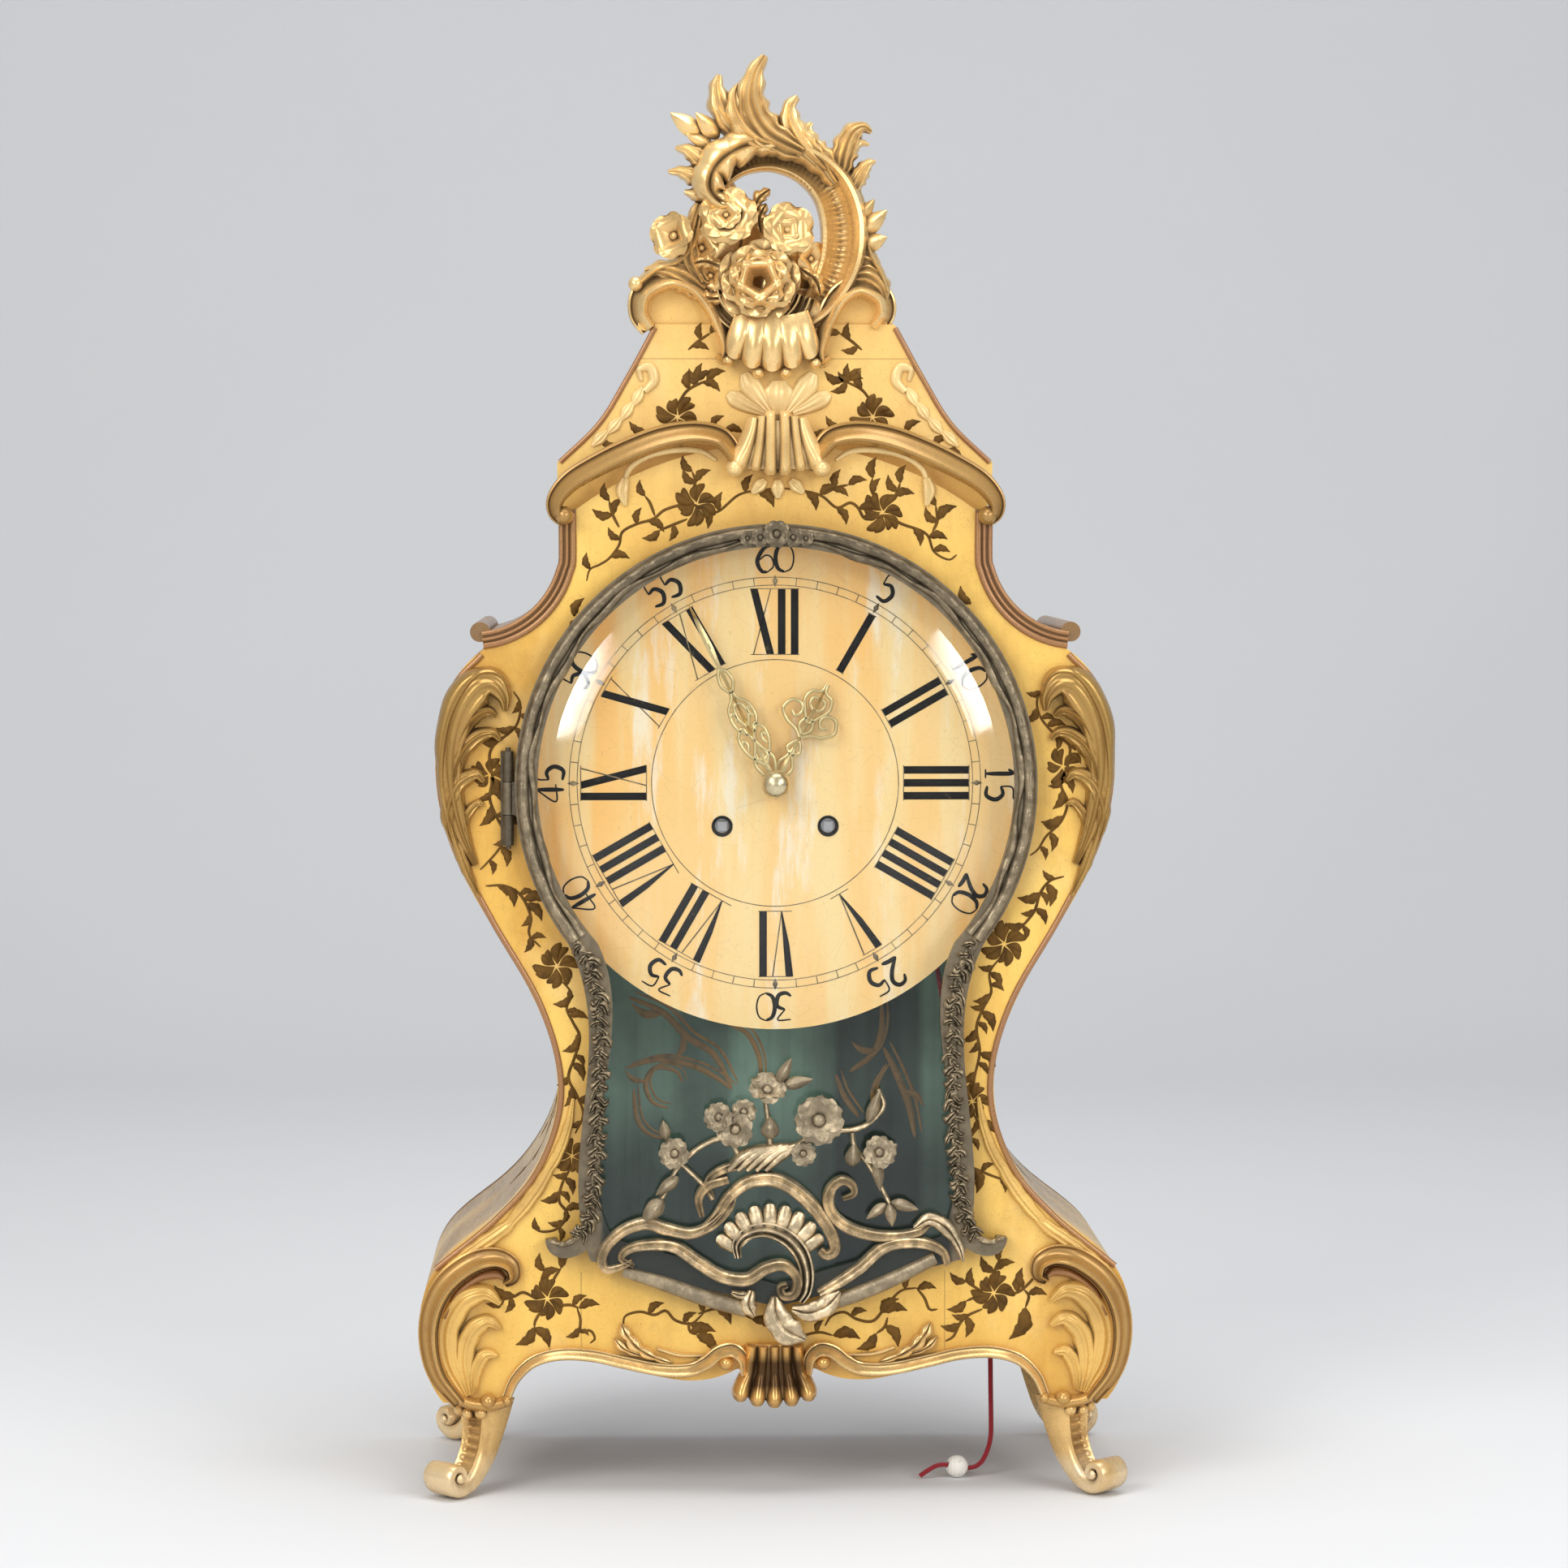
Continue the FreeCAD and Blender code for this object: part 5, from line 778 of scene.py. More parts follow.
def make_finishes():
    c = tints()
    lacquer("lacquer")
    for side, sign in (("left", 1), ("right", -1)):
        lacquer("lacquer_" + side)
        f = FINISHES["lacquer_" + side]
        inner = f.span(f.facing("X") * sign, 0.05, 0.2)
        cover = f.span(f.noise(14, 4), 0.25, 0.6)
        grime = f.span(f.facing("Z"), -0.1, 0.8) * f.span(f.axis("Z"), 0.36, 0.17) * (0.4 + 0.6 * cover)
        streak = f.noise(70, 5, 0.65, f.stretch((1, 0.15, 1)))
        dusty = f.mix(f.span(streak, 0.35, 0.65), (0.15, 0.09, 0.05), (0.33, 0.23, 0.14))
        f.over(grime * 0.75, dusty)
        f.over(inner, old_teal(f))
    gilding("gilt", 0.38, 0.006, (0.97, 0.68, 0.30), 0.65, 0.75)
    gilding("gilt_old", 0.25, 0.007, (0.46, 0.265, 0.08), 0.4)
    gilding("gilt_leafy", 0.4, 0.008, (0.45, 0.27, 0.075), 0.6, 0.95)
    gilding("gilt_matt", 0.35, 0.009, (0.80, 0.50, 0.135), 0.25, 0.8)
    gilding("gilt_soft", 0.5, 0.014, (0.58, 0.34, 0.105), 0.5, 0.95)
    gilding("gilt_worn", 0.5, 0.007, (0.76, 0.45, 0.15), 0.7, 0.9)
    gilding("gilt_bright", 0.3, 0.005, (0.90, 0.60, 0.25), 0.6, 0.75)
    gilding("gilt_shell", 0.15, 0.005, (0.92, 0.65, 0.28), 0.3, 0.75)
    gilding("gilt_pale", 0.25, 0.003, (0.90, 0.66, 0.29), 0.1, 0.45)
    gilding("gilt_foot", 0.4, 0.007, (0.84, 0.55, 0.21), 0.45, 0.9)
    f = FINISHES["gilt_foot"]
    toe = f.span(f.axis("Z"), 0.026, 0.012) * f.span(f.noise(40, 3), 0.25, 0.55)
    edge = f.span(f.noise(45, 4, 0.6, f.stretch((1, 1, 0.4))), 0.52, 0.7)
    f.over(edge * 0.5, (0.22, 0.095, 0.03))
    f.over(toe * 0.65, (0.86, 0.70, 0.46))
    f = FINISHES["gilt_worn"]
    # Painted shade in the middle hollow of the apron shell.
    inside = f.span(f.axis("Z"), 0.056, 0.063) * f.span(f.axis("Z"), 0.083, 0.074)
    middle = f.span(f.axis("X") * f.axis("X"), 0.00040, 0.00014)
    f.over(inside * middle * 0.95, (0.05, 0.02, 0.005))
    gilding("gilt_brown", 0.9, 0.006, (0.26, 0.155, 0.075), 0.35)
    gilding("gilt_edge", 0.9, 0.004, (0.36, 0.175, 0.075), 0.3)
    bronze("bronze", 0.3, 0.005, 0.5, 0.55, True)
    bronze("bronze_hinge", 0.3, 0.004, 0.3, 0.5)
    bronze("bronze_border", 0.8, 0.004, 0.74, 0.75)
    f = FINISHES["bronze_border"]
    # The border is darker from the skirts upwards and again towards the top of the round.
    bezel = f.span(f.axis("Z"), 0.29, 0.36) * 0.28 + f.span(f.axis("Z"), 0.44, 0.53) * 0.3
    f.over(bezel, c.bronze_dark)
    bronze("bronze_mount", 0.95, 0.0035, 1.5, 0.85)
    bronze("bronze_flower", 0.6, 0.003, 0.78, 0.5)
    metal("brass", c.brass, (0.40, 0.25, 0.09), 0.24)
    metal("steel", (0.46, 0.46, 0.47), (0.19, 0.17, 0.15), 0.28)
    metal("bell_metal", (0.66, 0.52, 0.28), (0.33, 0.24, 0.12), 0.22)
    metal("hand_brass", (0.66, 0.53, 0.27), (0.22, 0.15, 0.055), 0.24, 500)
    metal("nut_brass", (0.74, 0.64, 0.42), (0.36, 0.28, 0.14), 0.12)
    wood("pine", (0.42, 0.25, 0.11), (0.22, 0.115, 0.045))
    wood("bead_wood", (0.90, 0.88, 0.83), (0.78, 0.74, 0.66), 3.0)
    wood(
        "back_wood",
        (0.30, 0.17, 0.075), (0.13, 0.068, 0.03),
        1.0,
        lambda f, tone: f.mix(f.span(f.facing("Y"), -0.2, -0.6), tone, old_teal(f)),
    )
    wood(
        "floor_wood",
        (0.30, 0.17, 0.075), (0.15, 0.08, 0.035),
        1.0,
        # Painted shade: the floor's upward faces are made near black.
        lambda f, tone: f.mix(f.span(f.facing("Z"), 0.2, 0.6), tone, (0.02, 0.032, 0.034)),
    )
    vine_paint()
    dial_paint()
    ink()
    arabesque_paint()
    glass()
    cord_fibre()


def vine_paint():
    c = tints()
    f = Finish("vine_paint", specular_ior_level=0.12)
    brush = f.noise(420, 4, 0.6)
    patch = f.span(f.noise(110, 3), 0.42, 0.7)
    tone = f.mix(brush * 0.6, c.vine, (0.26, 0.135, 0.028))
    f.set(base_color=f.mix(patch * 0.5, tone, (0.04, 0.02, 0.007)), roughness=0.5 + 0.2 * brush)
    f.bump(brush, 0.0002, 0.4)


def dial_paint():
    """Cream paint with upright streaks of yellowed varnish and grey rubbed places."""
    c = tints()
    f = Finish("dial_paint", coat_roughness=0.15, specular_ior_level=0.5)
    streak = f.span(f.noise(34, 4, 0.6, f.stretch((1, 1, 0.11))), 0.40, 0.60)
    broad = f.span(f.noise(7, 3, 0.5, f.stretch((1, 1, 0.5))), 0.4, 0.66)
    pale = f.span(f.noise(55, 5, 0.65, f.stretch((1, 1, 0.15))), 0.54, 0.68)
    tone = f.mix(streak * (0.45 + 0.55 * broad), c.dial, c.dial_warm)
    tone = f.mix(pale * 0.7, tone, (0.80, 0.74, 0.60))
    crack = f.span(f.cells(95), 0.0, 0.02)
    tone = f.mix((1 - crack) * 0.12, tone, (0.3, 0.2, 0.1))
    specks = f.span(f.noise(420, 2), 0.66, 0.74)
    tone = f.mix(specks * 0.25, tone, (0.35, 0.22, 0.1))
    f.set(base_color=tone, roughness=0.36 + 0.2 * pale, coat_weight=0.3 - 0.2 * pale)
    f.bump(crack * 0.5 + streak * 0.2, 0.00015, 0.4)


def ink():
    f = Finish("ink", specular_ior_level=0.1)
    fine = f.noise(700, 4, 0.7)
    rubbed = f.span(f.noise(160, 4, 0.7), 0.6, 0.74)
    tone = f.mix(rubbed * 0.5, (0.006, 0.005, 0.004), (0.16, 0.11, 0.06))
    f.set(base_color=tone, roughness=0.4 + 0.2 * fine)
    f = Finish("fine_ink", specular_ior_level=0.4)
    fade = f.span(f.noise(120, 4, 0.7), 0.4, 0.7)
    tone = f.mix(fade * 0.7, (0.10, 0.075, 0.04), (0.45, 0.34, 0.19))
    f.set(base_color=tone, roughness=0.4 + 0.2 * fade)


def arabesque_paint():
    f = Finish("arabesque_paint", specular_ior_level=0.4)
    brush = f.noise(300, 4, 0.65)
    worn = f.span(f.noise(90, 4, 0.65), 0.5, 0.68)
    tone = f.mix(brush * 0.6, (0.78, 0.46, 0.16), (0.44, 0.23, 0.08))
    f.set(base_color=f.mix(worn * 0.4, tone, (0.06, 0.075, 0.06)), roughness=0.5 + 0.2 * brush)
    f.bump(brush, 0.0002, 0.4)


def glass():
    """Clear pane: it passes light straight and mirrors the room at a slant."""
    f = Finish("glass", metallic=1.0, base_color=(0.96, 0.97, 0.98))
    smear = f.span(f.noise(30, 4), 0.45, 0.8)
    f.set(roughness=0.055 + 0.018 * smear)
    f.bump(f.noise(9, 2), 0.0012, 0.05)
    slant = f.tone("ShaderNodeLayerWeight", {}, {"Blend": 0.5}, "Facing")
    gloss = 0.02 + 0.75 * slant**5
    clear = f.tone("ShaderNodeBsdfTransparent", {}, {"Color": (0.995, 1.0, 0.995)})
    shine = Tone(f, f.shader.outputs[0])
    f.put(f.ending.inputs["Surface"], f.tone("ShaderNodeMixShader", {}, {0: gloss, 1: clear, 2: shine}))


def cord_fibre():
    c = tints()
    f = Finish("cord_fibre", specular_ior_level=0.3, sheen_weight=0.3)
    twist = f.wave(420, 0.6, "DIAGONAL")
    fuzz = f.noise(2200, 3)
    tone = f.mix(twist * 0.5 + fuzz * 0.3, c.cord, (0.14, 0.004, 0.008))
    f.set(base_color=tone, roughness=0.7 + 0.2 * fuzz)
    f.bump(twist + fuzz * 0.5, 0.0006, 0.7)


# Operators.


class CLOCK_OT_stage(Operator):
    """Camera, lamps, pale floor and backdrop"""

    bl_idname = "clock.stage"
    bl_label = "Stage"

    camera_place = (-0.079, -2.624, 0.546)
    camera_fall = 3.36
    camera_turn = -1.876
    camera_lens = 106.04
    # Name, place, aim, width and height, power, colour and roll.
    lamps = [
        ("key_softbox", (-1.5, -2.1, 1.9), (0, 0, 0.42), (1.3, 1.3), 33, (1.0, 0.985, 0.96), 0),
        ("fill_softbox", (1.7, -1.9, 1.5), (0, 0, 0.4), (1.2, 1.2), 17.5, (0.97, 0.985, 1.0), 0),
        ("top_softbox", (0.1, -0.3, 2.5), (0, 0, 0.5), (1.8, 1.4), 34, (1, 1, 1), 0),
        ("left_strip", (-0.99, -2.4, 0.8), (0, 0, 0.4), (0.13, 0.62), 6.5, (1, 1, 1), -24),
        ("right_strip", (1.15, -2.4, 0.84), (0, 0, 0.4), (0.19, 0.6), 8, (1, 1, 1), 24),
    ]

    def execute(self, context):
        scene = context.scene
        scene.view_settings.view_transform = "Standard"
        bpy.ops.object.select_all(action="DESELECT")
        bpy.ops.object.camera_add(
            location=self.camera_place,
            rotation=(math.radians(90 - self.camera_fall), 0, math.radians(self.camera_turn)),
        )
        camera = context.object
        camera.name = "photo_camera"
        camera.data.sensor_width = 36
        camera.data.lens = self.camera_lens
        camera.data.clip_end = 30
        scene.camera = camera
        self.floor()
        for name, place, aim, size, power, warm, roll in self.lamps:
            bpy.ops.object.light_add(type="AREA", location=place)
            lamp = context.object
            lamp.name = name
            lamp.data.shape = "RECTANGLE"
            lamp.data.size, lamp.data.size_y = size
            lamp.data.energy = power
            lamp.data.color = warm
            turned = (Vector(aim) - Vector(place)).to_track_quat("-Z", "Y").to_matrix()
            lamp.rotation_euler = (turned @ Matrix.Rotation(math.radians(roll), 3, "Z")).to_euler()
        world = bpy.data.worlds.new("studio")
        scene.world = world
        world.use_nodes = True
        shade = world.node_tree.nodes["Background"]
        shade.inputs["Color"].default_value = (0.92, 0.94, 0.97, 1)
        shade.inputs["Strength"].default_value = 0.5
        return {"FINISHED"}

    def floor(self):
        bpy.ops.mesh.primitive_plane_add(size=6, location=(0, 0, 0))
        floor = bpy.context.object
        floor.name = "floor"
        bpy.ops.object.mode_set(mode="EDIT")
        bpy.ops.mesh.select_mode(type="EDGE")
        bpy.ops.mesh.select_all(action="DESELECT")
        bpy.ops.object.mode_set(mode="OBJECT")
        for edge in floor.data.edges:
            edge.select = all(floor.data.vertices[i].co.y > 2.9 for i in edge.vertices)
        bpy.ops.object.mode_set(mode="EDIT")
        bpy.ops.mesh.extrude_region_move(TRANSFORM_OT_translate={"value": (0, 0.0, 4)})
        bpy.ops.mesh.select_all(action="SELECT")
        bpy.ops.object.mode_set(mode="OBJECT")
        bend = floor.modifiers.new("bend", "BEVEL")
        bend.width = 1.2
        bend.segments = 24
        bpy.ops.object.modifier_apply(modifier="bend")
        bpy.ops.object.shade_smooth()
        f = Finish("studio_floor", specular_ior_level=0.2)
        f.set(base_color=f.mix(f.noise(3, 2), (0.71, 0.715, 0.725), (0.73, 0.735, 0.745)), roughness=0.7)
        floor.data.materials.append(f.material)


class CLOCK_OT_cord(Operator):
    """Red pull cord with its bead, and its run up to the repeat lever"""

    bl_idname = "clock.cord"
    bl_label = "Cord"

    diameter = 0.0028
    free_length = 0.1104
    inner_length = 0.2955
    bead_middle = (103.82, -37.14, 6.49)
    bead_radius = 6.3
    free = [
        (123, -32, 78), (123.1, -32, 58), (123.5, -32.2, 36), (123.6, -32.4, 18), (115.5, -34.8, 3.1),
        (95.5, -38.8, 8.9), (87, -40.2, 5), (82.5, -40.6, 1.6),
    ]
    inner = [(78, -45.7, 369.3), (106, -37.2, 209), (123, -32, 112), (123, -32, 78)]

    def execute(self, context):
        outer = self.line("cord_line", self.free)
        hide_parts("pull_cord")
        bead = self.bead()
        run = self.line("inner_line", self.inner)
        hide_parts("inner_cord")
        return {"FINISHED"}

    def line(self, name, points):
        bpy.ops.object.select_all(action="DESELECT")
        bpy.ops.curve.primitive_nurbs_path_add()
        cord = bpy.context.object
        cord.name = name
        cord.data.splines.clear()
        spline = cord.data.splines.new("NURBS")
        spline.points.add(len(points) - 1)
        for point, place in zip(spline.points, points):
            point.co = tuple(v * MM for v in place) + (1,)
        spline.order_u = 3
        spline.use_endpoint_u = True
        spline.resolution_u = 16
        cord.data.dimensions = "3D"
        cord.data.bevel_depth = self.diameter / 2
        cord.data.bevel_resolution = 5
        cord.data.use_fill_caps = True
        cord.location = (0, 0, 0)
        cord.data.materials.append(finish_named("cord_fibre"))
        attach(cord, "case")
        return cord

    def bead(self):
        centre = np.array(self.bead_middle)
        before, after = self.free[4:6]
        along = unit(np.array(after) - np.array(before))
        e1, e2 = plane(along)
        rings = []
        angles = [math.radians(t) for t in range(-64, 65, 8)]
        outline = [(1.75, -5.2), (2.3, -5.75)]
        outline += [(self.bead_radius * math.cos(t), self.bead_radius * math.sin(t)) for t in angles]
        outline += [(2.3, 5.75), (1.75, 5.2)]
        for t in np.linspace(0, 2 * math.pi, 28, endpoint=False):
            rings.append(
                [centre + along * s + r * (math.cos(t) * e1 + math.sin(t) * e2) for r, s in outline]
            )
        work = Carving("bead")
        rings = np.array(rings)
        closed = np.concatenate([rings, rings[:1]])
        work.lofts.append(np.concatenate([closed, closed[:, :1]], axis=1))
        return work.build(finish_named("bead_wood"), "case", ["cord_bead"], "white_bead", 60)


class CLOCK_OT_case(Operator):
    """Finishes of the boards, movement and other solid pieces"""

    bl_idname = "clock.case"
    bl_label = "Case and movement"

    worn = {
        "lacquer": ["front_board", "hood_front", "hood_sides", "hood_cap", "top_board"],
        "lacquer_left": ["side_left"],
        "lacquer_right": ["side_right"],
        "back_wood": ["back_board", "back_door"],
        "floor_wood": ["floor_board"],
        "pine": ["seat_board", "corner_blocks"],
        "gilt_brown": ["neck_mouldings"],
        "bronze": ["door_frame"],
        "bronze_hinge": ["case_hinge"],
        "glass": ["door_glass"],
        "dial_paint": ["dial_plate"],
        "brass": [
            "front_plate", "back_plate", "plate_pillars", "centre_wheel", "cannon_pinion", "hour_wheel",
            "minute_wheel", "going_barrel", "strike_barrel", "third_wheel", "escape_wheel", "pin_wheel",
            "fly", "cord_bush", "pendulum_bob", "back_hinges",
        ],
        "steel": [
            "going_arbor", "strike_arbor", "anchor", "pendulum_rod", "hammer", "repeat_lever",
            "pendulum_cock", "bell_post",
        ],
        "bell_metal": ["bell"],
        "nut_brass": ["hand_nut"],
    }

    def execute(self, context):
        for finish, nodes in self.worn.items():
            for node in nodes:
                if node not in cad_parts:
                    raise RuntimeError(f"no node {node}")
                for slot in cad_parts[node].material_slots:
                    slot.material = finish_named(finish)
        return {"FINISHED"}


class CLOCK_OT_crest(Operator):
    """Pierced crest: flame leaf, C-scroll, flowers and fluted drop"""

    bl_idname = "clock.crest"
    bl_label = "Crest"

    sprouts = [
        [(-12, 712, 2, 6), (-9, 719, 4.4, 8), (-3, 724, 1.2, 5)],
        [(-8, 700, 2, 8), (-9, 708, 4.6, 10), (-5, 716, 1.2, 6)],
        [(14, 680, 3, 8), (22, 674, 5, 9), (25, 666, 1.4, 5)],
        [(-28, 680, 3, 8), (-38, 684, 5, 9), (-46, 683, 1.4, 5)],
        [(-28, 664, 3, 8), (-38, 664, 5, 9), (-46, 668, 1.4, 5)],
    ]

    rose_place = (-9, 672.5)
    rose = [
        (5, 20, 0, 10, 0.24, 0.82), (5, 17, 3.0, 46, 0.5, 0.84), (5, 13.5, 5.5, 20, 0.85, 0.8),
        (5, 10.5, 7.5, 58, 1.25, 0.8),
    ]

    blossoms = [
        (-55, 698, 11.5, 4, 20, (-0.5, -1, 0.1), 3),
        (-25, 707, 14.5, 5, 10, (-0.2, -1, 0.3), 1),
        (-27, 709, 8, 4, 44, (-0.2, -1, 0.3), -2.5),
        (6, 701, 13, 5, 33, (0.25, -1, 0.2), 2),
        (6, 701, 6.5, 4, 2, (0.25, -1, 0.2), -0.5),
        (-40, 692, 9.5, 4, 30, (-0.35, -1, -0.1), 5),
        (19, 686, 8.5, 4, 40, (0.5, -1, 0.0), 6),
        (-35, 677, 8.5, 4, 70, (-0.4, -1, -0.2), 6),
    ]

    buds = [
        ((-41, -5, 754), (-58, -7, 766), 5.4), ((-31, -5, 752), (-44, -9, 766), 5.2),
        ((-34, -5, 747), (-50, -7, 755), 4.0), ((47, -5, 700), (62, -6, 713), 5.4),
        ((48, -5, 693), (62, -7, 698), 5.2), ((45, -5, 706), (55, -6, 719), 4.0),
    ]

    side_plumes = [
        (
            [
                (35, 730, 5, 10), (38, 744, 7.5, 12), (42, 754, 6.5, 11), (48, 758.5, 3.6, 9),
                (53.5, 756, 1, 6),
            ],
            4,
        ),
        ([(41, 722, 4, 9), (46, 731, 5.4, 10), (51, 738, 3.4, 8), (55.5, 740, 0.9, 5)], 3),
        ([(39, 738, 3, 9), (42, 746, 4, 10), (47, 750, 2.6, 8), (52, 749, 0.8, 5)], 2),
        ([(-30, 733, 5, 10), (-41, 741, 6, 11), (-49, 746, 3.6, 9), (-55, 747, 1, 5)], 3),
        ([(-33, 727, 5, 10), (-44, 731, 5.6, 11), (-52, 734, 3.4, 8), (-59, 734, 1, 5)], 3),
        ([(-34, 720, 5, 10), (-42, 721, 4.6, 10), (-50, 723, 1.2, 6)], 2),
        ([(42, 676, 6, 11), (51, 676, 8, 13), (58, 671, 6.5, 11), (61, 663, 2, 7)], 4),
        ([(44, 688, 5, 9), (52, 686, 5.5, 10), (58, 683, 1.4, 6)], 3),
        ([(-40, 668, 7, 10), (-51, 676, 9, 13), (-62, 680, 6, 11), (-72, 679, 2, 7)], 4),
        ([(-42, 672, 7, 10), (-48, 686, 8, 12), (-47, 700, 6, 11), (-42, 716, 3, 8)], 4),
    ]

    flame_plumes = [
        (
            [
                (-4, 747, 5, 10), (-20, 756, 8, 13), (-29, 768, 7.5, 13), (-32, 779, 5, 11),
                (-31, 787, 1.8, 7),
            ],
            3, 2,
        ),
        ([(34, 728, 5, 9), (27, 739, 8, 12), (20, 748, 7, 11), (18, 757, 3.6, 8), (20, 761, 1.2, 5)], 3, -1),
        (
            [(28, 735, 5, 10), (16, 747, 9, 14), (9, 759, 7.4, 12), (8, 769, 4.4, 10), (12, 775, 1.8, 7)], 3,
            -2,
        ),
        (
            [
                (15, 744, 6, 12), (-4, 754, 10, 16), (-13, 769, 9.6, 15), (-12, 785, 6.4, 12),
                (-6, 797, 2.2, 8),
            ],
            4, -4.5,
        ),
        (
            [
                (5, 746, 5, 10), (-12, 753, 8, 13), (-21, 764, 6.6, 12), (-23, 774, 3.6, 9),
                (-21, 781, 1.4, 6),
            ],
            3, -6,
        ),
    ]

    def execute(self, context):
        work = Carving("crest_carving")
        back = -52.0

        def pearls(v, a, h):
            inside = np.exp(-(((a + 0.2) / 0.32) ** 2))
            return 0.9 * inside * np.sin(v * 2 * np.pi * 62)

        rows = [
            (12, 650, 7, 15), (27, 664, 10.5, 18), (37, 684, 13, 20), (38.5, 706, 13.5, 20.5),
            (32, 725, 12.5, 20.5), (18, 738, 11, 20), (0, 743.5, 9.5, 19), (-17, 741, 8.5, 18),
            (-29, 733, 7.5, 18), (-34, 723, 6, 17), (-30, 714, 4.5, 17), (-22, 713, 3.5, 17),
            (-19, 718, 2.5, 17),
        ]
        work.band(rows, CHANNEL, back, 0.7, pearls)
        self.flames(work, back)
        self.left_and_right(work, back)
        self.foot(work, back)
        work.build(finish_named("gilt"), "case", ["crest"], "gilt_wood")
        blooms = Carving("crest_flowers")
        self.flowers(blooms)
        blooms.build(finish_named("gilt_bright"), "case", (), "gilt_wood")
        return {"FINISHED"}

    def flames(self, work, back):
        y = back - 5
        for rows, reeds, depth in self.flame_plumes:
            work.plume([r + (y + depth,) for r in rows], reeds, y, 0.12)
        wrap = [
            (18, 747, 3, 9), (0, 750, 7.5, 13), (-20, 746, 11, 16), (-33, 736, 11.5, 17), (-36, 724, 9, 16),
            (-29, 716, 5, 14), (-22, 717, 2, 11),
        ]
        work.leaf([r + (back - 9,) for r in wrap], 6, (1, 0.4), back, 0.5, 0.4, 0.5, 0.5)

    def left_and_right(self, work, back):
        y = back - 5
        for rows, reeds in self.side_plumes:
            work.plume([r + (y,) for r in rows], reeds, y, 0.1)
        work.band([(-30, 742, 2.2, 6, y), (-38, 751, 2, 6, y), (-44, 757, 1.8, 6, y)], ROUND)
        for start, end, size in self.buds:
            work.bud(np.array(start) + (0, y, 0), np.array(end) + (0, y, 0), size)

    def flowers(self, work):
        up = unit((-0.06, -1.0, 0.12))
        y = -68.0
        for x, z, r, n, turn, tilt, deep in self.blossoms:
            work.bloom((x, y + deep, z), r, n, unit(tilt), 0.5, turn, 0.2, 0.8)
        for rows in self.sprouts:
            work.leaf(rows, 3, (1, 1), y + 6, 0.5, 0.4, 0.5, 0.6)
        x, z = self.rose_place
        for count, r, lift, turn, cup, wide in self.rose:
            work.bloom((x, y + 2 - lift, z), r, count, up, cup, turn, 0, wide, 0.4)

    def foot(self, work, back):
        y = back
        left = [
            (-70, 647, 4.5, 14), (-75.5, 656, 5.5, 17), (-73, 668, 6.3, 19), (-58, 675.5, 6.6, 20.5),
            (-43, 671, 6.6, 21), (-34, 660, 6, 21.5), (-28.5, 647.5, 5.4, 22), (-26, 637, 4.4, 21.5),
            (-28.5, 630.5, 3.2, 20.5), (-33, 632, 2.2, 19),
        ]
        right = [
            (56, 647, 4.5, 14), (61.5, 656, 5.5, 17), (59, 666, 6.3, 19), (47, 671.5, 6.6, 20.5),
            (35.5, 666, 6.4, 21), (28.5, 654, 6, 21.5), (24.5, 642, 5.2, 22), (23, 634, 4.2, 21.5),
            (26, 628.5, 3.2, 20.5), (30.5, 631, 2.2, 19),
        ]
        work.band(left, OGEE, y, 1.0)
        work.band(right, reversed_section(OGEE), y, 1.0)
        rim = [
            (-77, 671, 2.8, 15), (-66, 680, 3.2, 17), (-54, 684, 3.2, 18), (-46, 692, 3, 18),
            (-42, 703, 2.6, 17), (-40, 716, 2, 15),
        ]
        work.band(rim, ROUND, y, 1.2)
        work.ball((-77, y - 12, 672), 4.2)
        rim = [(62, 668, 2.6, 15), (58, 679, 3, 17), (52, 690, 2.6, 16), (50, 703, 2, 14)]
        work.band(rim, ROUND, y, 1.2)
        work.fan((-2, 712), 58, 88.5, (-110, -70), 5, 14, HOOD_FACE - 5, 0.16, 0.05, 0.8, 0.7)
        x, z = self.rose_place
        for r, wide, high in ((23.5, 3.2, 20), (29.5, 3.4, 17)):
            rows = []
            for angle in range(-172, -7, 12):
                t = math.radians(angle)
                rows.append((x + r * math.cos(t), z + r * math.sin(t), wide, high))
            work.band(rows, REEDS, y, 1.0)
        for x, z, r in ((-26, 630, 3.2), (-9.5, 623.5, 3.4), (5.5, 623.5, 3.4), (22, 628.5, 3.2)):
            work.ball((x, HOOD_FACE - 7, z), r, OUT, 1.2)
        ground = [(-34, 652, 8, 14), (-20, 656, 18, 14), (10, 656, 18, 14), (30, 652, 8, 14)]
        work.band(ground, ROUND, y + 2, 2.0)
        post = [
            (-48, 668, 12, 11), (-42, 682, 17, 11), (-34, 698, 17, 11), (-28, 714, 12, 10), (-28, 728, 6, 9),
        ]
        work.band(post, ROUND, y + 2, 2.0)
        work.band(
            [(2, 655, 20, 11), (0, 676, 19, 11), (-4, 694, 17, 10), (-8, 706, 12, 8)], ROUND, y + 2, 2.0,
        )
        lobes = Carving("hood_lobes")
        lobes.fan((-54, 646), 1, 24, (2, 178), 1, 2.0, HOOD_FACE + 3, 0.0, 0.0)
        lobes.fan((44, 646), 1, 20, (2, 178), 1, 2.0, HOOD_FACE + 3, 0.0, 0.0)
        lobes.build(finish_named("lacquer"), "case", (), "yellow_lacquer")


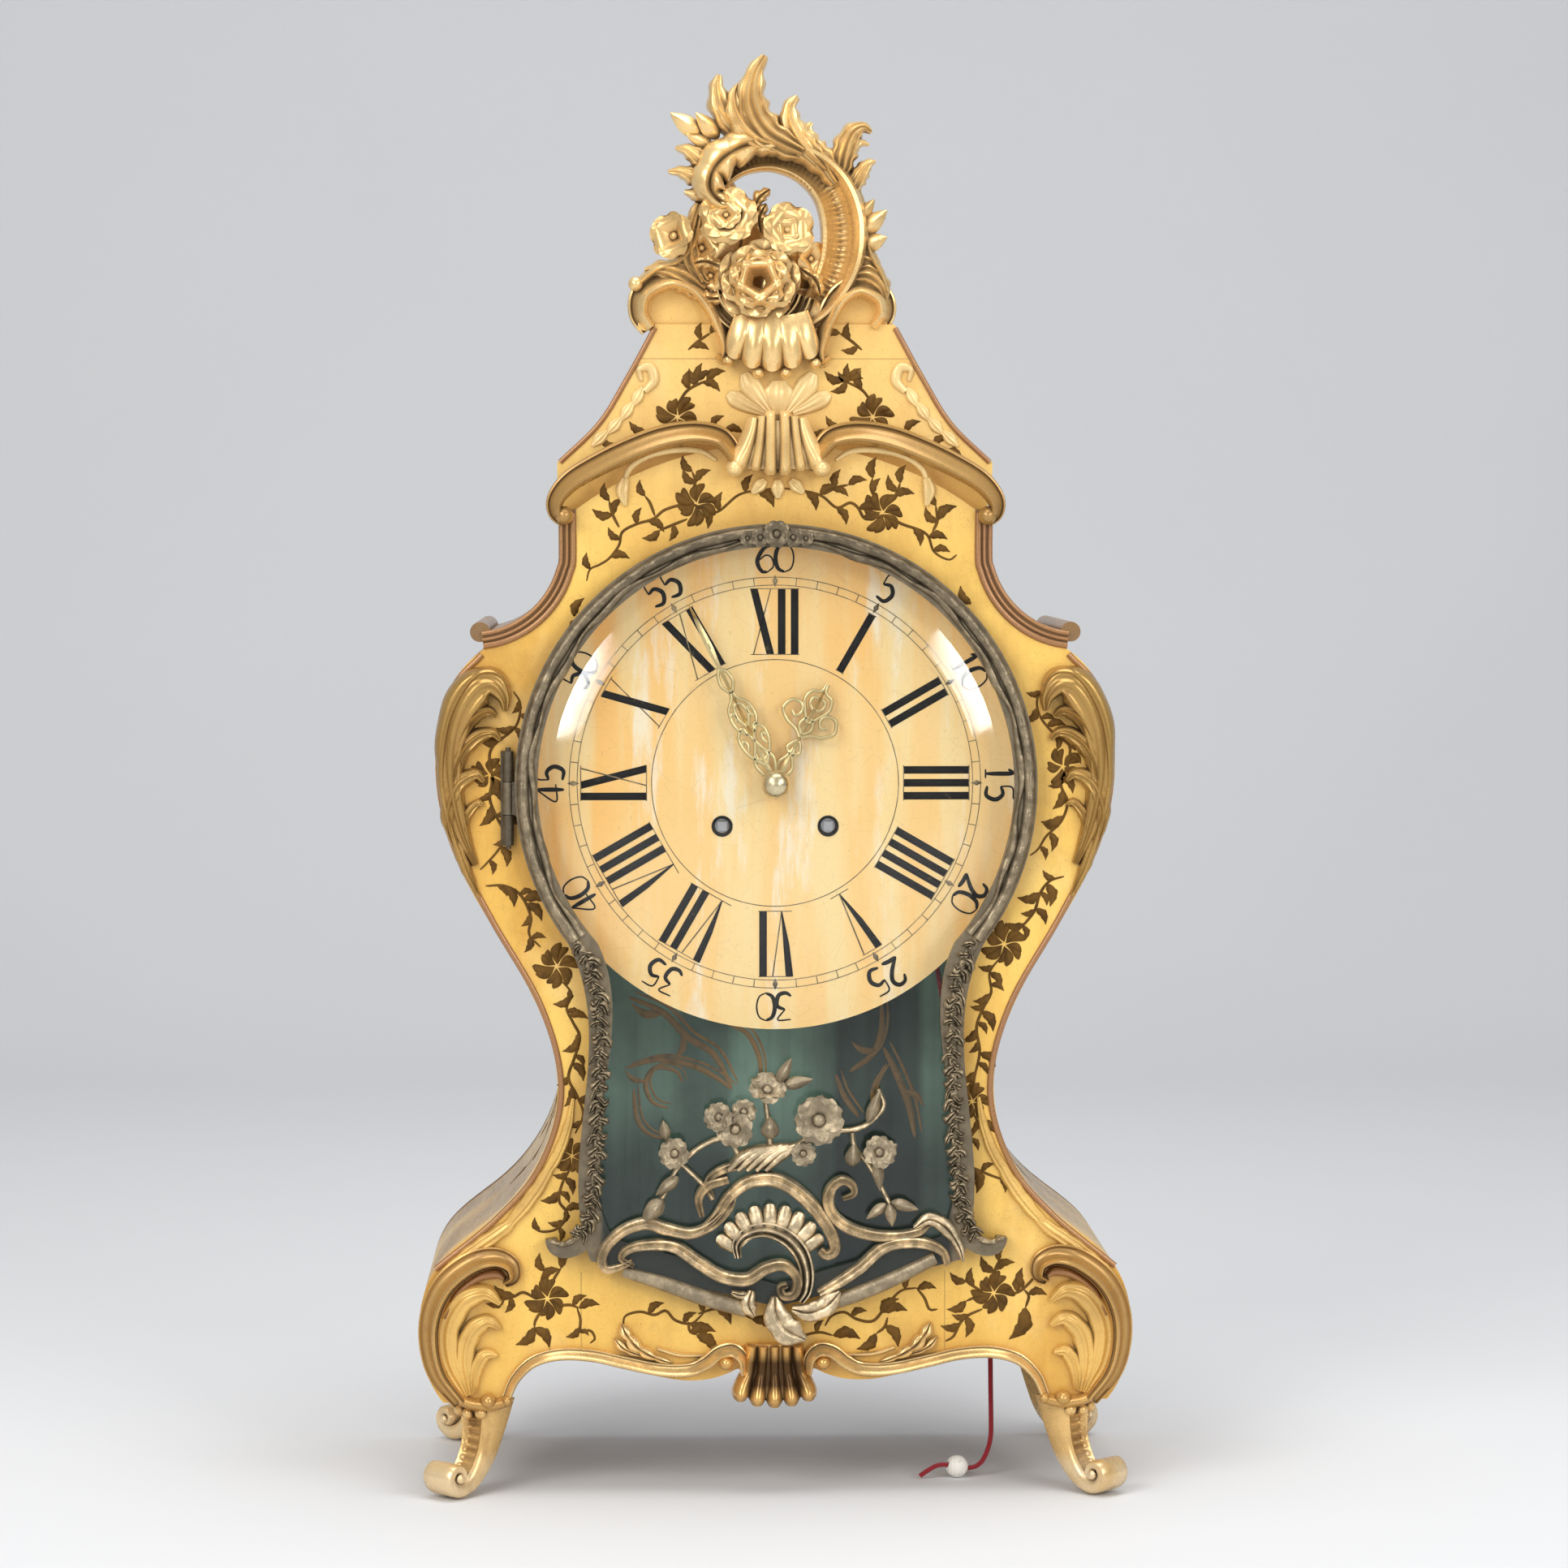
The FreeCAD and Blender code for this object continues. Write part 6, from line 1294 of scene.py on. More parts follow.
class CLOCK_OT_cornice(Operator):
    """Cornice scrolls, cartouche and the relief on the hood"""

    bl_idname = "clock.cornice"
    bl_label = "Cornice"

    def execute(self, context):
        work = Carving("cornice_carving")
        rows = [
            (117, 541, 3, 9), (121.5, 546, 4, 11), (121, 554, 5, 12), (113, 563.5, 6, 13),
            (98, 572.5, 6.5, 13.5), (80, 581, 6.8, 14), (62, 587.5, 6.8, 14), (45, 590, 6.5, 14.5),
            (31, 587.5, 6, 15), (24, 580, 5, 14), (21.5, 573, 4, 12), (21, 569, 2.8, 10),
        ]
        work.band(mirrored(rows, -1), OGEE, FACE, 1.1)
        work.band(rows, reversed_section(OGEE), FACE, 1.1)
        for side in (-1, 1):
            work.ball((side * 116.5, FACE - 5, 544.5), 5.2, OUT, 1.15)
        work.build(finish_named("gilt_old"), "case", ["cornice_mouldings"], "gilt_wood")
        self.cartouche()
        self.hood()
        return {"FINISHED"}

    def cartouche(self):
        work = Carving("cartouche_carving")
        for x in (-3.2, 4.6):
            rows = [
                (602, 2.4, 9), (599, 3.6, 13.5), (590, 4.2, 17.5), (579, 4.4, 19), (570, 4.2, 18),
                (566.5, 2.6, 13),
            ]
            work.band([(x,) + r for r in rows], ROUND, FACE, 0.8)
        inner = [
            (8.6, 599, 3.2, 12), (9.2, 590, 3.8, 14.5), (10.4, 580, 4.2, 15), (12, 572, 4, 14),
            (12.4, 569, 2.4, 11),
        ]
        outer = [
            (13, 598, 3.4, 10), (14.6, 590, 5, 12), (18, 581, 6.2, 13), (22, 573.5, 6, 14),
            (24, 569, 3.8, 11),
        ]
        for side in (-1, 1):
            for rows in (inner, outer):
                work.band(mirrored(rows, side, 1), ROUND, FACE, 0.8)
            work.ball((side * 24 + 1, FACE - 8, 570.5), 5.0, OUT, 1.4)
        work.band(
            [(1, 596.5, 15, 9), (1, 588, 18, 13), (1, 577, 23, 13), (1, 570, 21, 10)], ROUND, FACE, 1.0,
        )
        work.build(finish_named("gilt_shell"), "case", ["cornice_cartouche"], "gilt_wood")

    def hood(self):
        work = Carving("hood_relief")
        y = HOOD_FACE
        work.plume([(2, 600, 3, 1), (2, 606, 7, 2), (2, 613, 8.5, 2.4), (2, 619, 4, 1.2)], 3, y)
        for side in (-1, 1):
            for rows in (
                [(5, 602, 2, 1), (11, 610, 5, 2), (16, 617, 6, 2.2), (19, 623, 3, 1.2)],
                [(8, 601, 2, 1), (17, 605, 4, 1.8), (24, 609, 4.8, 2), (28, 612, 2.4, 1)],
            ):
                work.plume(mirrored(rows, side, 2), 3, y)
        for side in (-1, 1):
            for x, z, angle in ((76, 610, 62), (82, 602, 56), (89, 594, 48), (97, 587, 44)):
                a = math.radians(-angle)
                rows = [
                    (x - 6 * math.cos(a), z - 6 * math.sin(a), 1.2, 1.2),
                    (x, z, 3.4, 1.8),
                    (x + 6 * math.cos(a), z + 6 * math.sin(a), 0.9, 1.0),
                ]
                work.plume(mirrored(rows, side), 3, y)
            rows = [
                (72, 613, 2.0, 1.6), (67, 619, 3.0, 2.2), (69, 626, 2.8, 2.2), (75, 625, 2.0, 2),
                (74, 619, 1.2, 1.4),
            ]
            work.band(mirrored(rows, side), ROUND, y, 0.8)
        work.build(finish_named("gilt_pale"), "case", (), "gilt_wood", 55)
        lines = Carving("neck_relief")
        for x, turn in ((-6, -135), (1, -90), (8, -45)):
            a = math.radians(turn)
            rows = [(0, 2.2, 2.6), (4.5, 3.8, 3.2), (10, 1.4, 1.6)]
            lines.plume([(x + r * math.cos(a), 564 + r * math.sin(a), wide, high) for r, wide, high in rows])
        for side in (-1, 1):
            rows = [
                (84, 562, 1.6, 1.6), (80, 571, 1.8, 2), (70, 577.5, 1.9, 2), (56, 580.5, 1.9, 2),
                (42, 580, 1.7, 2), (33, 575, 1.0, 1.6),
            ]
            lines.band(mirrored(rows, side), ROUND, FACE, 1.0)
            rows = [(83, 565, 2.4, 2.6), (84.5, 558, 3.6, 3.4), (83, 550, 1.2, 2)]
            lines.plume(mirrored(rows, side), 3)
        lines.build(finish_named("gilt_pale"), "case", (), "gilt_wood")


class CLOCK_OT_shoulders(Operator):
    """Acanthus leaves on the shoulders and curls at the neck"""

    bl_idname = "clock.shoulders"
    bl_label = "Shoulders"

    lobes = [
        (
            [
                (176, 360, 2, 4), (181, 380, 4.5, 6), (176, 396, 5.5, 7), (166, 402, 3.6, 6),
                (161, 398, 1.2, 4),
            ],
            3,
        ),
        (
            [
                (179, 392, 2, 5), (174, 412, 4.5, 8), (166, 422, 4.8, 8), (157, 425, 3.2, 7),
                (152, 421, 1.2, 4),
            ],
            3,
        ),
        ([(177, 416, 2, 6), (168, 432, 4, 10), (159, 437, 3.2, 9), (154, 434, 1.2, 6)], 3),
        ([(165, 336, 1.4, 3), (172, 352, 3.4, 4), (177, 368, 3, 4), (175, 378, 1.2, 3)], 3),
        ([(172, 366, 1.4, 3), (171, 378, 3, 4.5), (165, 386, 2.6, 4), (161, 385, 1, 3)], 3),
    ]

    def execute(self, context):
        work = Carving("shoulder_carving")
        for side in (-1, 1):
            rows = [
                (166, 352, 2, 3), (174, 372, 5, 5), (179, 396, 7, 7), (179, 418, 9, 9), (174, 437, 11, 11),
                (165, 450, 11, 12), (156, 452, 8, 11), (150, 445, 4.5, 9), (149, 437, 1.5, 6),
            ]
            work.plume(mirrored(rows, side), 3, FACE, 0.03, 0.3)
            rows = [
                (164, 334, 1.2, 3), (173, 352, 2.0, 4.5), (181.5, 380, 2.4, 6), (184.5, 404, 2.6, 8),
                (181.5, 428, 2.8, 10), (174, 446, 3, 11.5), (164, 457.5, 3, 11.5), (154, 458, 2.6, 10),
                (148, 451, 1.8, 8),
            ]
            work.band(mirrored(rows, side), ROUND, FACE, 1.2)
            for rows, reeds in self.lobes:
                work.plume(mirrored(rows, side), reeds, FACE, 0.05, 0.3)
        work.build(finish_named("gilt_leafy"), "case", ["shoulder_leaves"], "gilt_wood")
        self.edges()
        return {"FINISHED"}

    def edges(self):
        """Rubbed red-brown bead along the edges of the front and the hood, and painted shade inside the top
        of each corner scroll.
        """
        work = Carving("edge_bead_and_scroll_shade")
        flank = [
            (191, 127), (156, 156), (132.5, 185), (121, 226), (131.5, 272), (160, 323), (181.5, 367),
            (188, 408), (180.5, 448), (164, 468),
        ]
        hood = [(120.5, 574), (99, 595), (84, 619), (68, 648)]
        peak, hollow, neck = (161, 471), (127.2, 486.9), (110, 520)
        # A dark band inside the top curl of each corner scroll: painted shade under its overhang.
        scroll = [(184, 100, 1.6), (177.5, 113, 2.1), (166, 122, 2.6), (156, 124.5, 3.1), (151, 122, 1.6)]
        for side in (-1, 1):
            rows = [(side * x, z, wide, 5.5) for x, z, wide in scroll]
            work.band(rows, ROUND, FACE, 1.0)
            for out, wide in ((1.8, 1.9), (5.2, 1.2), (8.4, 1.4)):
                rows = [(side * x, z, wide, 1.8) for x, z in self.offset(peak, hollow, neck, out)]
                work.band(rows + [(side * (neck[0] + out), 546, wide, 1.8)], ROUND, FACE, 1.2)
            rows = [(side * (x - 2.0), z, 1.7, 1.5) for x, z in flank]
            work.band(rows, ROUND, FACE, 1.5)
            rows = [(side * (x - 1.6), z, 1.5, 1.4) for x, z in hood]
            work.band(rows, ROUND, HOOD_FACE, 1.5)
        work.build(finish_named("gilt_edge"), "case", (), "gilt_wood")

    def offset(self, start, middle, end, out):
        """Points on the hollow of the neck, moved outwards."""
        a, b, c = (np.array(p, float) for p in (start, middle, end))
        square = np.array([2 * (b - a), 2 * (c - a)])
        centre = np.linalg.solve(square, np.array([b @ b - a @ a, c @ c - a @ a]))
        radius = np.linalg.norm(a - centre) - out
        first, last = (math.atan2(*(p - centre)[::-1]) for p in (a, c))
        last += 2 * math.pi * round((first - last) / (2 * math.pi))
        return [
            tuple(
                centre + radius * np.array((math.cos(t), math.sin(t))),
            ) for t in np.linspace(first, last, 12)
        ]


class CLOCK_OT_base(Operator):
    """Corner scrolls, apron shell and apron mouldings"""

    bl_idname = "clock.base"
    bl_label = "Base"

    apron_edge = [
        (150, 55, 2.6, 6), (145, 66, 3, 6.5), (135, 75.5, 3.3, 7), (120, 79.5, 3.5, 7), (102, 78.6, 3.5, 7),
        (84, 74.5, 3.5, 7), (64, 70.5, 3.6, 7.5), (48, 70.5, 3.8, 8), (39, 74.5, 4, 10), (31.5, 80.5, 4, 12),
        (24, 82, 4, 14), (18.5, 77, 3.4, 13), (17.5, 68, 2.4, 11),
    ]

    corner_scroll = [
        (176, 52, 4, 9), (188, 68, 5.2, 11), (192.5, 86, 5.8, 12), (191, 104, 6.2, 13),
        (183, 120, 6.5, 13.5), (169, 131, 6.3, 13.5), (156, 134, 5.6, 13), (147, 130, 4.6, 12.5),
        (145.5, 122.5, 3.4, 12), (150.5, 119, 2.2, 11),
    ]

    apron_leaves = [
        ([(58, 74, 1.5, 3.5), (68, 77.5, 3, 5), (77, 83, 4, 6), (83, 90, 3.6, 5), (86, 96, 1.2, 3)], 4),
        ([(74, 78, 1.4, 3), (84, 82, 2.8, 4.5), (90, 88, 1.0, 2.5)], 2),
    ]

    edge_lobes = [
        [(189, 128, 2, 2.5), (172, 140, 4, 3.4), (156, 151, 4, 3.4), (146, 160, 1.2, 2)],
        [(160, 147, 2, 2.5), (145, 163, 4, 3.2), (133, 180, 3.6, 3), (126, 196, 1.2, 2)],
        [(140, 171, 1.6, 2), (127, 190, 3.2, 2.8), (120, 208, 2.6, 2.4), (117, 224, 1, 1.6)],
    ]

    corner_lobes = [
        (
            [
                (172, 56, 2.5, 3), (181, 75, 6, 4), (182, 94, 7, 5), (174, 109, 7, 6.5), (162, 114, 5, 7),
                (153, 108, 1.6, 5),
            ],
            3,
        ),
        ([(170, 57, 2.5, 3), (173, 75, 5.5, 4), (170, 90, 6, 5), (161, 98, 4.6, 6), (153, 94, 1.4, 4)], 3),
        ([(168, 58, 2, 3), (167, 70, 4, 4), (162, 79, 4, 5), (155, 79, 1.4, 4)], 3),
    ]

    def execute(self, context):
        self.corners()
        self.apron()
        self.shell()
        return {"FINISHED"}

    def corners(self):
        work = Carving("corner_scrolls")
        leaves = Carving("corner_leaves")
        for side in (-1, 1):
            work.band(
                mirrored(self.corner_scroll, side), COVE if side < 0 else reversed_section(COVE), FACE, 1.1,
            )
            for rows, reeds in self.corner_lobes:
                leaves.plume(mirrored(rows, side), reeds, FACE, 0.05, 0.3)
            for x, z, r in ((160, 53.5, 4.6), (149.5, 53.5, 3.2)):
                work.ball((side * x, FACE - 4, z), r, OUT, 1.3)
            for rows in self.edge_lobes:
                rows = [(r[0] - 4.5, r[1] - 2.0) + r[2:] for r in rows]
                leaves.plume(mirrored(rows, side), 3, FACE, 0.06, 0.3)
            work.band(
                mirrored([(176, 54, 3, 7), (168, 51.5, 3.5, 8), (158, 51, 3.5, 8), (149, 53, 3, 7)], side),
                ROUND, FACE, 1.0,
            )
        work.build(finish_named("gilt_soft"), "case", ["base_scrolls"], "gilt_wood")
        leaves.build(finish_named("gilt_matt"), "case", (), "gilt_wood")

    def apron(self):
        work = Carving("apron_carving")
        for side in (-1, 1):
            section = OGEE if side < 0 else reversed_section(OGEE)
            work.band(mirrored(self.apron_edge, side), section, FACE, 1.0)
            for rows, lobes in self.apron_leaves:
                work.leaf(mirrored(rows, side), lobes, (1, 1), FACE, 0.6, 0.45, 0.45)
            work.band(
                mirrored([(40, 78, 1.2, 2.5), (54, 78.5, 1.4, 3), (66, 82, 1.2, 2.5)], side), ROUND, FACE,
                1.0,
            )
        work.build(finish_named("gilt"), "case", ["apron_mouldings"], "gilt_wood")

    def shell(self):
        work = Carving("shell_carving")
        for k in range(-2, 3):
            rows = [
                (6.4 * k, 84, 3.6, 12), (6.6 * k, 77, 3.8, 10), (7.2 * k, 69, 4.2, 9),
                (8.6 * k, 60 + 0.5 * k * k, 5.0, 12), (9.4 * k, 54 + 0.8 * k * k, 5.2, 14),
                (9.5 * k, 50 + 0.9 * k * k, 3.4, 11),
            ]
            work.band([(r[0] - 1,) + r[1:] for r in rows], ROUND, FACE, 0.8)
        work.band([(-1, 85, 15, 8), (-1, 74, 17, 7), (-1, 62, 20, 8), (-1, 55, 21, 8)], ROUND, FACE, 1.0)
        for side in (-1, 1):
            work.ball((side * 27 - 1, FACE - 8, 75), 4.2, OUT, 1.3)
        work.build(finish_named("gilt_worn"), "case", ["apron_shell"], "gilt_wood")


class CLOCK_OT_feet(Operator):
    """Four cabriole feet with scrolled toes"""

    bl_idname = "clock.feet"
    bl_label = "Feet"

    corner_x = 163.5
    corner_y = 65.0
    steps = 90

    leg_section = [
        (-1, 0.35), (-0.92, 0.8), (-0.76, 1.0), (-0.6, 0.9), (-0.5, 0.62), (-0.2, 0.5), (0.2, 0.5),
        (0.5, 0.62), (0.6, 0.9), (0.76, 1.0), (0.92, 0.8), (1, 0.35), (1, -0.55), (0.85, -0.95), (0.4, -1.0),
        (-0.4, -1.0), (-0.85, -0.95), (-1, -0.55),
    ]

    leg = [
        (-2, 53, 14, 12), (-1.5, 44, 11.5, 10.5), (0.5, 33, 10, 8.5), (4, 23, 9.6, 7), (9.5, 14.5, 9.6, 5.8),
        (16.5, 8, 9.8, 4.8), (24, 5.2, 10.2, 4.2), (30.5, 7.2, 10.6, 3.8), (33.2, 12.5, 10.9, 3.4),
        (30.5, 17.2, 11.1, 3.0), (25.8, 17.2, 11.2, 2.6), (23.6, 13.4, 11.3, 2.2), (25.8, 10.8, 11.4, 1.8),
        (28, 12.2, 11.4, 1.3),
    ]

    def execute(self, context):
        for name, across, along in (
            ("front_left", -1, -1),
            ("front_right", 1, -1),
            ("rear_left", -1, 1),
            ("rear_right", 1, 1),
        ):
            self.foot(name, across, along)
        return {"FINISHED"}

    def foot(self, name, across, along):
        """Built pointing along X, then turned to its corner."""
        work = Carving("foot_carving_" + name)
        line = smooth(self.leg, self.steps)
        level = np.zeros(self.steps)
        flat = unit(np.gradient(line[:, :2], axis=0))
        spine = np.stack([line[:, 0], level, line[:, 1]], 1)
        out = np.stack([-flat[:, 1], level, flat[:, 0]], 1)
        aside = np.broadcast_to(np.array((0.0, 1.0, 0.0)), spine.shape)

        def scored(v, a, h):
            front = (h > 0.4) * (np.abs(a) < 0.55)
            return 1.0 * front * np.sin(v * 2 * np.pi * 17) * (v > 0.08) * (v < 0.6)

        work.strip(spine, aside, out, line[:, 2], line[:, 3], self.leg_section, scored)
        for side in (-1, 1):
            work.ball((27.6, side * 11.6, 12.6), 2.6, (0, side, 0), 0.7)
            work.ball((9.5, side * 8.5, 46.5), 3.6, (1, 0, 0), 0.9)
        work.ball((11.5, 0, 45.5), 3.2, (1, 0, 0), 0.9)
        work.strip(
            np.array([(-1.5, y, 49.5) for y in np.linspace(-13.5, 13.5, 9)]),
            np.broadcast_to(np.array((0.0, 0.0, 1.0)), (9, 3)),
            np.array((1.0, 0.0, 0.0)),
            np.full(9, 3.0),
            np.full(9, 12.5),
            ROUND,
        )
        angle = math.atan2(along, across)
        c, s = math.cos(angle), math.sin(angle)
        middle = np.array((across * self.corner_x, along * self.corner_y, 0.0)) * MM

        def turned(p):
            q = np.stack([p[:, 0] * c - p[:, 1] * s, p[:, 0] * s + p[:, 1] * c, p[:, 2]], 1)
            return q + middle

        node = "foot_" + name
        work.build(finish_named("gilt_foot"), "case", [node], "gilt_wood", turn=turned)


# The door's mount, in pixels of the enlarged part: places, then half widths and reliefs along them.
MOUNT_SCROLLS = [
    (
        [
            (330, 745), (285, 765), (245, 770), (232, 735), (255, 685), (310, 640), (380, 622), (440, 640),
            (520, 655), (590, 625), (640, 575), (655, 535),
        ],
        (1.2, 2.2, 2.6, 3.0, 2.4, 2.0), (4, 6, 6, 5), MOUNT_RIM,
    ),
    (
        [
            (335, 760), (295, 735), (320, 705), (390, 692), (470, 700), (545, 750), (620, 795), (700, 805),
            (760, 770), (820, 760), (862, 800), (855, 850), (820, 858), (808, 832), (830, 822),
        ],
        (1.0, 2.4, 3.0, 3.0, 2.6, 2.2, 1.2), (4, 6, 7, 7, 8), MOUNT_RIM,
    ),
    (
        [(590, 545), (575, 490), (610, 455), (680, 432), (750, 425)], (1.2, 1.8, 2.2, 2.0), (4, 5, 5),
        MOUNT_RIM,
    ),
    (
        [
            (560, 640), (600, 600), (645, 535), (705, 490), (780, 480), (850, 510), (915, 570), (965, 640),
            (985, 705), (960, 728), (935, 712),
        ],
        (1.6, 2.6, 3.4, 3.2, 2.6, 2.0), (5, 6, 7, 7, 5), MOUNT_RIM,
    ),
    (
        [
            (672, 735), (668, 690), (700, 655), (760, 642), (825, 665), (872, 715), (893, 780), (890, 840),
            (870, 875),
        ],
        (1.6, 3.0, 4.0, 4.2, 3.4, 2.4), (5, 7, 7, 7), REEDS,
    ),
    (
        [
            (1010, 545), (1045, 530), (1040, 500), (1005, 485), (970, 515), (965, 570), (1000, 620),
            (1070, 655), (1160, 668), (1250, 655), (1290, 625),
        ],
        (1.0, 1.8, 2.4, 2.8, 2.8, 2.4, 1.6), (4, 6, 7, 6, 5), MOUNT_RIM,
    ),
    (
        [
            (935, 855), (1000, 815), (1065, 770), (1130, 712), (1190, 690), (1270, 690), (1330, 715),
            (1350, 760),
        ],
        (2.4, 2.8, 2.8, 2.6, 1.6), (5, 6, 6, 5), MOUNT_RIM,
    ),
]
MOUNT_SIDE_LEAF = [(1240, 640), (1290, 612), (1345, 640), (1385, 700), (1400, 750)]
MOUNT_SHELL = (775, 775)
MOUNT_DROPS = [
    ([(790, 860), (795, 915), (825, 965), (890, 1000)], (3.0, 8.0, 8.6, 2.0), (4, 6, 3), 3),
    ([(845, 900), (900, 910), (955, 890), (1000, 845)], (2.6, 6.0, 6.0, 1.6), (4, 6, 3), 3),
    ([(715, 840), (705, 885), (725, 925)], (2.4, 4.8, 1.4), (3, 5, 2), 2),
    ([(650, 845), (680, 855), (705, 850)], (1.4, 2.6, 0.8), (3, 4, 2), 2),
]
MOUNT_STEMS = [
    ([(780, 405), (775, 360), (770, 300), (760, 220)], (1.6, 1.2)),
    ([(760, 410), (690, 425), (640, 350), (560, 370), (480, 440), (440, 520), (390, 590)], (1.5, 1.0)),
    ([(800, 405), (880, 360), (920, 310), (1000, 325), (1080, 310), (1140, 250), (1125, 190)], (1.5, 1.1)),
    ([(1040, 330), (1050, 380), (1090, 430), (1130, 500), (1160, 560)], (1.2, 1.0)),
    ([(590, 545), (560, 500), (510, 450), (460, 400), (435, 310)], (1.3, 0.9)),
]
MOUNT_REED = [(700, 450, 1), (755, 400, 1), (835, 372, 0.7)]
MOUNT_REED_SHIFTS = (-60, -30, 0, 30, 60)
MOUNT_BEND = [(555, 600), (545, 540), (575, 500), (640, 480)]
MOUNT_SILLS = [
    ([(300, 780), (420, 815), (560, 865), (700, 905)], (2.6, 3.8, 3.8)),
    ([(1310, 740), (1180, 805), (1060, 855), (960, 890)], (3.0, 3.8, 3.4)),
]
# Flowers: pixel, radius, turn, petals and tilt. Buds: the pixels of root and tip, and radius.
MOUNT_FLOWERS = [
    (930, 288, 12.5, 10, 6, (0.1, -1, 0.1)), (930, 288, 7, 40, 5, (0.1, -1, 0.1)),
    (665, 315, 9.5, 0, 5, (-0.2, -1, 0)), (612, 278, 7.5, 30, 5, (-0.3, -1, 0.2)),
    (690, 262, 6.5, 60, 5, (0, -1, 0.3)), (765, 195, 9.5, 90, 5, (0.1, -0.8, 0.7)),
    (470, 395, 8, 20, 5, (-0.3, -1, 0.2)), (880, 395, 6.5, 45, 5, (0.2, -1, 0)),
    (1125, 395, 8.5, 15, 5, (0.2, -1, 0.3)),
]
MOUNT_BUDS = [
    ((775, 350), (775, 275), 5.2), ((800, 170), (845, 85), 3.4), ((815, 175), (915, 155), 3.6),
    ((440, 350), (430, 285), 3.2), ((480, 470), (405, 530), 3.6), ((430, 540), (360, 625), 5.0),
    ((1040, 440), (1045, 365), 4.4), ((1090, 300), (1130, 190), 3.2), ((1150, 400), (1185, 365), 3.0),
    ((1150, 560), (1085, 610), 3.0), ((1160, 560), (1170, 635), 3.4), ((1165, 555), (1255, 580), 3.4),
    ((1120, 420), (1130, 520), 3.2),
]


class CLOCK_OT_door(Operator):
    """Chased border and openwork mount of the glazed door"""

    bl_idname = "clock.door"
    bl_label = "Door"

    mount_base = DOOR_FACE + 0.6
    scroll_spread = 1.22
    # The round of the border: first angle and sweep in degrees, and its two radii.
    arch_start = -37.5
    arch_sweep = 255
    arch_radius = 139.6
    inner_radius = 134.6

    skirt = [
        (110.5, 311.0, 5.4, 5.5), (103.5, 298, 5.2, 5.5), (98.6, 280, 5.0, 5.5), (97.3, 258, 5.0, 5.5),
        (97.6, 232, 5.0, 5.5), (98.6, 205, 5.0, 5.5), (100.4, 180, 5.0, 5.5), (103, 160, 4.6, 5),
        (108, 149, 4.0, 5), (117, 142.5, 3.2, 5), (126, 144.5, 2, 4),
    ]

    def execute(self, context):
        self.border()
        self.mount()
        return {"FINISHED"}

    def border(self):
        work = Carving("door_border")
        y = DOOR_FACE + 1.0

        def knurl(v, a, h):
            return 0.9 * (h > 0) * np.sin(v * 2 * np.pi * 34 + 2.6 * a) * (1 - a**2)

        def rock(v, a, h):
            inside = np.exp(-(((a + 0.75) / 0.5) ** 2))
            coarse = 0.5 * np.sin(v * 2 * np.pi * 23 + 3 * a) * inside
            return (h > 0) * (coarse + 0.25 * np.sin(v * 2 * np.pi * 61))

        arch = []
        r = self.arch_radius
        for i in range(33):
            t = math.radians(self.arch_start + self.arch_sweep * i / 32)
            arch.append((r * math.cos(t), DIAL_HEIGHT + r * math.sin(t), 3.4, 4.6, y))
        work.band(arch, ROUND, y, 1.3, rock)
        inner = []
        for i in range(129):
            t = math.radians(self.arch_start + self.arch_sweep * i / 128)
            r = self.inner_radius + 0.9 * math.sin(9 * t) + 0.7 * math.sin(23 * t + 1)
            wide = 2.0 + 0.6 * math.sin(17 * t)
            inner.append((r * math.cos(t), DIAL_HEIGHT + r * math.sin(t), wide, 3.4, y))
        work.band(inner, ROUND, y, 1.1, rock)
        for side in (-1, 1):
            rows = [(side * r[0], r[1], 0.55 * r[2], 0.6 * r[3], y) for r in self.skirt]
            work.band(rows, ROUND, y, 0.9, knurl)
            self.garland(work, rows, y)
        for x, z, r in ((0, 534.5, 7), (-9, 532.5, 5), (9, 532.5, 5), (-16, 532, 4), (16, 532, 4)):
            work.bloom((x, y - 3.5, z), r, 5, OUT, 0.3, 90, 0.3)
        work.build(finish_named("bronze_border"), "door", (), "gilt_bronze")

    def garland(self, work, rows, y):
        """Small leaves lying either side of a skirt's core."""
        line = smooth([r[:2] for r in rows], 60)
        tangent = unit(np.gradient(line, axis=0))
        for i in range(1, 54):
            side = 1 if i % 2 else -1
            normal = np.array((tangent[i, 1], -tangent[i, 0])) * side
            reach = 4.9 + 1.5 * math.sin(2.9 * i) * math.sin(1.1 * i)
            root = line[i] - normal * 0.8
            belly = line[i] + normal * 0.55 * reach + tangent[i] * (2.2 + 1.6 * math.sin(4.1 * i))
            tip = line[i] + normal * reach + tangent[i] * (4.4 + 2.4 * math.sin(3.3 * i))
            leaf = [
                (root[0], root[1], 1.2, 4.4, y),
                (belly[0], belly[1], 2.6 + 0.7 * math.sin(5.3 * i), 4.8 + 1.2 * math.sin(2.3 * i), y),
                (tip[0], tip[1], 0.6, 3.2, y),
            ]
            work.leaf(leaf, 2, (1, 1), y, 0.4, 0.45, 0.5, 0.3)

    def rows(self, points, wide, high, spread, depth):
        """Rows along pixels, with half widths and reliefs spread evenly over them."""
        share = np.linspace(0, 1, len(points))
        wide = np.interp(share, np.linspace(0, 1, len(wide)), wide)
        high = np.interp(share, np.linspace(0, 1, len(high)), high)
        return [
            mount_spot(*p) + (spread * float(w), float(h), depth) for p, w, h in zip(points, wide, high)
        ]

    def path(self, work, points, wide, high, section):
        y = self.mount_base
        work.band(self.rows(points, wide, high, self.scroll_spread, y), section, y, 0.8)

    def leaf(self, work, points, wide, lobes, high, lift):
        y = self.mount_base
        work.leaf(self.rows(points, wide, high, 1, y - lift), lobes, (1, 1), y, 0.3, 0.16, 0.25, 0.6)

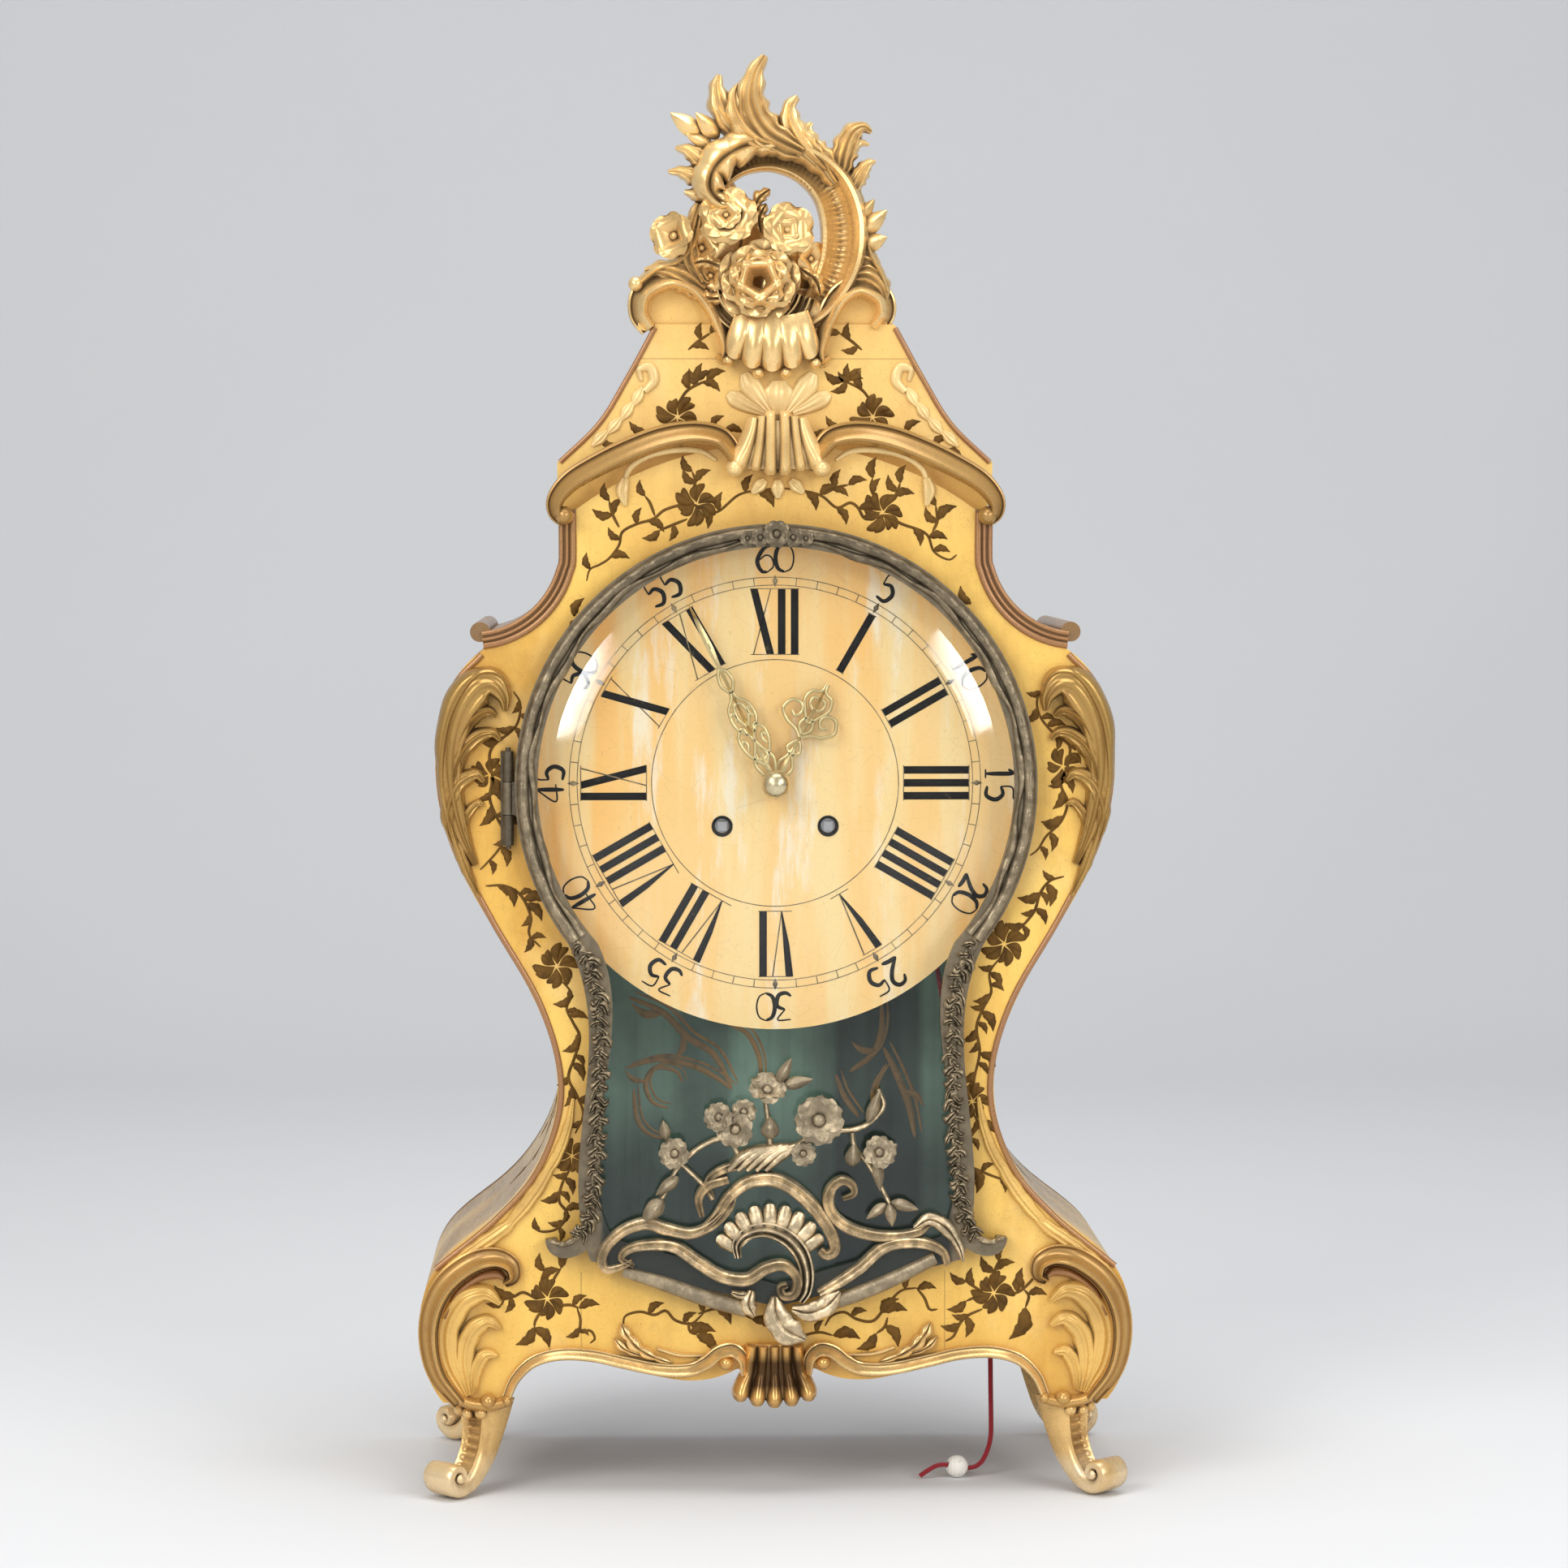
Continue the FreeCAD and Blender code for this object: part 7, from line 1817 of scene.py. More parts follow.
    def mount(self):
        work = Carving("mount_work")
        y = self.mount_base
        for points, wide, high, section in MOUNT_SCROLLS:
            self.path(work, points, wide, high, section)
        self.leaf(work, MOUNT_SIDE_LEAF, (1.6, 4.0, 4.2, 2.4, 1.0), 3, (3, 5, 2), 2.0)
        work.fan(mount_spot(*MOUNT_SHELL), 20, 37, (24, 156), 9, 5.0, y, 0.4, 0.12, 1.0, 0.6)
        for points, wide, high, lift in MOUNT_DROPS:
            self.leaf(work, points, wide, 2, high, lift)
        for points, wide in MOUNT_STEMS:
            self.path(work, points, wide, (3.4, 3.0), ROUND)
        for shift in MOUNT_REED_SHIFTS:
            reed = [(px + shift * share, py) for px, py, share in MOUNT_REED]
            self.path(work, reed, (1.6, 2.8, 1.6), (6, 8, 5), ROUND)
        self.path(work, MOUNT_BEND, (1.2, 2.4, 2.0), (5, 6, 6), MOUNT_RIM)
        work.build(finish_named("bronze_mount"), "door", ["door_mount"], "gilt_bronze")
        flowers = Carving("mount_flowers")
        for points, wide in MOUNT_SILLS:
            self.path(flowers, points, wide, (4, 4.5), ROUND)
        for px, py, r, turn, petals, tilt in MOUNT_FLOWERS:
            x, z = mount_spot(px, py)
            flowers.bloom((x, y - 3.6, z), r, petals, unit(tilt), 0.4, turn, 0.3)
        for root, tip, r in MOUNT_BUDS:
            (ax, az), (bx, bz) = mount_spot(*root), mount_spot(*tip)
            flowers.bud((ax, y - 3, az), (bx, y - 4, bz), r)
        flowers.build(finish_named("bronze_flower"), "door", (), "gilt_bronze")


class CLOCK_OT_dial(Operator):
    """Numerals, minute track and rings of the dial"""

    bl_idname = "clock.dial"
    bl_label = "Dial"

    digits = {
        "0": [
            ([(0, 1), (-0.32, 0.86), (-0.44, 0.5), (-0.32, 0.14), (0, 0)], 1),
            ([(0, 0), (0.32, 0.14), (0.44, 0.5), (0.32, 0.86), (0, 1)], 0),
        ],
        "1": [([(-0.2, 0.82), (0.0, 0.97), (0.02, 0.5), (0.02, 0.0)], 1), ([(-0.2, 0.0), (0.24, 0.0)], 0)],
        "2": [
            ([(-0.34, 0.72), (-0.2, 0.95), (0.14, 0.98), (0.32, 0.74), (0.1, 0.4), (-0.38, 0.02)], 1),
            ([(-0.38, 0.03), (0.0, 0.06), (0.4, 0.02)], 1),
        ],
        "3": [
            ([(-0.3, 0.96), (0.34, 0.97), (-0.02, 0.6)], 0),
            ([(-0.02, 0.6), (0.36, 0.46), (0.3, 0.1), (-0.05, 0.0), (-0.32, 0.12)], 1),
        ],
        "4": [([(0.16, 1.0), (-0.42, 0.3), (0.42, 0.3)], 0), ([(0.16, 1.0), (0.16, 0.5), (0.16, 0.0)], 1)],
        "5": [
            ([(0.34, 1.0), (-0.22, 0.96), (-0.28, 0.55)], 0),
            ([(-0.28, 0.55), (0.1, 0.62), (0.36, 0.36), (0.16, 0.03), (-0.3, 0.06)], 1),
        ],
        "6": [
            ([(0.32, 0.98), (-0.1, 0.84), (-0.4, 0.4), (-0.2, 0.04), (0.1, 0.0)], 1),
            ([(0.1, 0.0), (0.38, 0.22), (0.28, 0.52), (0.0, 0.6), (-0.32, 0.42)], 0),
        ],
    }
    hole_aside = 29.5
    hole_height = 372
    hole_radius = 5.3
    # Radii of the minute track: inner edge, middle and outer edge.
    track = (110, 112.2, 114.4)
    romans = ["XII", "I", "II", "III", "IIII", "V", "VI", "VII", "VIII", "IX", "X", "XI"]

    def execute(self, context):
        lay = on_plane(DIAL_FACE)
        bold = Paint("dial_numerals", lay)
        fine = Paint("dial_lines", lay)
        for hour, text in enumerate(self.romans):
            self.roman(bold, fine, text, 30 * hour)
        for five in range(1, 13):
            self.arabic(bold, str(5 * five), 30 * five)
        for radius, half in ((68.7, 0.22), (110.0, 0.2), (114.4, 0.2)):
            ring = [self.turn(0, radius, a) for a in range(0, 361, 3)]
            fine.line(ring, half, 2.0, 1.0)
        for minute in range(60):
            if minute % 5:
                fine.line([self.turn(0, r, 6 * minute) for r in self.track], 0.22, 1, 1)
            else:
                low, middle, high = (0, 108.9), self.track[1], (0, 115.5)
                self.stroke(fine, (low, (1.5, middle), high), (low, (-1.5, middle), high), 6 * minute)
        holes = Carving("winding_rims")
        angles = np.linspace(0, 2 * math.pi, 40)
        r = self.hole_radius
        for x in (-self.hole_aside, self.hole_aside):
            rim = [(x + r * math.cos(a), self.hole_height + r * math.sin(a)) for a in angles]
            holes.band([p + (0.6, 0.8, DIAL_FACE) for p in rim], ROUND, DIAL_FACE, 0.8)
        holes.build(finish_named("ink"), "case", (), "steel")
        bold.build(finish_named("ink"), "case", "dial_paint")
        fine.build(finish_named("fine_ink"), "case", "dial_paint")
        return {"FINISHED"}

    def turn(self, x, r, angle):
        """A place on the dial: x along the rim and r from the centre, at a clock angle."""
        a = math.radians(angle)
        return (
            r * math.sin(a) + x * math.cos(a),
            DIAL_HEIGHT + r * math.cos(a) - x * math.sin(a),
        )

    def stroke(self, paint, left, right, angle):
        """A filled stroke between two edges of x, r places, turned to a clock angle."""
        paint.shape(
            [self.turn(x, r, angle) for x, r in left],
            [self.turn(x, r, angle) for x, r in right],
        )

    def bar(self, paint, low, high, half, angle):
        """A straight stroke from the inner to the outer ring."""
        line = (low, ((low[0] + high[0]) / 2, (low[1] + high[1]) / 2), high)
        self.stroke(paint, [(x - half, r) for x, r in line], [(x + half, r) for x, r in line], angle)

    def roman(self, bold, fine, text, angle):
        low, high = 71.5, 108.0
        half = sizes().numeral_stroke / MM
        widths = {"I": 7.2, "V": 13.5, "X": 14.5}
        total = sum(widths[c] for c in text)
        x = -total / 2
        for letter in text:
            middle = x + widths[letter] / 2
            if letter == "I":
                self.bar(bold, (middle, low), (middle, high), half, angle)
            elif letter == "V":
                top = middle - 4.4
                waist = (middle + top) / 2
                left = [(middle - 0.3, low), (waist - half, 90), (top - half, high)]
                right = [(middle + 0.3, low), (waist + half * 0.6, 90), (top + half, high)]
                self.stroke(bold, left, right, angle)
                self.bar(fine, (middle, low), (middle + 5.0, high), 0.35, angle)
            else:
                self.bar(bold, (middle + 4.6, low), (middle - 4.6, high), half, angle)
                self.bar(fine, (middle - 4.8, low), (middle + 4.8, high), 0.35, angle)
            x += widths[letter]
        for r in (low, high):
            ends = (-total / 2 + 1, 0, total / 2 - 1)
            # A serif is lifted by two steps.
            fine.level += 1
            self.stroke(fine, [(v, r - 0.22) for v in ends], [(v, r + 0.22) for v in ends], angle)

    def arabic(self, paint, text, angle):
        tall, gap = 15.5, 10.5
        start = -gap * (len(text) - 1) / 2
        for i, digit in enumerate(text):
            for points, heavy in self.digits[digit]:
                line = [self.turn(start + gap * i + 11.5 * x, 117.2 + tall * z, angle) for x, z in points]
                if len(line) == 2:
                    line.insert(1, tuple(np.mean(line, axis=0)))
                paint.line(line, 1.2 if heavy else 0.46, 0.8, 0.3 if heavy else 0.7)


class CLOCK_OT_hands(Operator):
    """Pierced hour and minute hands"""

    bl_idname = "clock.hands"
    bl_label = "Hands"

    minute_curves = [
        [(2.6, 5), (5.4, 14), (1.6, 23), (-1.2, 30)],
        [(0.8, 12), (6.8, 22), (7.8, 31), (3.4, 36), (2.2, 31)],
        [(1.2, 30), (6.4, 38), (6.0, 47), (1.6, 53), (0.4, 58)],
        [(0.6, 36), (3.2, 42), (2.4, 48), (0.4, 50)],
        [(0.4, 56), (3.6, 62), (2.6, 68), (0.3, 71)],
        [(5.6, 23), (4.4, 26.5), (5.8, 29.5), (7.2, 27)],
        [(5.2, 40), (3.8, 43), (4.6, 46), (6, 44)],
        [(1.0, 15), (3.0, 17), (2.4, 20)],
    ]
    minute_blade = [(0, 6, 1.6), (0, 40, 0.8), (0, 72, 1.2), (0, 84, 1.9), (0, 98, 1.3), (0, 110.4, 0.25)]
    hour_curves = [
        [(2.6, 6), (4.4, 11), (1.6, 17), (0.4, 22)],
        [(0.6, 18), (3.8, 21), (2.2, 25), (0.5, 27)],
        [
            (0.6, 29), (5, 32.5), (11, 34.5), (16, 39.5), (13.4, 46), (8, 46.2), (5.8, 42), (8.2, 38.6),
            (11, 40.4),
        ],
        [(0.6, 38), (4.4, 43.5), (7.6, 49.5), (6, 55.2), (1.4, 57.4), (0.4, 62)],
        [(1.2, 46), (4, 48.6), (3.6, 52.4), (1.2, 53)],
        [(0.5, 31), (3.6, 35), (2.6, 39.5), (0.5, 41)],
    ]
    hour_blade = [(0, 7, 1.8), (0, 20, 1.2), (0, 34, 1.0), (0, 50, 0.9), (0, 61.4, 0.3)]
    hub_section = [(-1, 0), (-1, 0.8), (-0.8, 1), (0.8, 1), (1, 0.8), (1, 0)]
    curve_section = [(-1, 0), (-1, 0.6), (-0.5, 1), (0.5, 1), (1, 0.6), (1, 0)]
    blade_section = [(-1, 0), (-1, 0.4), (0, 1), (1, 0.4), (1, 0)]
    bore = 2.9
    thick = 1.4
    # Front face, hub's radius and clock angle in degrees.
    minute_set = (-74.0, 6.4, 334.2)
    hour_set = (-69.0, 7.4, 27.85)

    def execute(self, context):
        self.hand("minute_hand", "minute_arbor", *self.minute_set, self.minute_curves, self.minute_blade)
        self.hand("hour_hand", "hour_pipe", *self.hour_set, self.hour_curves, self.hour_blade)
        return {"FINISHED"}

    def hand(self, node, body, front, hub, angle, curves, blade):
        """A hand built upright round the origin, then turned to its clock angle on the dial."""
        work = Carving(node + "_work")
        back = front + self.thick
        ring, half = 0.5 * (hub + self.bore), 0.5 * (hub - self.bore)
        turns = np.linspace(0, 2 * math.pi, 48)
        rows = [(ring * math.cos(t), ring * math.sin(t), half, self.thick, back) for t in turns]
        work.band(rows, self.hub_section, front, 0.7)
        for points in curves:
            for side in (-1, 1):
                rows = [(side * x, z, 1.0, 1.3, back) for x, z in points]
                work.band(rows, self.curve_section, front, 0.7)
        work.band([(x, z, w, self.thick, back) for x, z, w in blade], self.blade_section, front, 1.0)
        a = math.radians(angle)
        c, s = math.cos(a), math.sin(a)

        def turned(p):
            across = p[:, 0] * c + p[:, 2] * s
            return np.stack([across, p[:, 1], DIAL_HEIGHT * MM - p[:, 0] * s + p[:, 2] * c], 1)

        work.build(finish_named("hand_brass"), body, [node], "brass", turn=turned)


# Vines on the front, in pixels of the picture. A flower is its place, size, petals and turn. A twig
# is its places, its leaves as (share of its length, side, size) and its number of small leaves.
LOWER_VINES = [
    ("flower", (671, 1606), 11, 6, 20),
    ("twig", [(668, 1596), (664, 1585), (667, 1572)], [(0.6, -1, 10), (1, 0.5, 9)]),
    ("twig", [(676, 1590), (680, 1580), (688, 1568)], [(1, 0, 10)]),
    ("twig", [(658, 1607), (642, 1598), (630, 1603), (618, 1606)], [(0.8, 1, 8), (0.7, -1, 11), (1, 0, 9)]),
    ("twig", [(684, 1615), (700, 1614), (710, 1618)], [(0.7, 1, 8), (1, 0.6, 10)]),
    (
        "twig", [(708, 1618), (712, 1632), (712, 1648), (724, 1646), (730, 1656), (724, 1662)],
        [(0.4, -1, 8), (0.45, 1, 5)],
    ),
    ("twig", [(664, 1620), (656, 1634), (655, 1642)], [(1, -0.8, 12), (1, 0.8, 12)]),
    (
        "twig",
        [
            (765, 1640), (768, 1628), (786, 1623), (804, 1627), (818, 1622), (830, 1634), (850, 1638),
            (866, 1624),
        ],
        [(0.35, 1, 9), (0.75, 1, 8), (0.82, -1, 11)],
    ),
    ("twig", [(846, 1636), (848, 1648), (856, 1652)], [(0.6, 1, 12), (1, -0.4, 13)]),
    (
        "twig", [(858, 1626), (880, 1620), (905, 1622), (925, 1633)],
        [(0.1, 1, 8), (0.35, -1, 10), (0.7, 1, 9), (1, 0, 11)],
    ),
    (
        "twig",
        [
            (1016, 1642), (1024, 1630), (1040, 1625), (1056, 1634), (1076, 1636), (1092, 1618), (1110, 1599),
            (1130, 1595),
        ],
        [(0.3, 1, 8), (0.62, -1, 12), (0.6, -0.3, 11), (0.9, 1, 8)],
    ),
    ("twig", [(1130, 1595), (1140, 1608), (1146, 1622), (1156, 1622)], [(0.05, 1, 9)]),
    ("twig", [(985, 1655), (1008, 1650), (1026, 1654)], [(1, 0.1, 13), (0.5, 1, 7)]),
    ("twig", [(1094, 1632), (1090, 1644), (1080, 1652)], [(1, 0, 12), (0.4, 1, 12)]),
    ("flower", (1226, 1602), 11, 6, 5),
    ("twig", [(1226, 1590), (1227, 1576), (1232, 1562)], [(0.5, 1, 10), (0.6, -1, 10), (1, 0, 8)]),
    ("twig", [(1214, 1602), (1202, 1594), (1192, 1588)], [(0.6, -1, 9), (1, 0, 9)]),
    ("twig", [(1214, 1610), (1202, 1608), (1192, 1612)], [(1, 0, 10)]),
    (
        "twig", [(1238, 1600), (1254, 1602), (1268, 1592), (1282, 1576)],
        [(0.35, 1, 9), (0.5, 1, 10), (1, 0, 9)],
    ),
    ("twig", [(1264, 1598), (1270, 1606), (1266, 1620)], [(0.3, 1, 9), (1, -0.2, 17)]),
    (
        "twig", [(1212, 1622), (1194, 1630), (1184, 1640), (1176, 1656), (1166, 1662)],
        [(0.35, 1, 10), (0.3, -0.6, 8), (0.55, -1, 9)],
    ),
]
FLANK_VINES = [
    (
        "twig",
        [
            (632, 852), (640, 868), (634, 895), (606, 920), (602, 940), (606, 960), (602, 984), (612, 1010),
            (622, 1030), (612, 1048), (598, 1064), (590, 1072),
        ],
        [
            (0.12, 1, 8), (0.2, -1, 9), (0.3, -1, 10), (0.55, 1, 9), (0.63, -1, 11), (0.72, 1, 11),
            (0.85, 1, 10),
        ],
        8,
    ),
    ("flower", (602, 955), 9.5, 5, 70),
    (
        "twig", [(597, 1092), (620, 1092), (640, 1104), (652, 1130), (650, 1152), (664, 1168)],
        [(0.2, -1, 11), (0.45, 1, 12), (0.5, 0.3, 11), (0.85, -1, 8)], 4,
    ),
    ("flower", (684, 1192), 11.5, 6, 10),
    (
        "twig",
        [
            (690, 1210), (702, 1226), (696, 1244), (704, 1262), (712, 1280), (706, 1304), (698, 1330),
            (708, 1352), (716, 1376), (706, 1400),
        ],
        [(0.12, -1, 9), (0.25, 1, 9), (0.4, -1, 10), (0.55, 1, 10), (0.7, -1, 10), (0.8, 1, 9)], 7,
    ),
    ("flower", (702, 1428), 9.5, 6, 40),
    (
        "twig", [(702, 1440), (690, 1462), (686, 1484), (696, 1500), (684, 1518), (664, 1522), (652, 1514)],
        [(0.15, 1, 9), (0.3, -1, 10), (0.5, 1, 9), (0.62, -1, 8)], 5,
    ),
    (
        "twig",
        [
            (1290, 842), (1278, 862), (1282, 884), (1300, 906), (1318, 920), (1316, 944), (1308, 968),
            (1316, 990), (1308, 1014), (1290, 1032), (1280, 1048), (1270, 1056),
        ],
        [
            (0.15, -1, 9), (0.25, 1, 9), (0.4, 1, 10), (0.55, 1, 9), (0.62, -1, 10), (0.75, -1, 11),
            (0.85, 1, 9),
        ],
        8,
    ),
    ("flower", (1310, 946), 9.5, 5, 30),
    (
        "twig", [(1312, 1082), (1294, 1088), (1282, 1104), (1276, 1124), (1264, 1140), (1252, 1152)],
        [(0.25, 1, 11), (0.4, -1, 11), (0.6, 1, 9), (0.85, -1, 9)], 4,
    ),
    ("flower", (1238, 1166), 11.5, 6, 25),
    (
        "twig",
        [
            (1232, 1184), (1220, 1202), (1222, 1226), (1212, 1246), (1204, 1270), (1208, 1300), (1202, 1330),
            (1200, 1352),
        ],
        [(0.12, 1, 9), (0.28, -1, 9), (0.42, 1, 11), (0.55, -1, 9), (0.72, 1, 10), (0.86, -1, 9)], 7,
    ),
    ("flower", (1199, 1362), 9.5, 6, 0),
    (
        "twig",
        [(1200, 1376), (1206, 1392), (1196, 1410), (1196, 1440), (1212, 1450), (1232, 1458), (1246, 1462)],
        [(0.12, 1, 10), (0.2, -1, 11), (0.5, -1, 9), (0.62, -1, 12)], 5,
    ),
]
ARCH_VINES = [
    (
        "twig",
        [
            (722, 716), (726, 702), (738, 696), (750, 688), (762, 672), (766, 656), (784, 646), (804, 640),
            (820, 628), (850, 622), (880, 632), (910, 610), (940, 604), (962, 602),
        ],
        [
            (0.06, 1, 8), (0.16, -1, 9), (0.24, 1, 8), (0.34, 1, 8), (0.4, -1, 9), (0.66, -1, 9),
            (0.72, 1, 9), (0.86, 1, 9), (0.9, -1, 11),
        ],
    ),
    ("flower", (857, 622), 11, 6, 80),
    ("twig", [(762, 650), (754, 634), (750, 618)], [(0.5, 1, 10), (0.5, -1, 9), (1, 0, 9)]),
    ("twig", [(852, 606), (856, 594), (852, 582)], [(0.4, 1, 9), (0.5, -1, 9), (1, 0.2, 9)]),
    ("twig", [(846, 640), (826, 648), (812, 654)], [(0.5, 1, 8), (1, 0, 9)]),
    ("twig", [(806, 636), (800, 620), (794, 612)], [(1, -0.4, 8)]),
    (
        "twig",
        [
            (962, 602), (992, 606), (1012, 612), (1030, 626), (1046, 620), (1056, 626), (1066, 640),
            (1090, 636), (1110, 646), (1140, 658), (1150, 680), (1168, 690), (1178, 684),
        ],
        [(0.12, -1, 10), (0.2, 1, 9), (0.3, -1, 9), (0.42, 1, 9), (0.72, -1, 9), (0.8, 1, 9), (0.88, 1, 8)],
    ),
    ("flower", (1086, 632), 11, 6, 60),
    ("twig", [(1014, 610), (1028, 602), (1044, 598)], [(0.5, 1, 9), (0.4, -1, 8), (1, 0, 9)]),
    ("twig", [(1078, 616), (1072, 602), (1074, 590)], [(1, 0, 10), (0.3, -1, 8)]),
    ("twig", [(1096, 620), (1104, 608), (1108, 596)], [(0.4, -1, 9), (0.6, 1, 9), (1, 0, 9)]),
    ("twig", [(1148, 656), (1154, 642), (1152, 624)], [(0.5, -1, 11), (0.4, 1, 9), (1, 0, 9)]),
]
LONE_LEAVES = [(706, 760, 60), (1196, 745, 120), (700, 780, 35), (1210, 770, 150)]


class CLOCK_OT_vines(Operator):
    """Brown painted vines on the front, hood and sides"""

    bl_idname = "clock.vines"
    bl_label = "Vines"

    def execute(self, context):
        front = Paint("front_vines", on_plane(FACE))
        for kind, place, *rest in LOWER_VINES + FLANK_VINES + ARCH_VINES:
            if kind == "flower":
                front.flower(*spot(*place), *rest)
            else:
                self.twig(front, place, *rest)
        for px, py, angle in LONE_LEAVES:
            front.leaf(*spot(px, py), angle, 12)
        front.build(finish_named("vine_paint"), "case", "yellow_lacquer")
        hood = Paint("hood_vines", on_plane(HOOD_FACE))
        self.hood(hood)
        hood.build(finish_named("vine_paint"), "case", "yellow_lacquer")
        for name, sign in (("left", -1), ("right", 1)):
            side = Paint("side_vines_" + name, self.on_side(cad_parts["side_" + name], sign))
            self.flank_spray(side)
            side.build(finish_named("vine_paint"), "case", "yellow_lacquer")
        return {"FINISHED"}

    def on_side(self, board, sign):
        """Lays y, z points on the outside of a bowed side."""
        into = board.matrix_world.inverted()

        def lay(points, lift):
            laid = []
            for y, z in points:
                start = into @ Vector((sign * 0.4, y * MM, z * MM))
                aim = into.to_3x3() @ Vector((-sign, 0, 0))
                hit, place, normal, _ = board.ray_cast(start, aim)
                if not hit:
                    raise RuntimeError(f"no side at {y}, {z}")
                laid.append(board.matrix_world @ place + Vector((sign * lift * MM, 0, 0)))
            return np.array([tuple(p) for p in laid]) / MM

        return lay

    def flank_spray(self, paint):
        """Two flowering sprays, one on the bulge and one on the waist."""
        rise = [(2, 300), (-6, 330), (8, 356), (20, 384), (6, 412), (-10, 436), (-4, 456)]
        paint.sprig(
            rise, [(0.1, 1, 11), (0.24, -1, 12), (0.4, 1, 11), (0.62, -1, 12), (0.8, 1, 12), (1, 0, 12)],
        )
        paint.sprig(
            [(8, 356), (-14, 362), (-32, 356), (-42, 342)], [(0.4, 1, 11), (0.7, -1, 11), (1, 0, 11)],
        )
        paint.sprig([(20, 384), (38, 392), (50, 410), (52, 432)], [(0.3, -1, 11), (0.6, 1, 11), (1, 0, 12)])
        paint.sprig(
            [(6, 412), (-18, 408), (-36, 416), (-44, 434)], [(0.3, 1, 11), (0.65, -1, 11), (1, 0, 11)],
        )
        paint.flower(12, 372, 14, 6, 20)
        paint.flower(-38, 398, 11, 5, 60)
        paint.flower(48, 372, 11, 5, 10)
        fall = [(0, 286), (10, 262), (-4, 238), (6, 212), (-8, 190), (4, 172)]
        paint.sprig(
            fall, [(0.15, -1, 11), (0.32, 1, 11), (0.5, -1, 11), (0.7, 1, 11), (0.85, -1, 10), (1, 0, 11)],
        )
        paint.sprig([(-4, 238), (-24, 232), (-36, 216)], [(0.5, 1, 10), (0.6, -1, 10), (1, 0, 10)])
        paint.sprig([(6, 212), (28, 208), (42, 192)], [(0.5, -1, 10), (0.6, 1, 10), (1, 0, 10)])
        paint.flower(-2, 250, 12, 6, 0)
        paint.sprig(
            [(-46, 96), (-20, 90), (6, 96), (30, 88), (56, 96)],
            [(0.15, 1, 10), (0.35, -1, 10), (0.7, 1, 10), (0.9, -1, 10)],
        )
        paint.flower(6, 96, 11, 5, 40)

    def twig(self, paint, places, leaves, fill=0):
        """A sprig through places in the picture, with small leaves filled in by turns."""
        small = [((i + 0.5) / fill, 1 if i % 2 else -1, 7) for i in range(fill)]
        paint.sprig([spot(*p) for p in places], leaves + small)

    def hood(self, paint):
        for x, z, side in ((-42, 619, -1), (42, 619, 1)):
            for angle, size in ((80, 10), (130, 9), (35, 9), (170, 7)):
                paint.leaf(x, z, angle if side < 0 else 180 - angle, size)
        for side in (-1, 1):
            paint.flower(side * 54, 599, 11, 6, 15 * side)
            paint.sprig(
                mirrored([(54, 606), (48, 614), (38, 619)], side),
                [(0.5, -side, 9), (0.9, side, 9), (1, 0, 10)],
            )
            paint.sprig(
                mirrored([(62, 594), (74, 590), (84, 584), (94, 580)], side),
                [(0.3, side, 9), (0.5, -side, 9), (0.8, side, 9), (1, 0, 9)],
            )
            paint.sprig(
                mirrored([(46, 596), (38, 594), (28, 592)], side),
                [(0.4, side, 9), (0.6, -side, 8), (1, 0, 9)],
            )
            paint.sprig(
                mirrored([(48, 636), (42, 641), (36, 645)], side),
                [(0.2, side, 8), (0.6, -side, 8), (1, 0, 9)],
            )


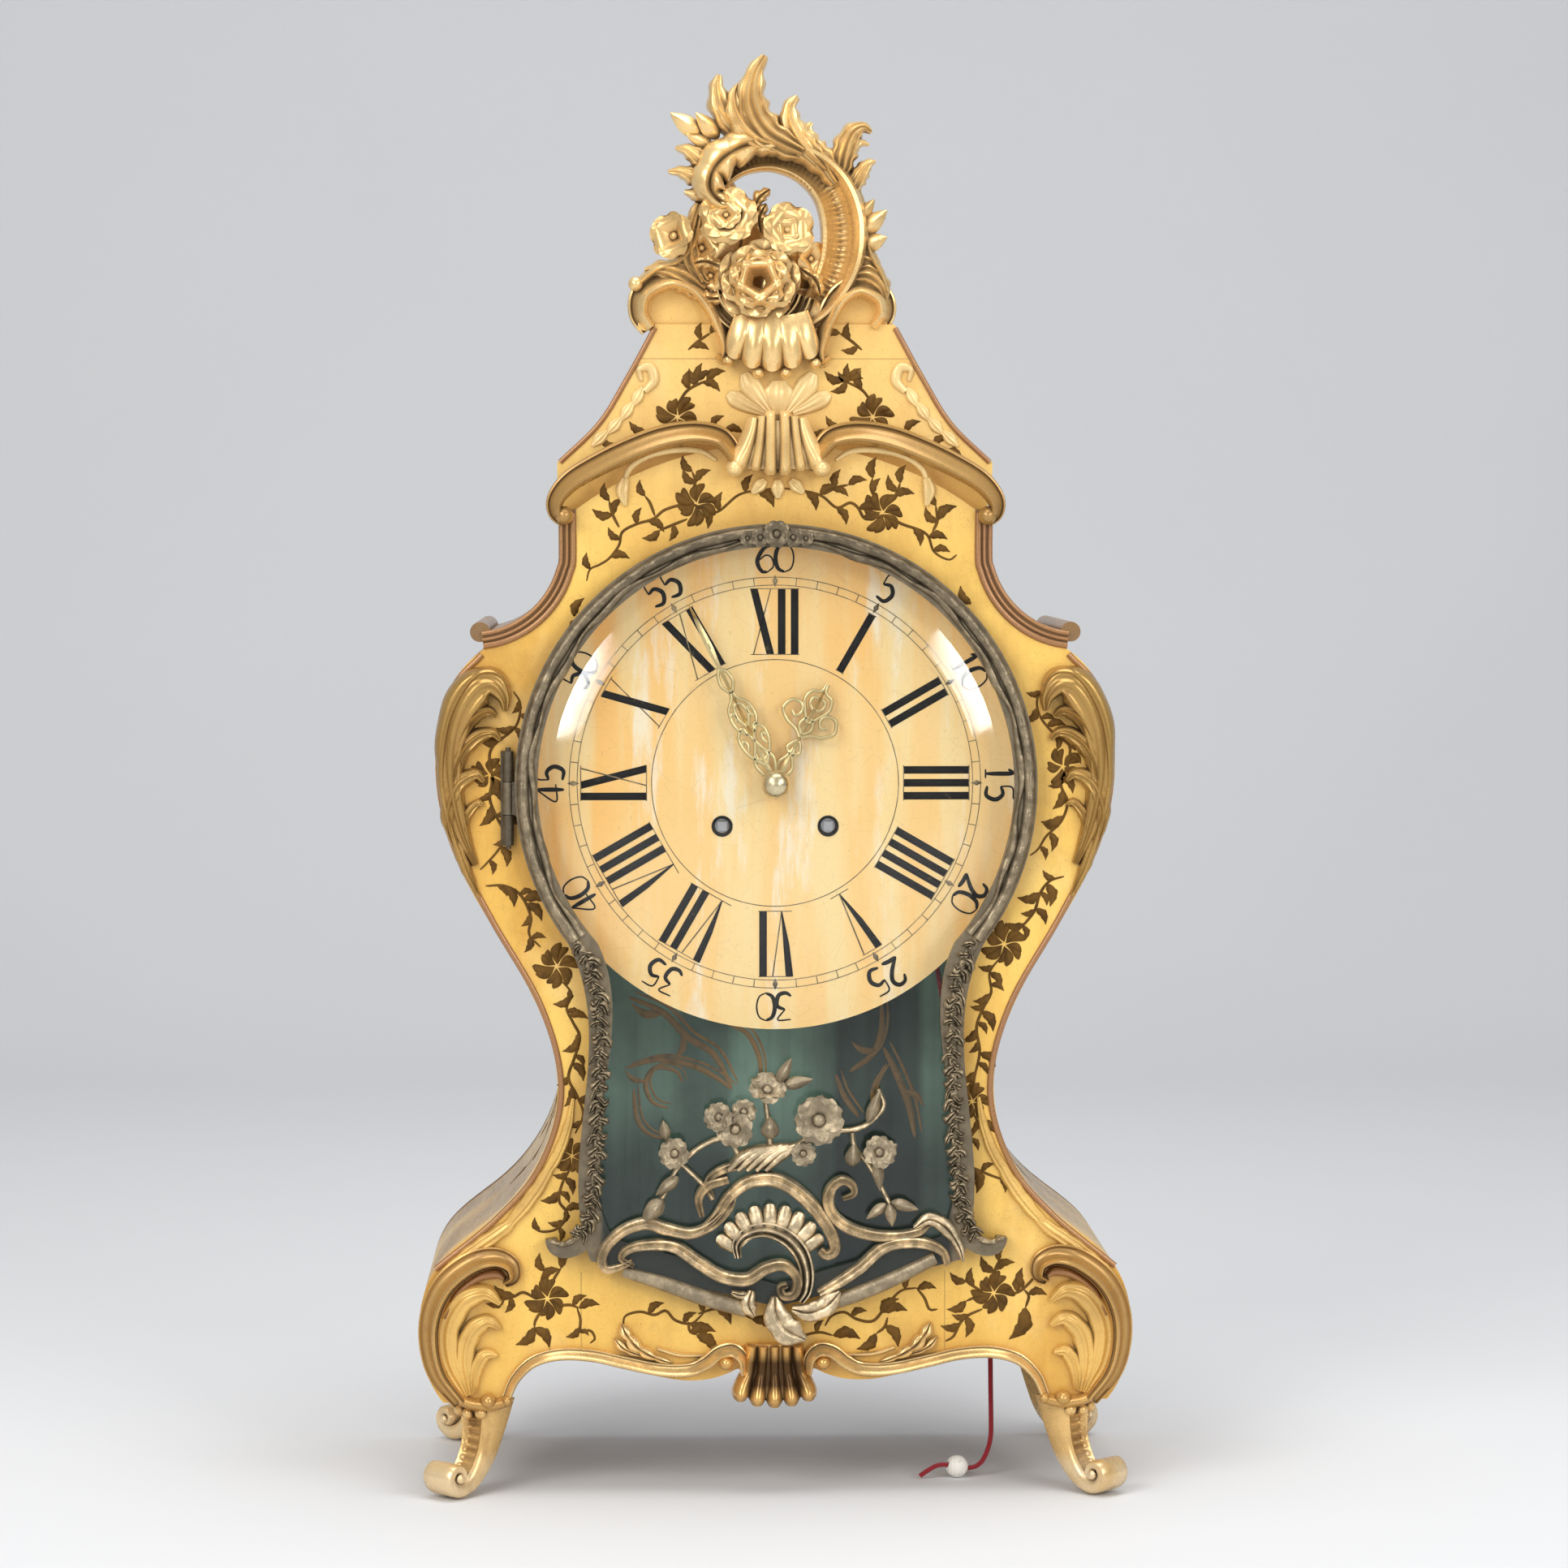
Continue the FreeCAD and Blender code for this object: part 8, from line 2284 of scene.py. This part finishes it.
class CLOCK_OT_inside(Operator):
    """Painted scrolls on the wall behind the glass"""

    bl_idname = "clock.inside"
    bl_label = "Inside"

    leaves = [
        (-62, 252, 160, 20), (-50, 240, -110, 16), (-72, 212, 150, 14), (64, 230, 160, 16),
        (80, 206, -40, 16),
    ]

    scrolls = [
        ([(-82, 262), (-62, 253), (-47, 238), (-32, 228), (-21, 208)], 4.2),
        ([(-84, 220), (-64, 225), (-44, 221), (-30, 214), (-21, 207)], 3.6),
        ([(-58, 196), (-68, 200), (-72, 211), (-66, 220), (-54, 218), (-50, 211)], 3.0),
        ([(-79, 208), (-77, 190), (-70, 181), (-60, 178)], 3.0),
        ([(-24, 246), (-12, 240), (-5, 226), (-4, 212)], 3.2),
        ([(67, 258), (67, 242), (62, 228), (48, 217)], 3.8),
        ([(68, 232), (76, 216), (83, 198), (87, 178)], 4.4),
        ([(40, 216), (45, 203), (54, 190)], 3.4),
        ([(70, 222), (62, 206), (64, 192)], 3.0),
    ]

    def execute(self, context):
        paint = Paint("inside_scrolls", on_plane(BACK_WALL))
        for points, half in self.scrolls:
            paint.line(points, 0.5 * half, 1.5, 0.1)
            inner = [(x + 0.9 * half, z + 0.7 * half) for x, z in points]
            paint.line(inner, 0.24 * half, 1.5, 0.1)
        for x, z, angle, size in self.leaves:
            paint.leaf(x, z, angle, size, 0.14, 0)
        paint.build(finish_named("arabesque_paint"), "case", "pine")
        return {"FINISHED"}


class CLOCK_PT_panel(Panel):
    """Pieces, sizes and colours of the clock"""

    bl_idname = "CLOCK_PT_panel"
    bl_label = "Bracket clock"
    bl_space_type = "VIEW_3D"
    bl_region_type = "UI"
    bl_category = "Clock"

    def draw(self, context):
        for step in STEPS:
            self.layout.operator(step.bl_idname)
        for group in (context.scene.clock_sizes, context.scene.clock_colours):
            for key in group.__annotations__:
                self.layout.prop(group, key)


STEPS = (
    CLOCK_OT_stage,
    CLOCK_OT_cord,
    CLOCK_OT_case,
    CLOCK_OT_crest,
    CLOCK_OT_cornice,
    CLOCK_OT_shoulders,
    CLOCK_OT_base,
    CLOCK_OT_feet,
    CLOCK_OT_door,
    CLOCK_OT_dial,
    CLOCK_OT_hands,
    CLOCK_OT_vines,
    CLOCK_OT_inside,
)
CLASSES = (ClockSizes, ClockColours) + STEPS + (CLOCK_PT_panel,)


def register():
    for cls in CLASSES:
        bpy.utils.register_class(cls)
    bpy.types.Scene.clock_sizes = PointerProperty(type=ClockSizes)
    bpy.types.Scene.clock_colours = PointerProperty(type=ClockColours)


def unregister():
    del bpy.types.Scene.clock_colours
    del bpy.types.Scene.clock_sizes
    for cls in reversed(CLASSES):
        bpy.utils.unregister_class(cls)


def main():
    register()
    make_finishes()
    for step in STEPS:
        group, name = step.bl_idname.split(".")
        getattr(getattr(bpy.ops, group), name)()


if __name__ == "__main__":
    main()
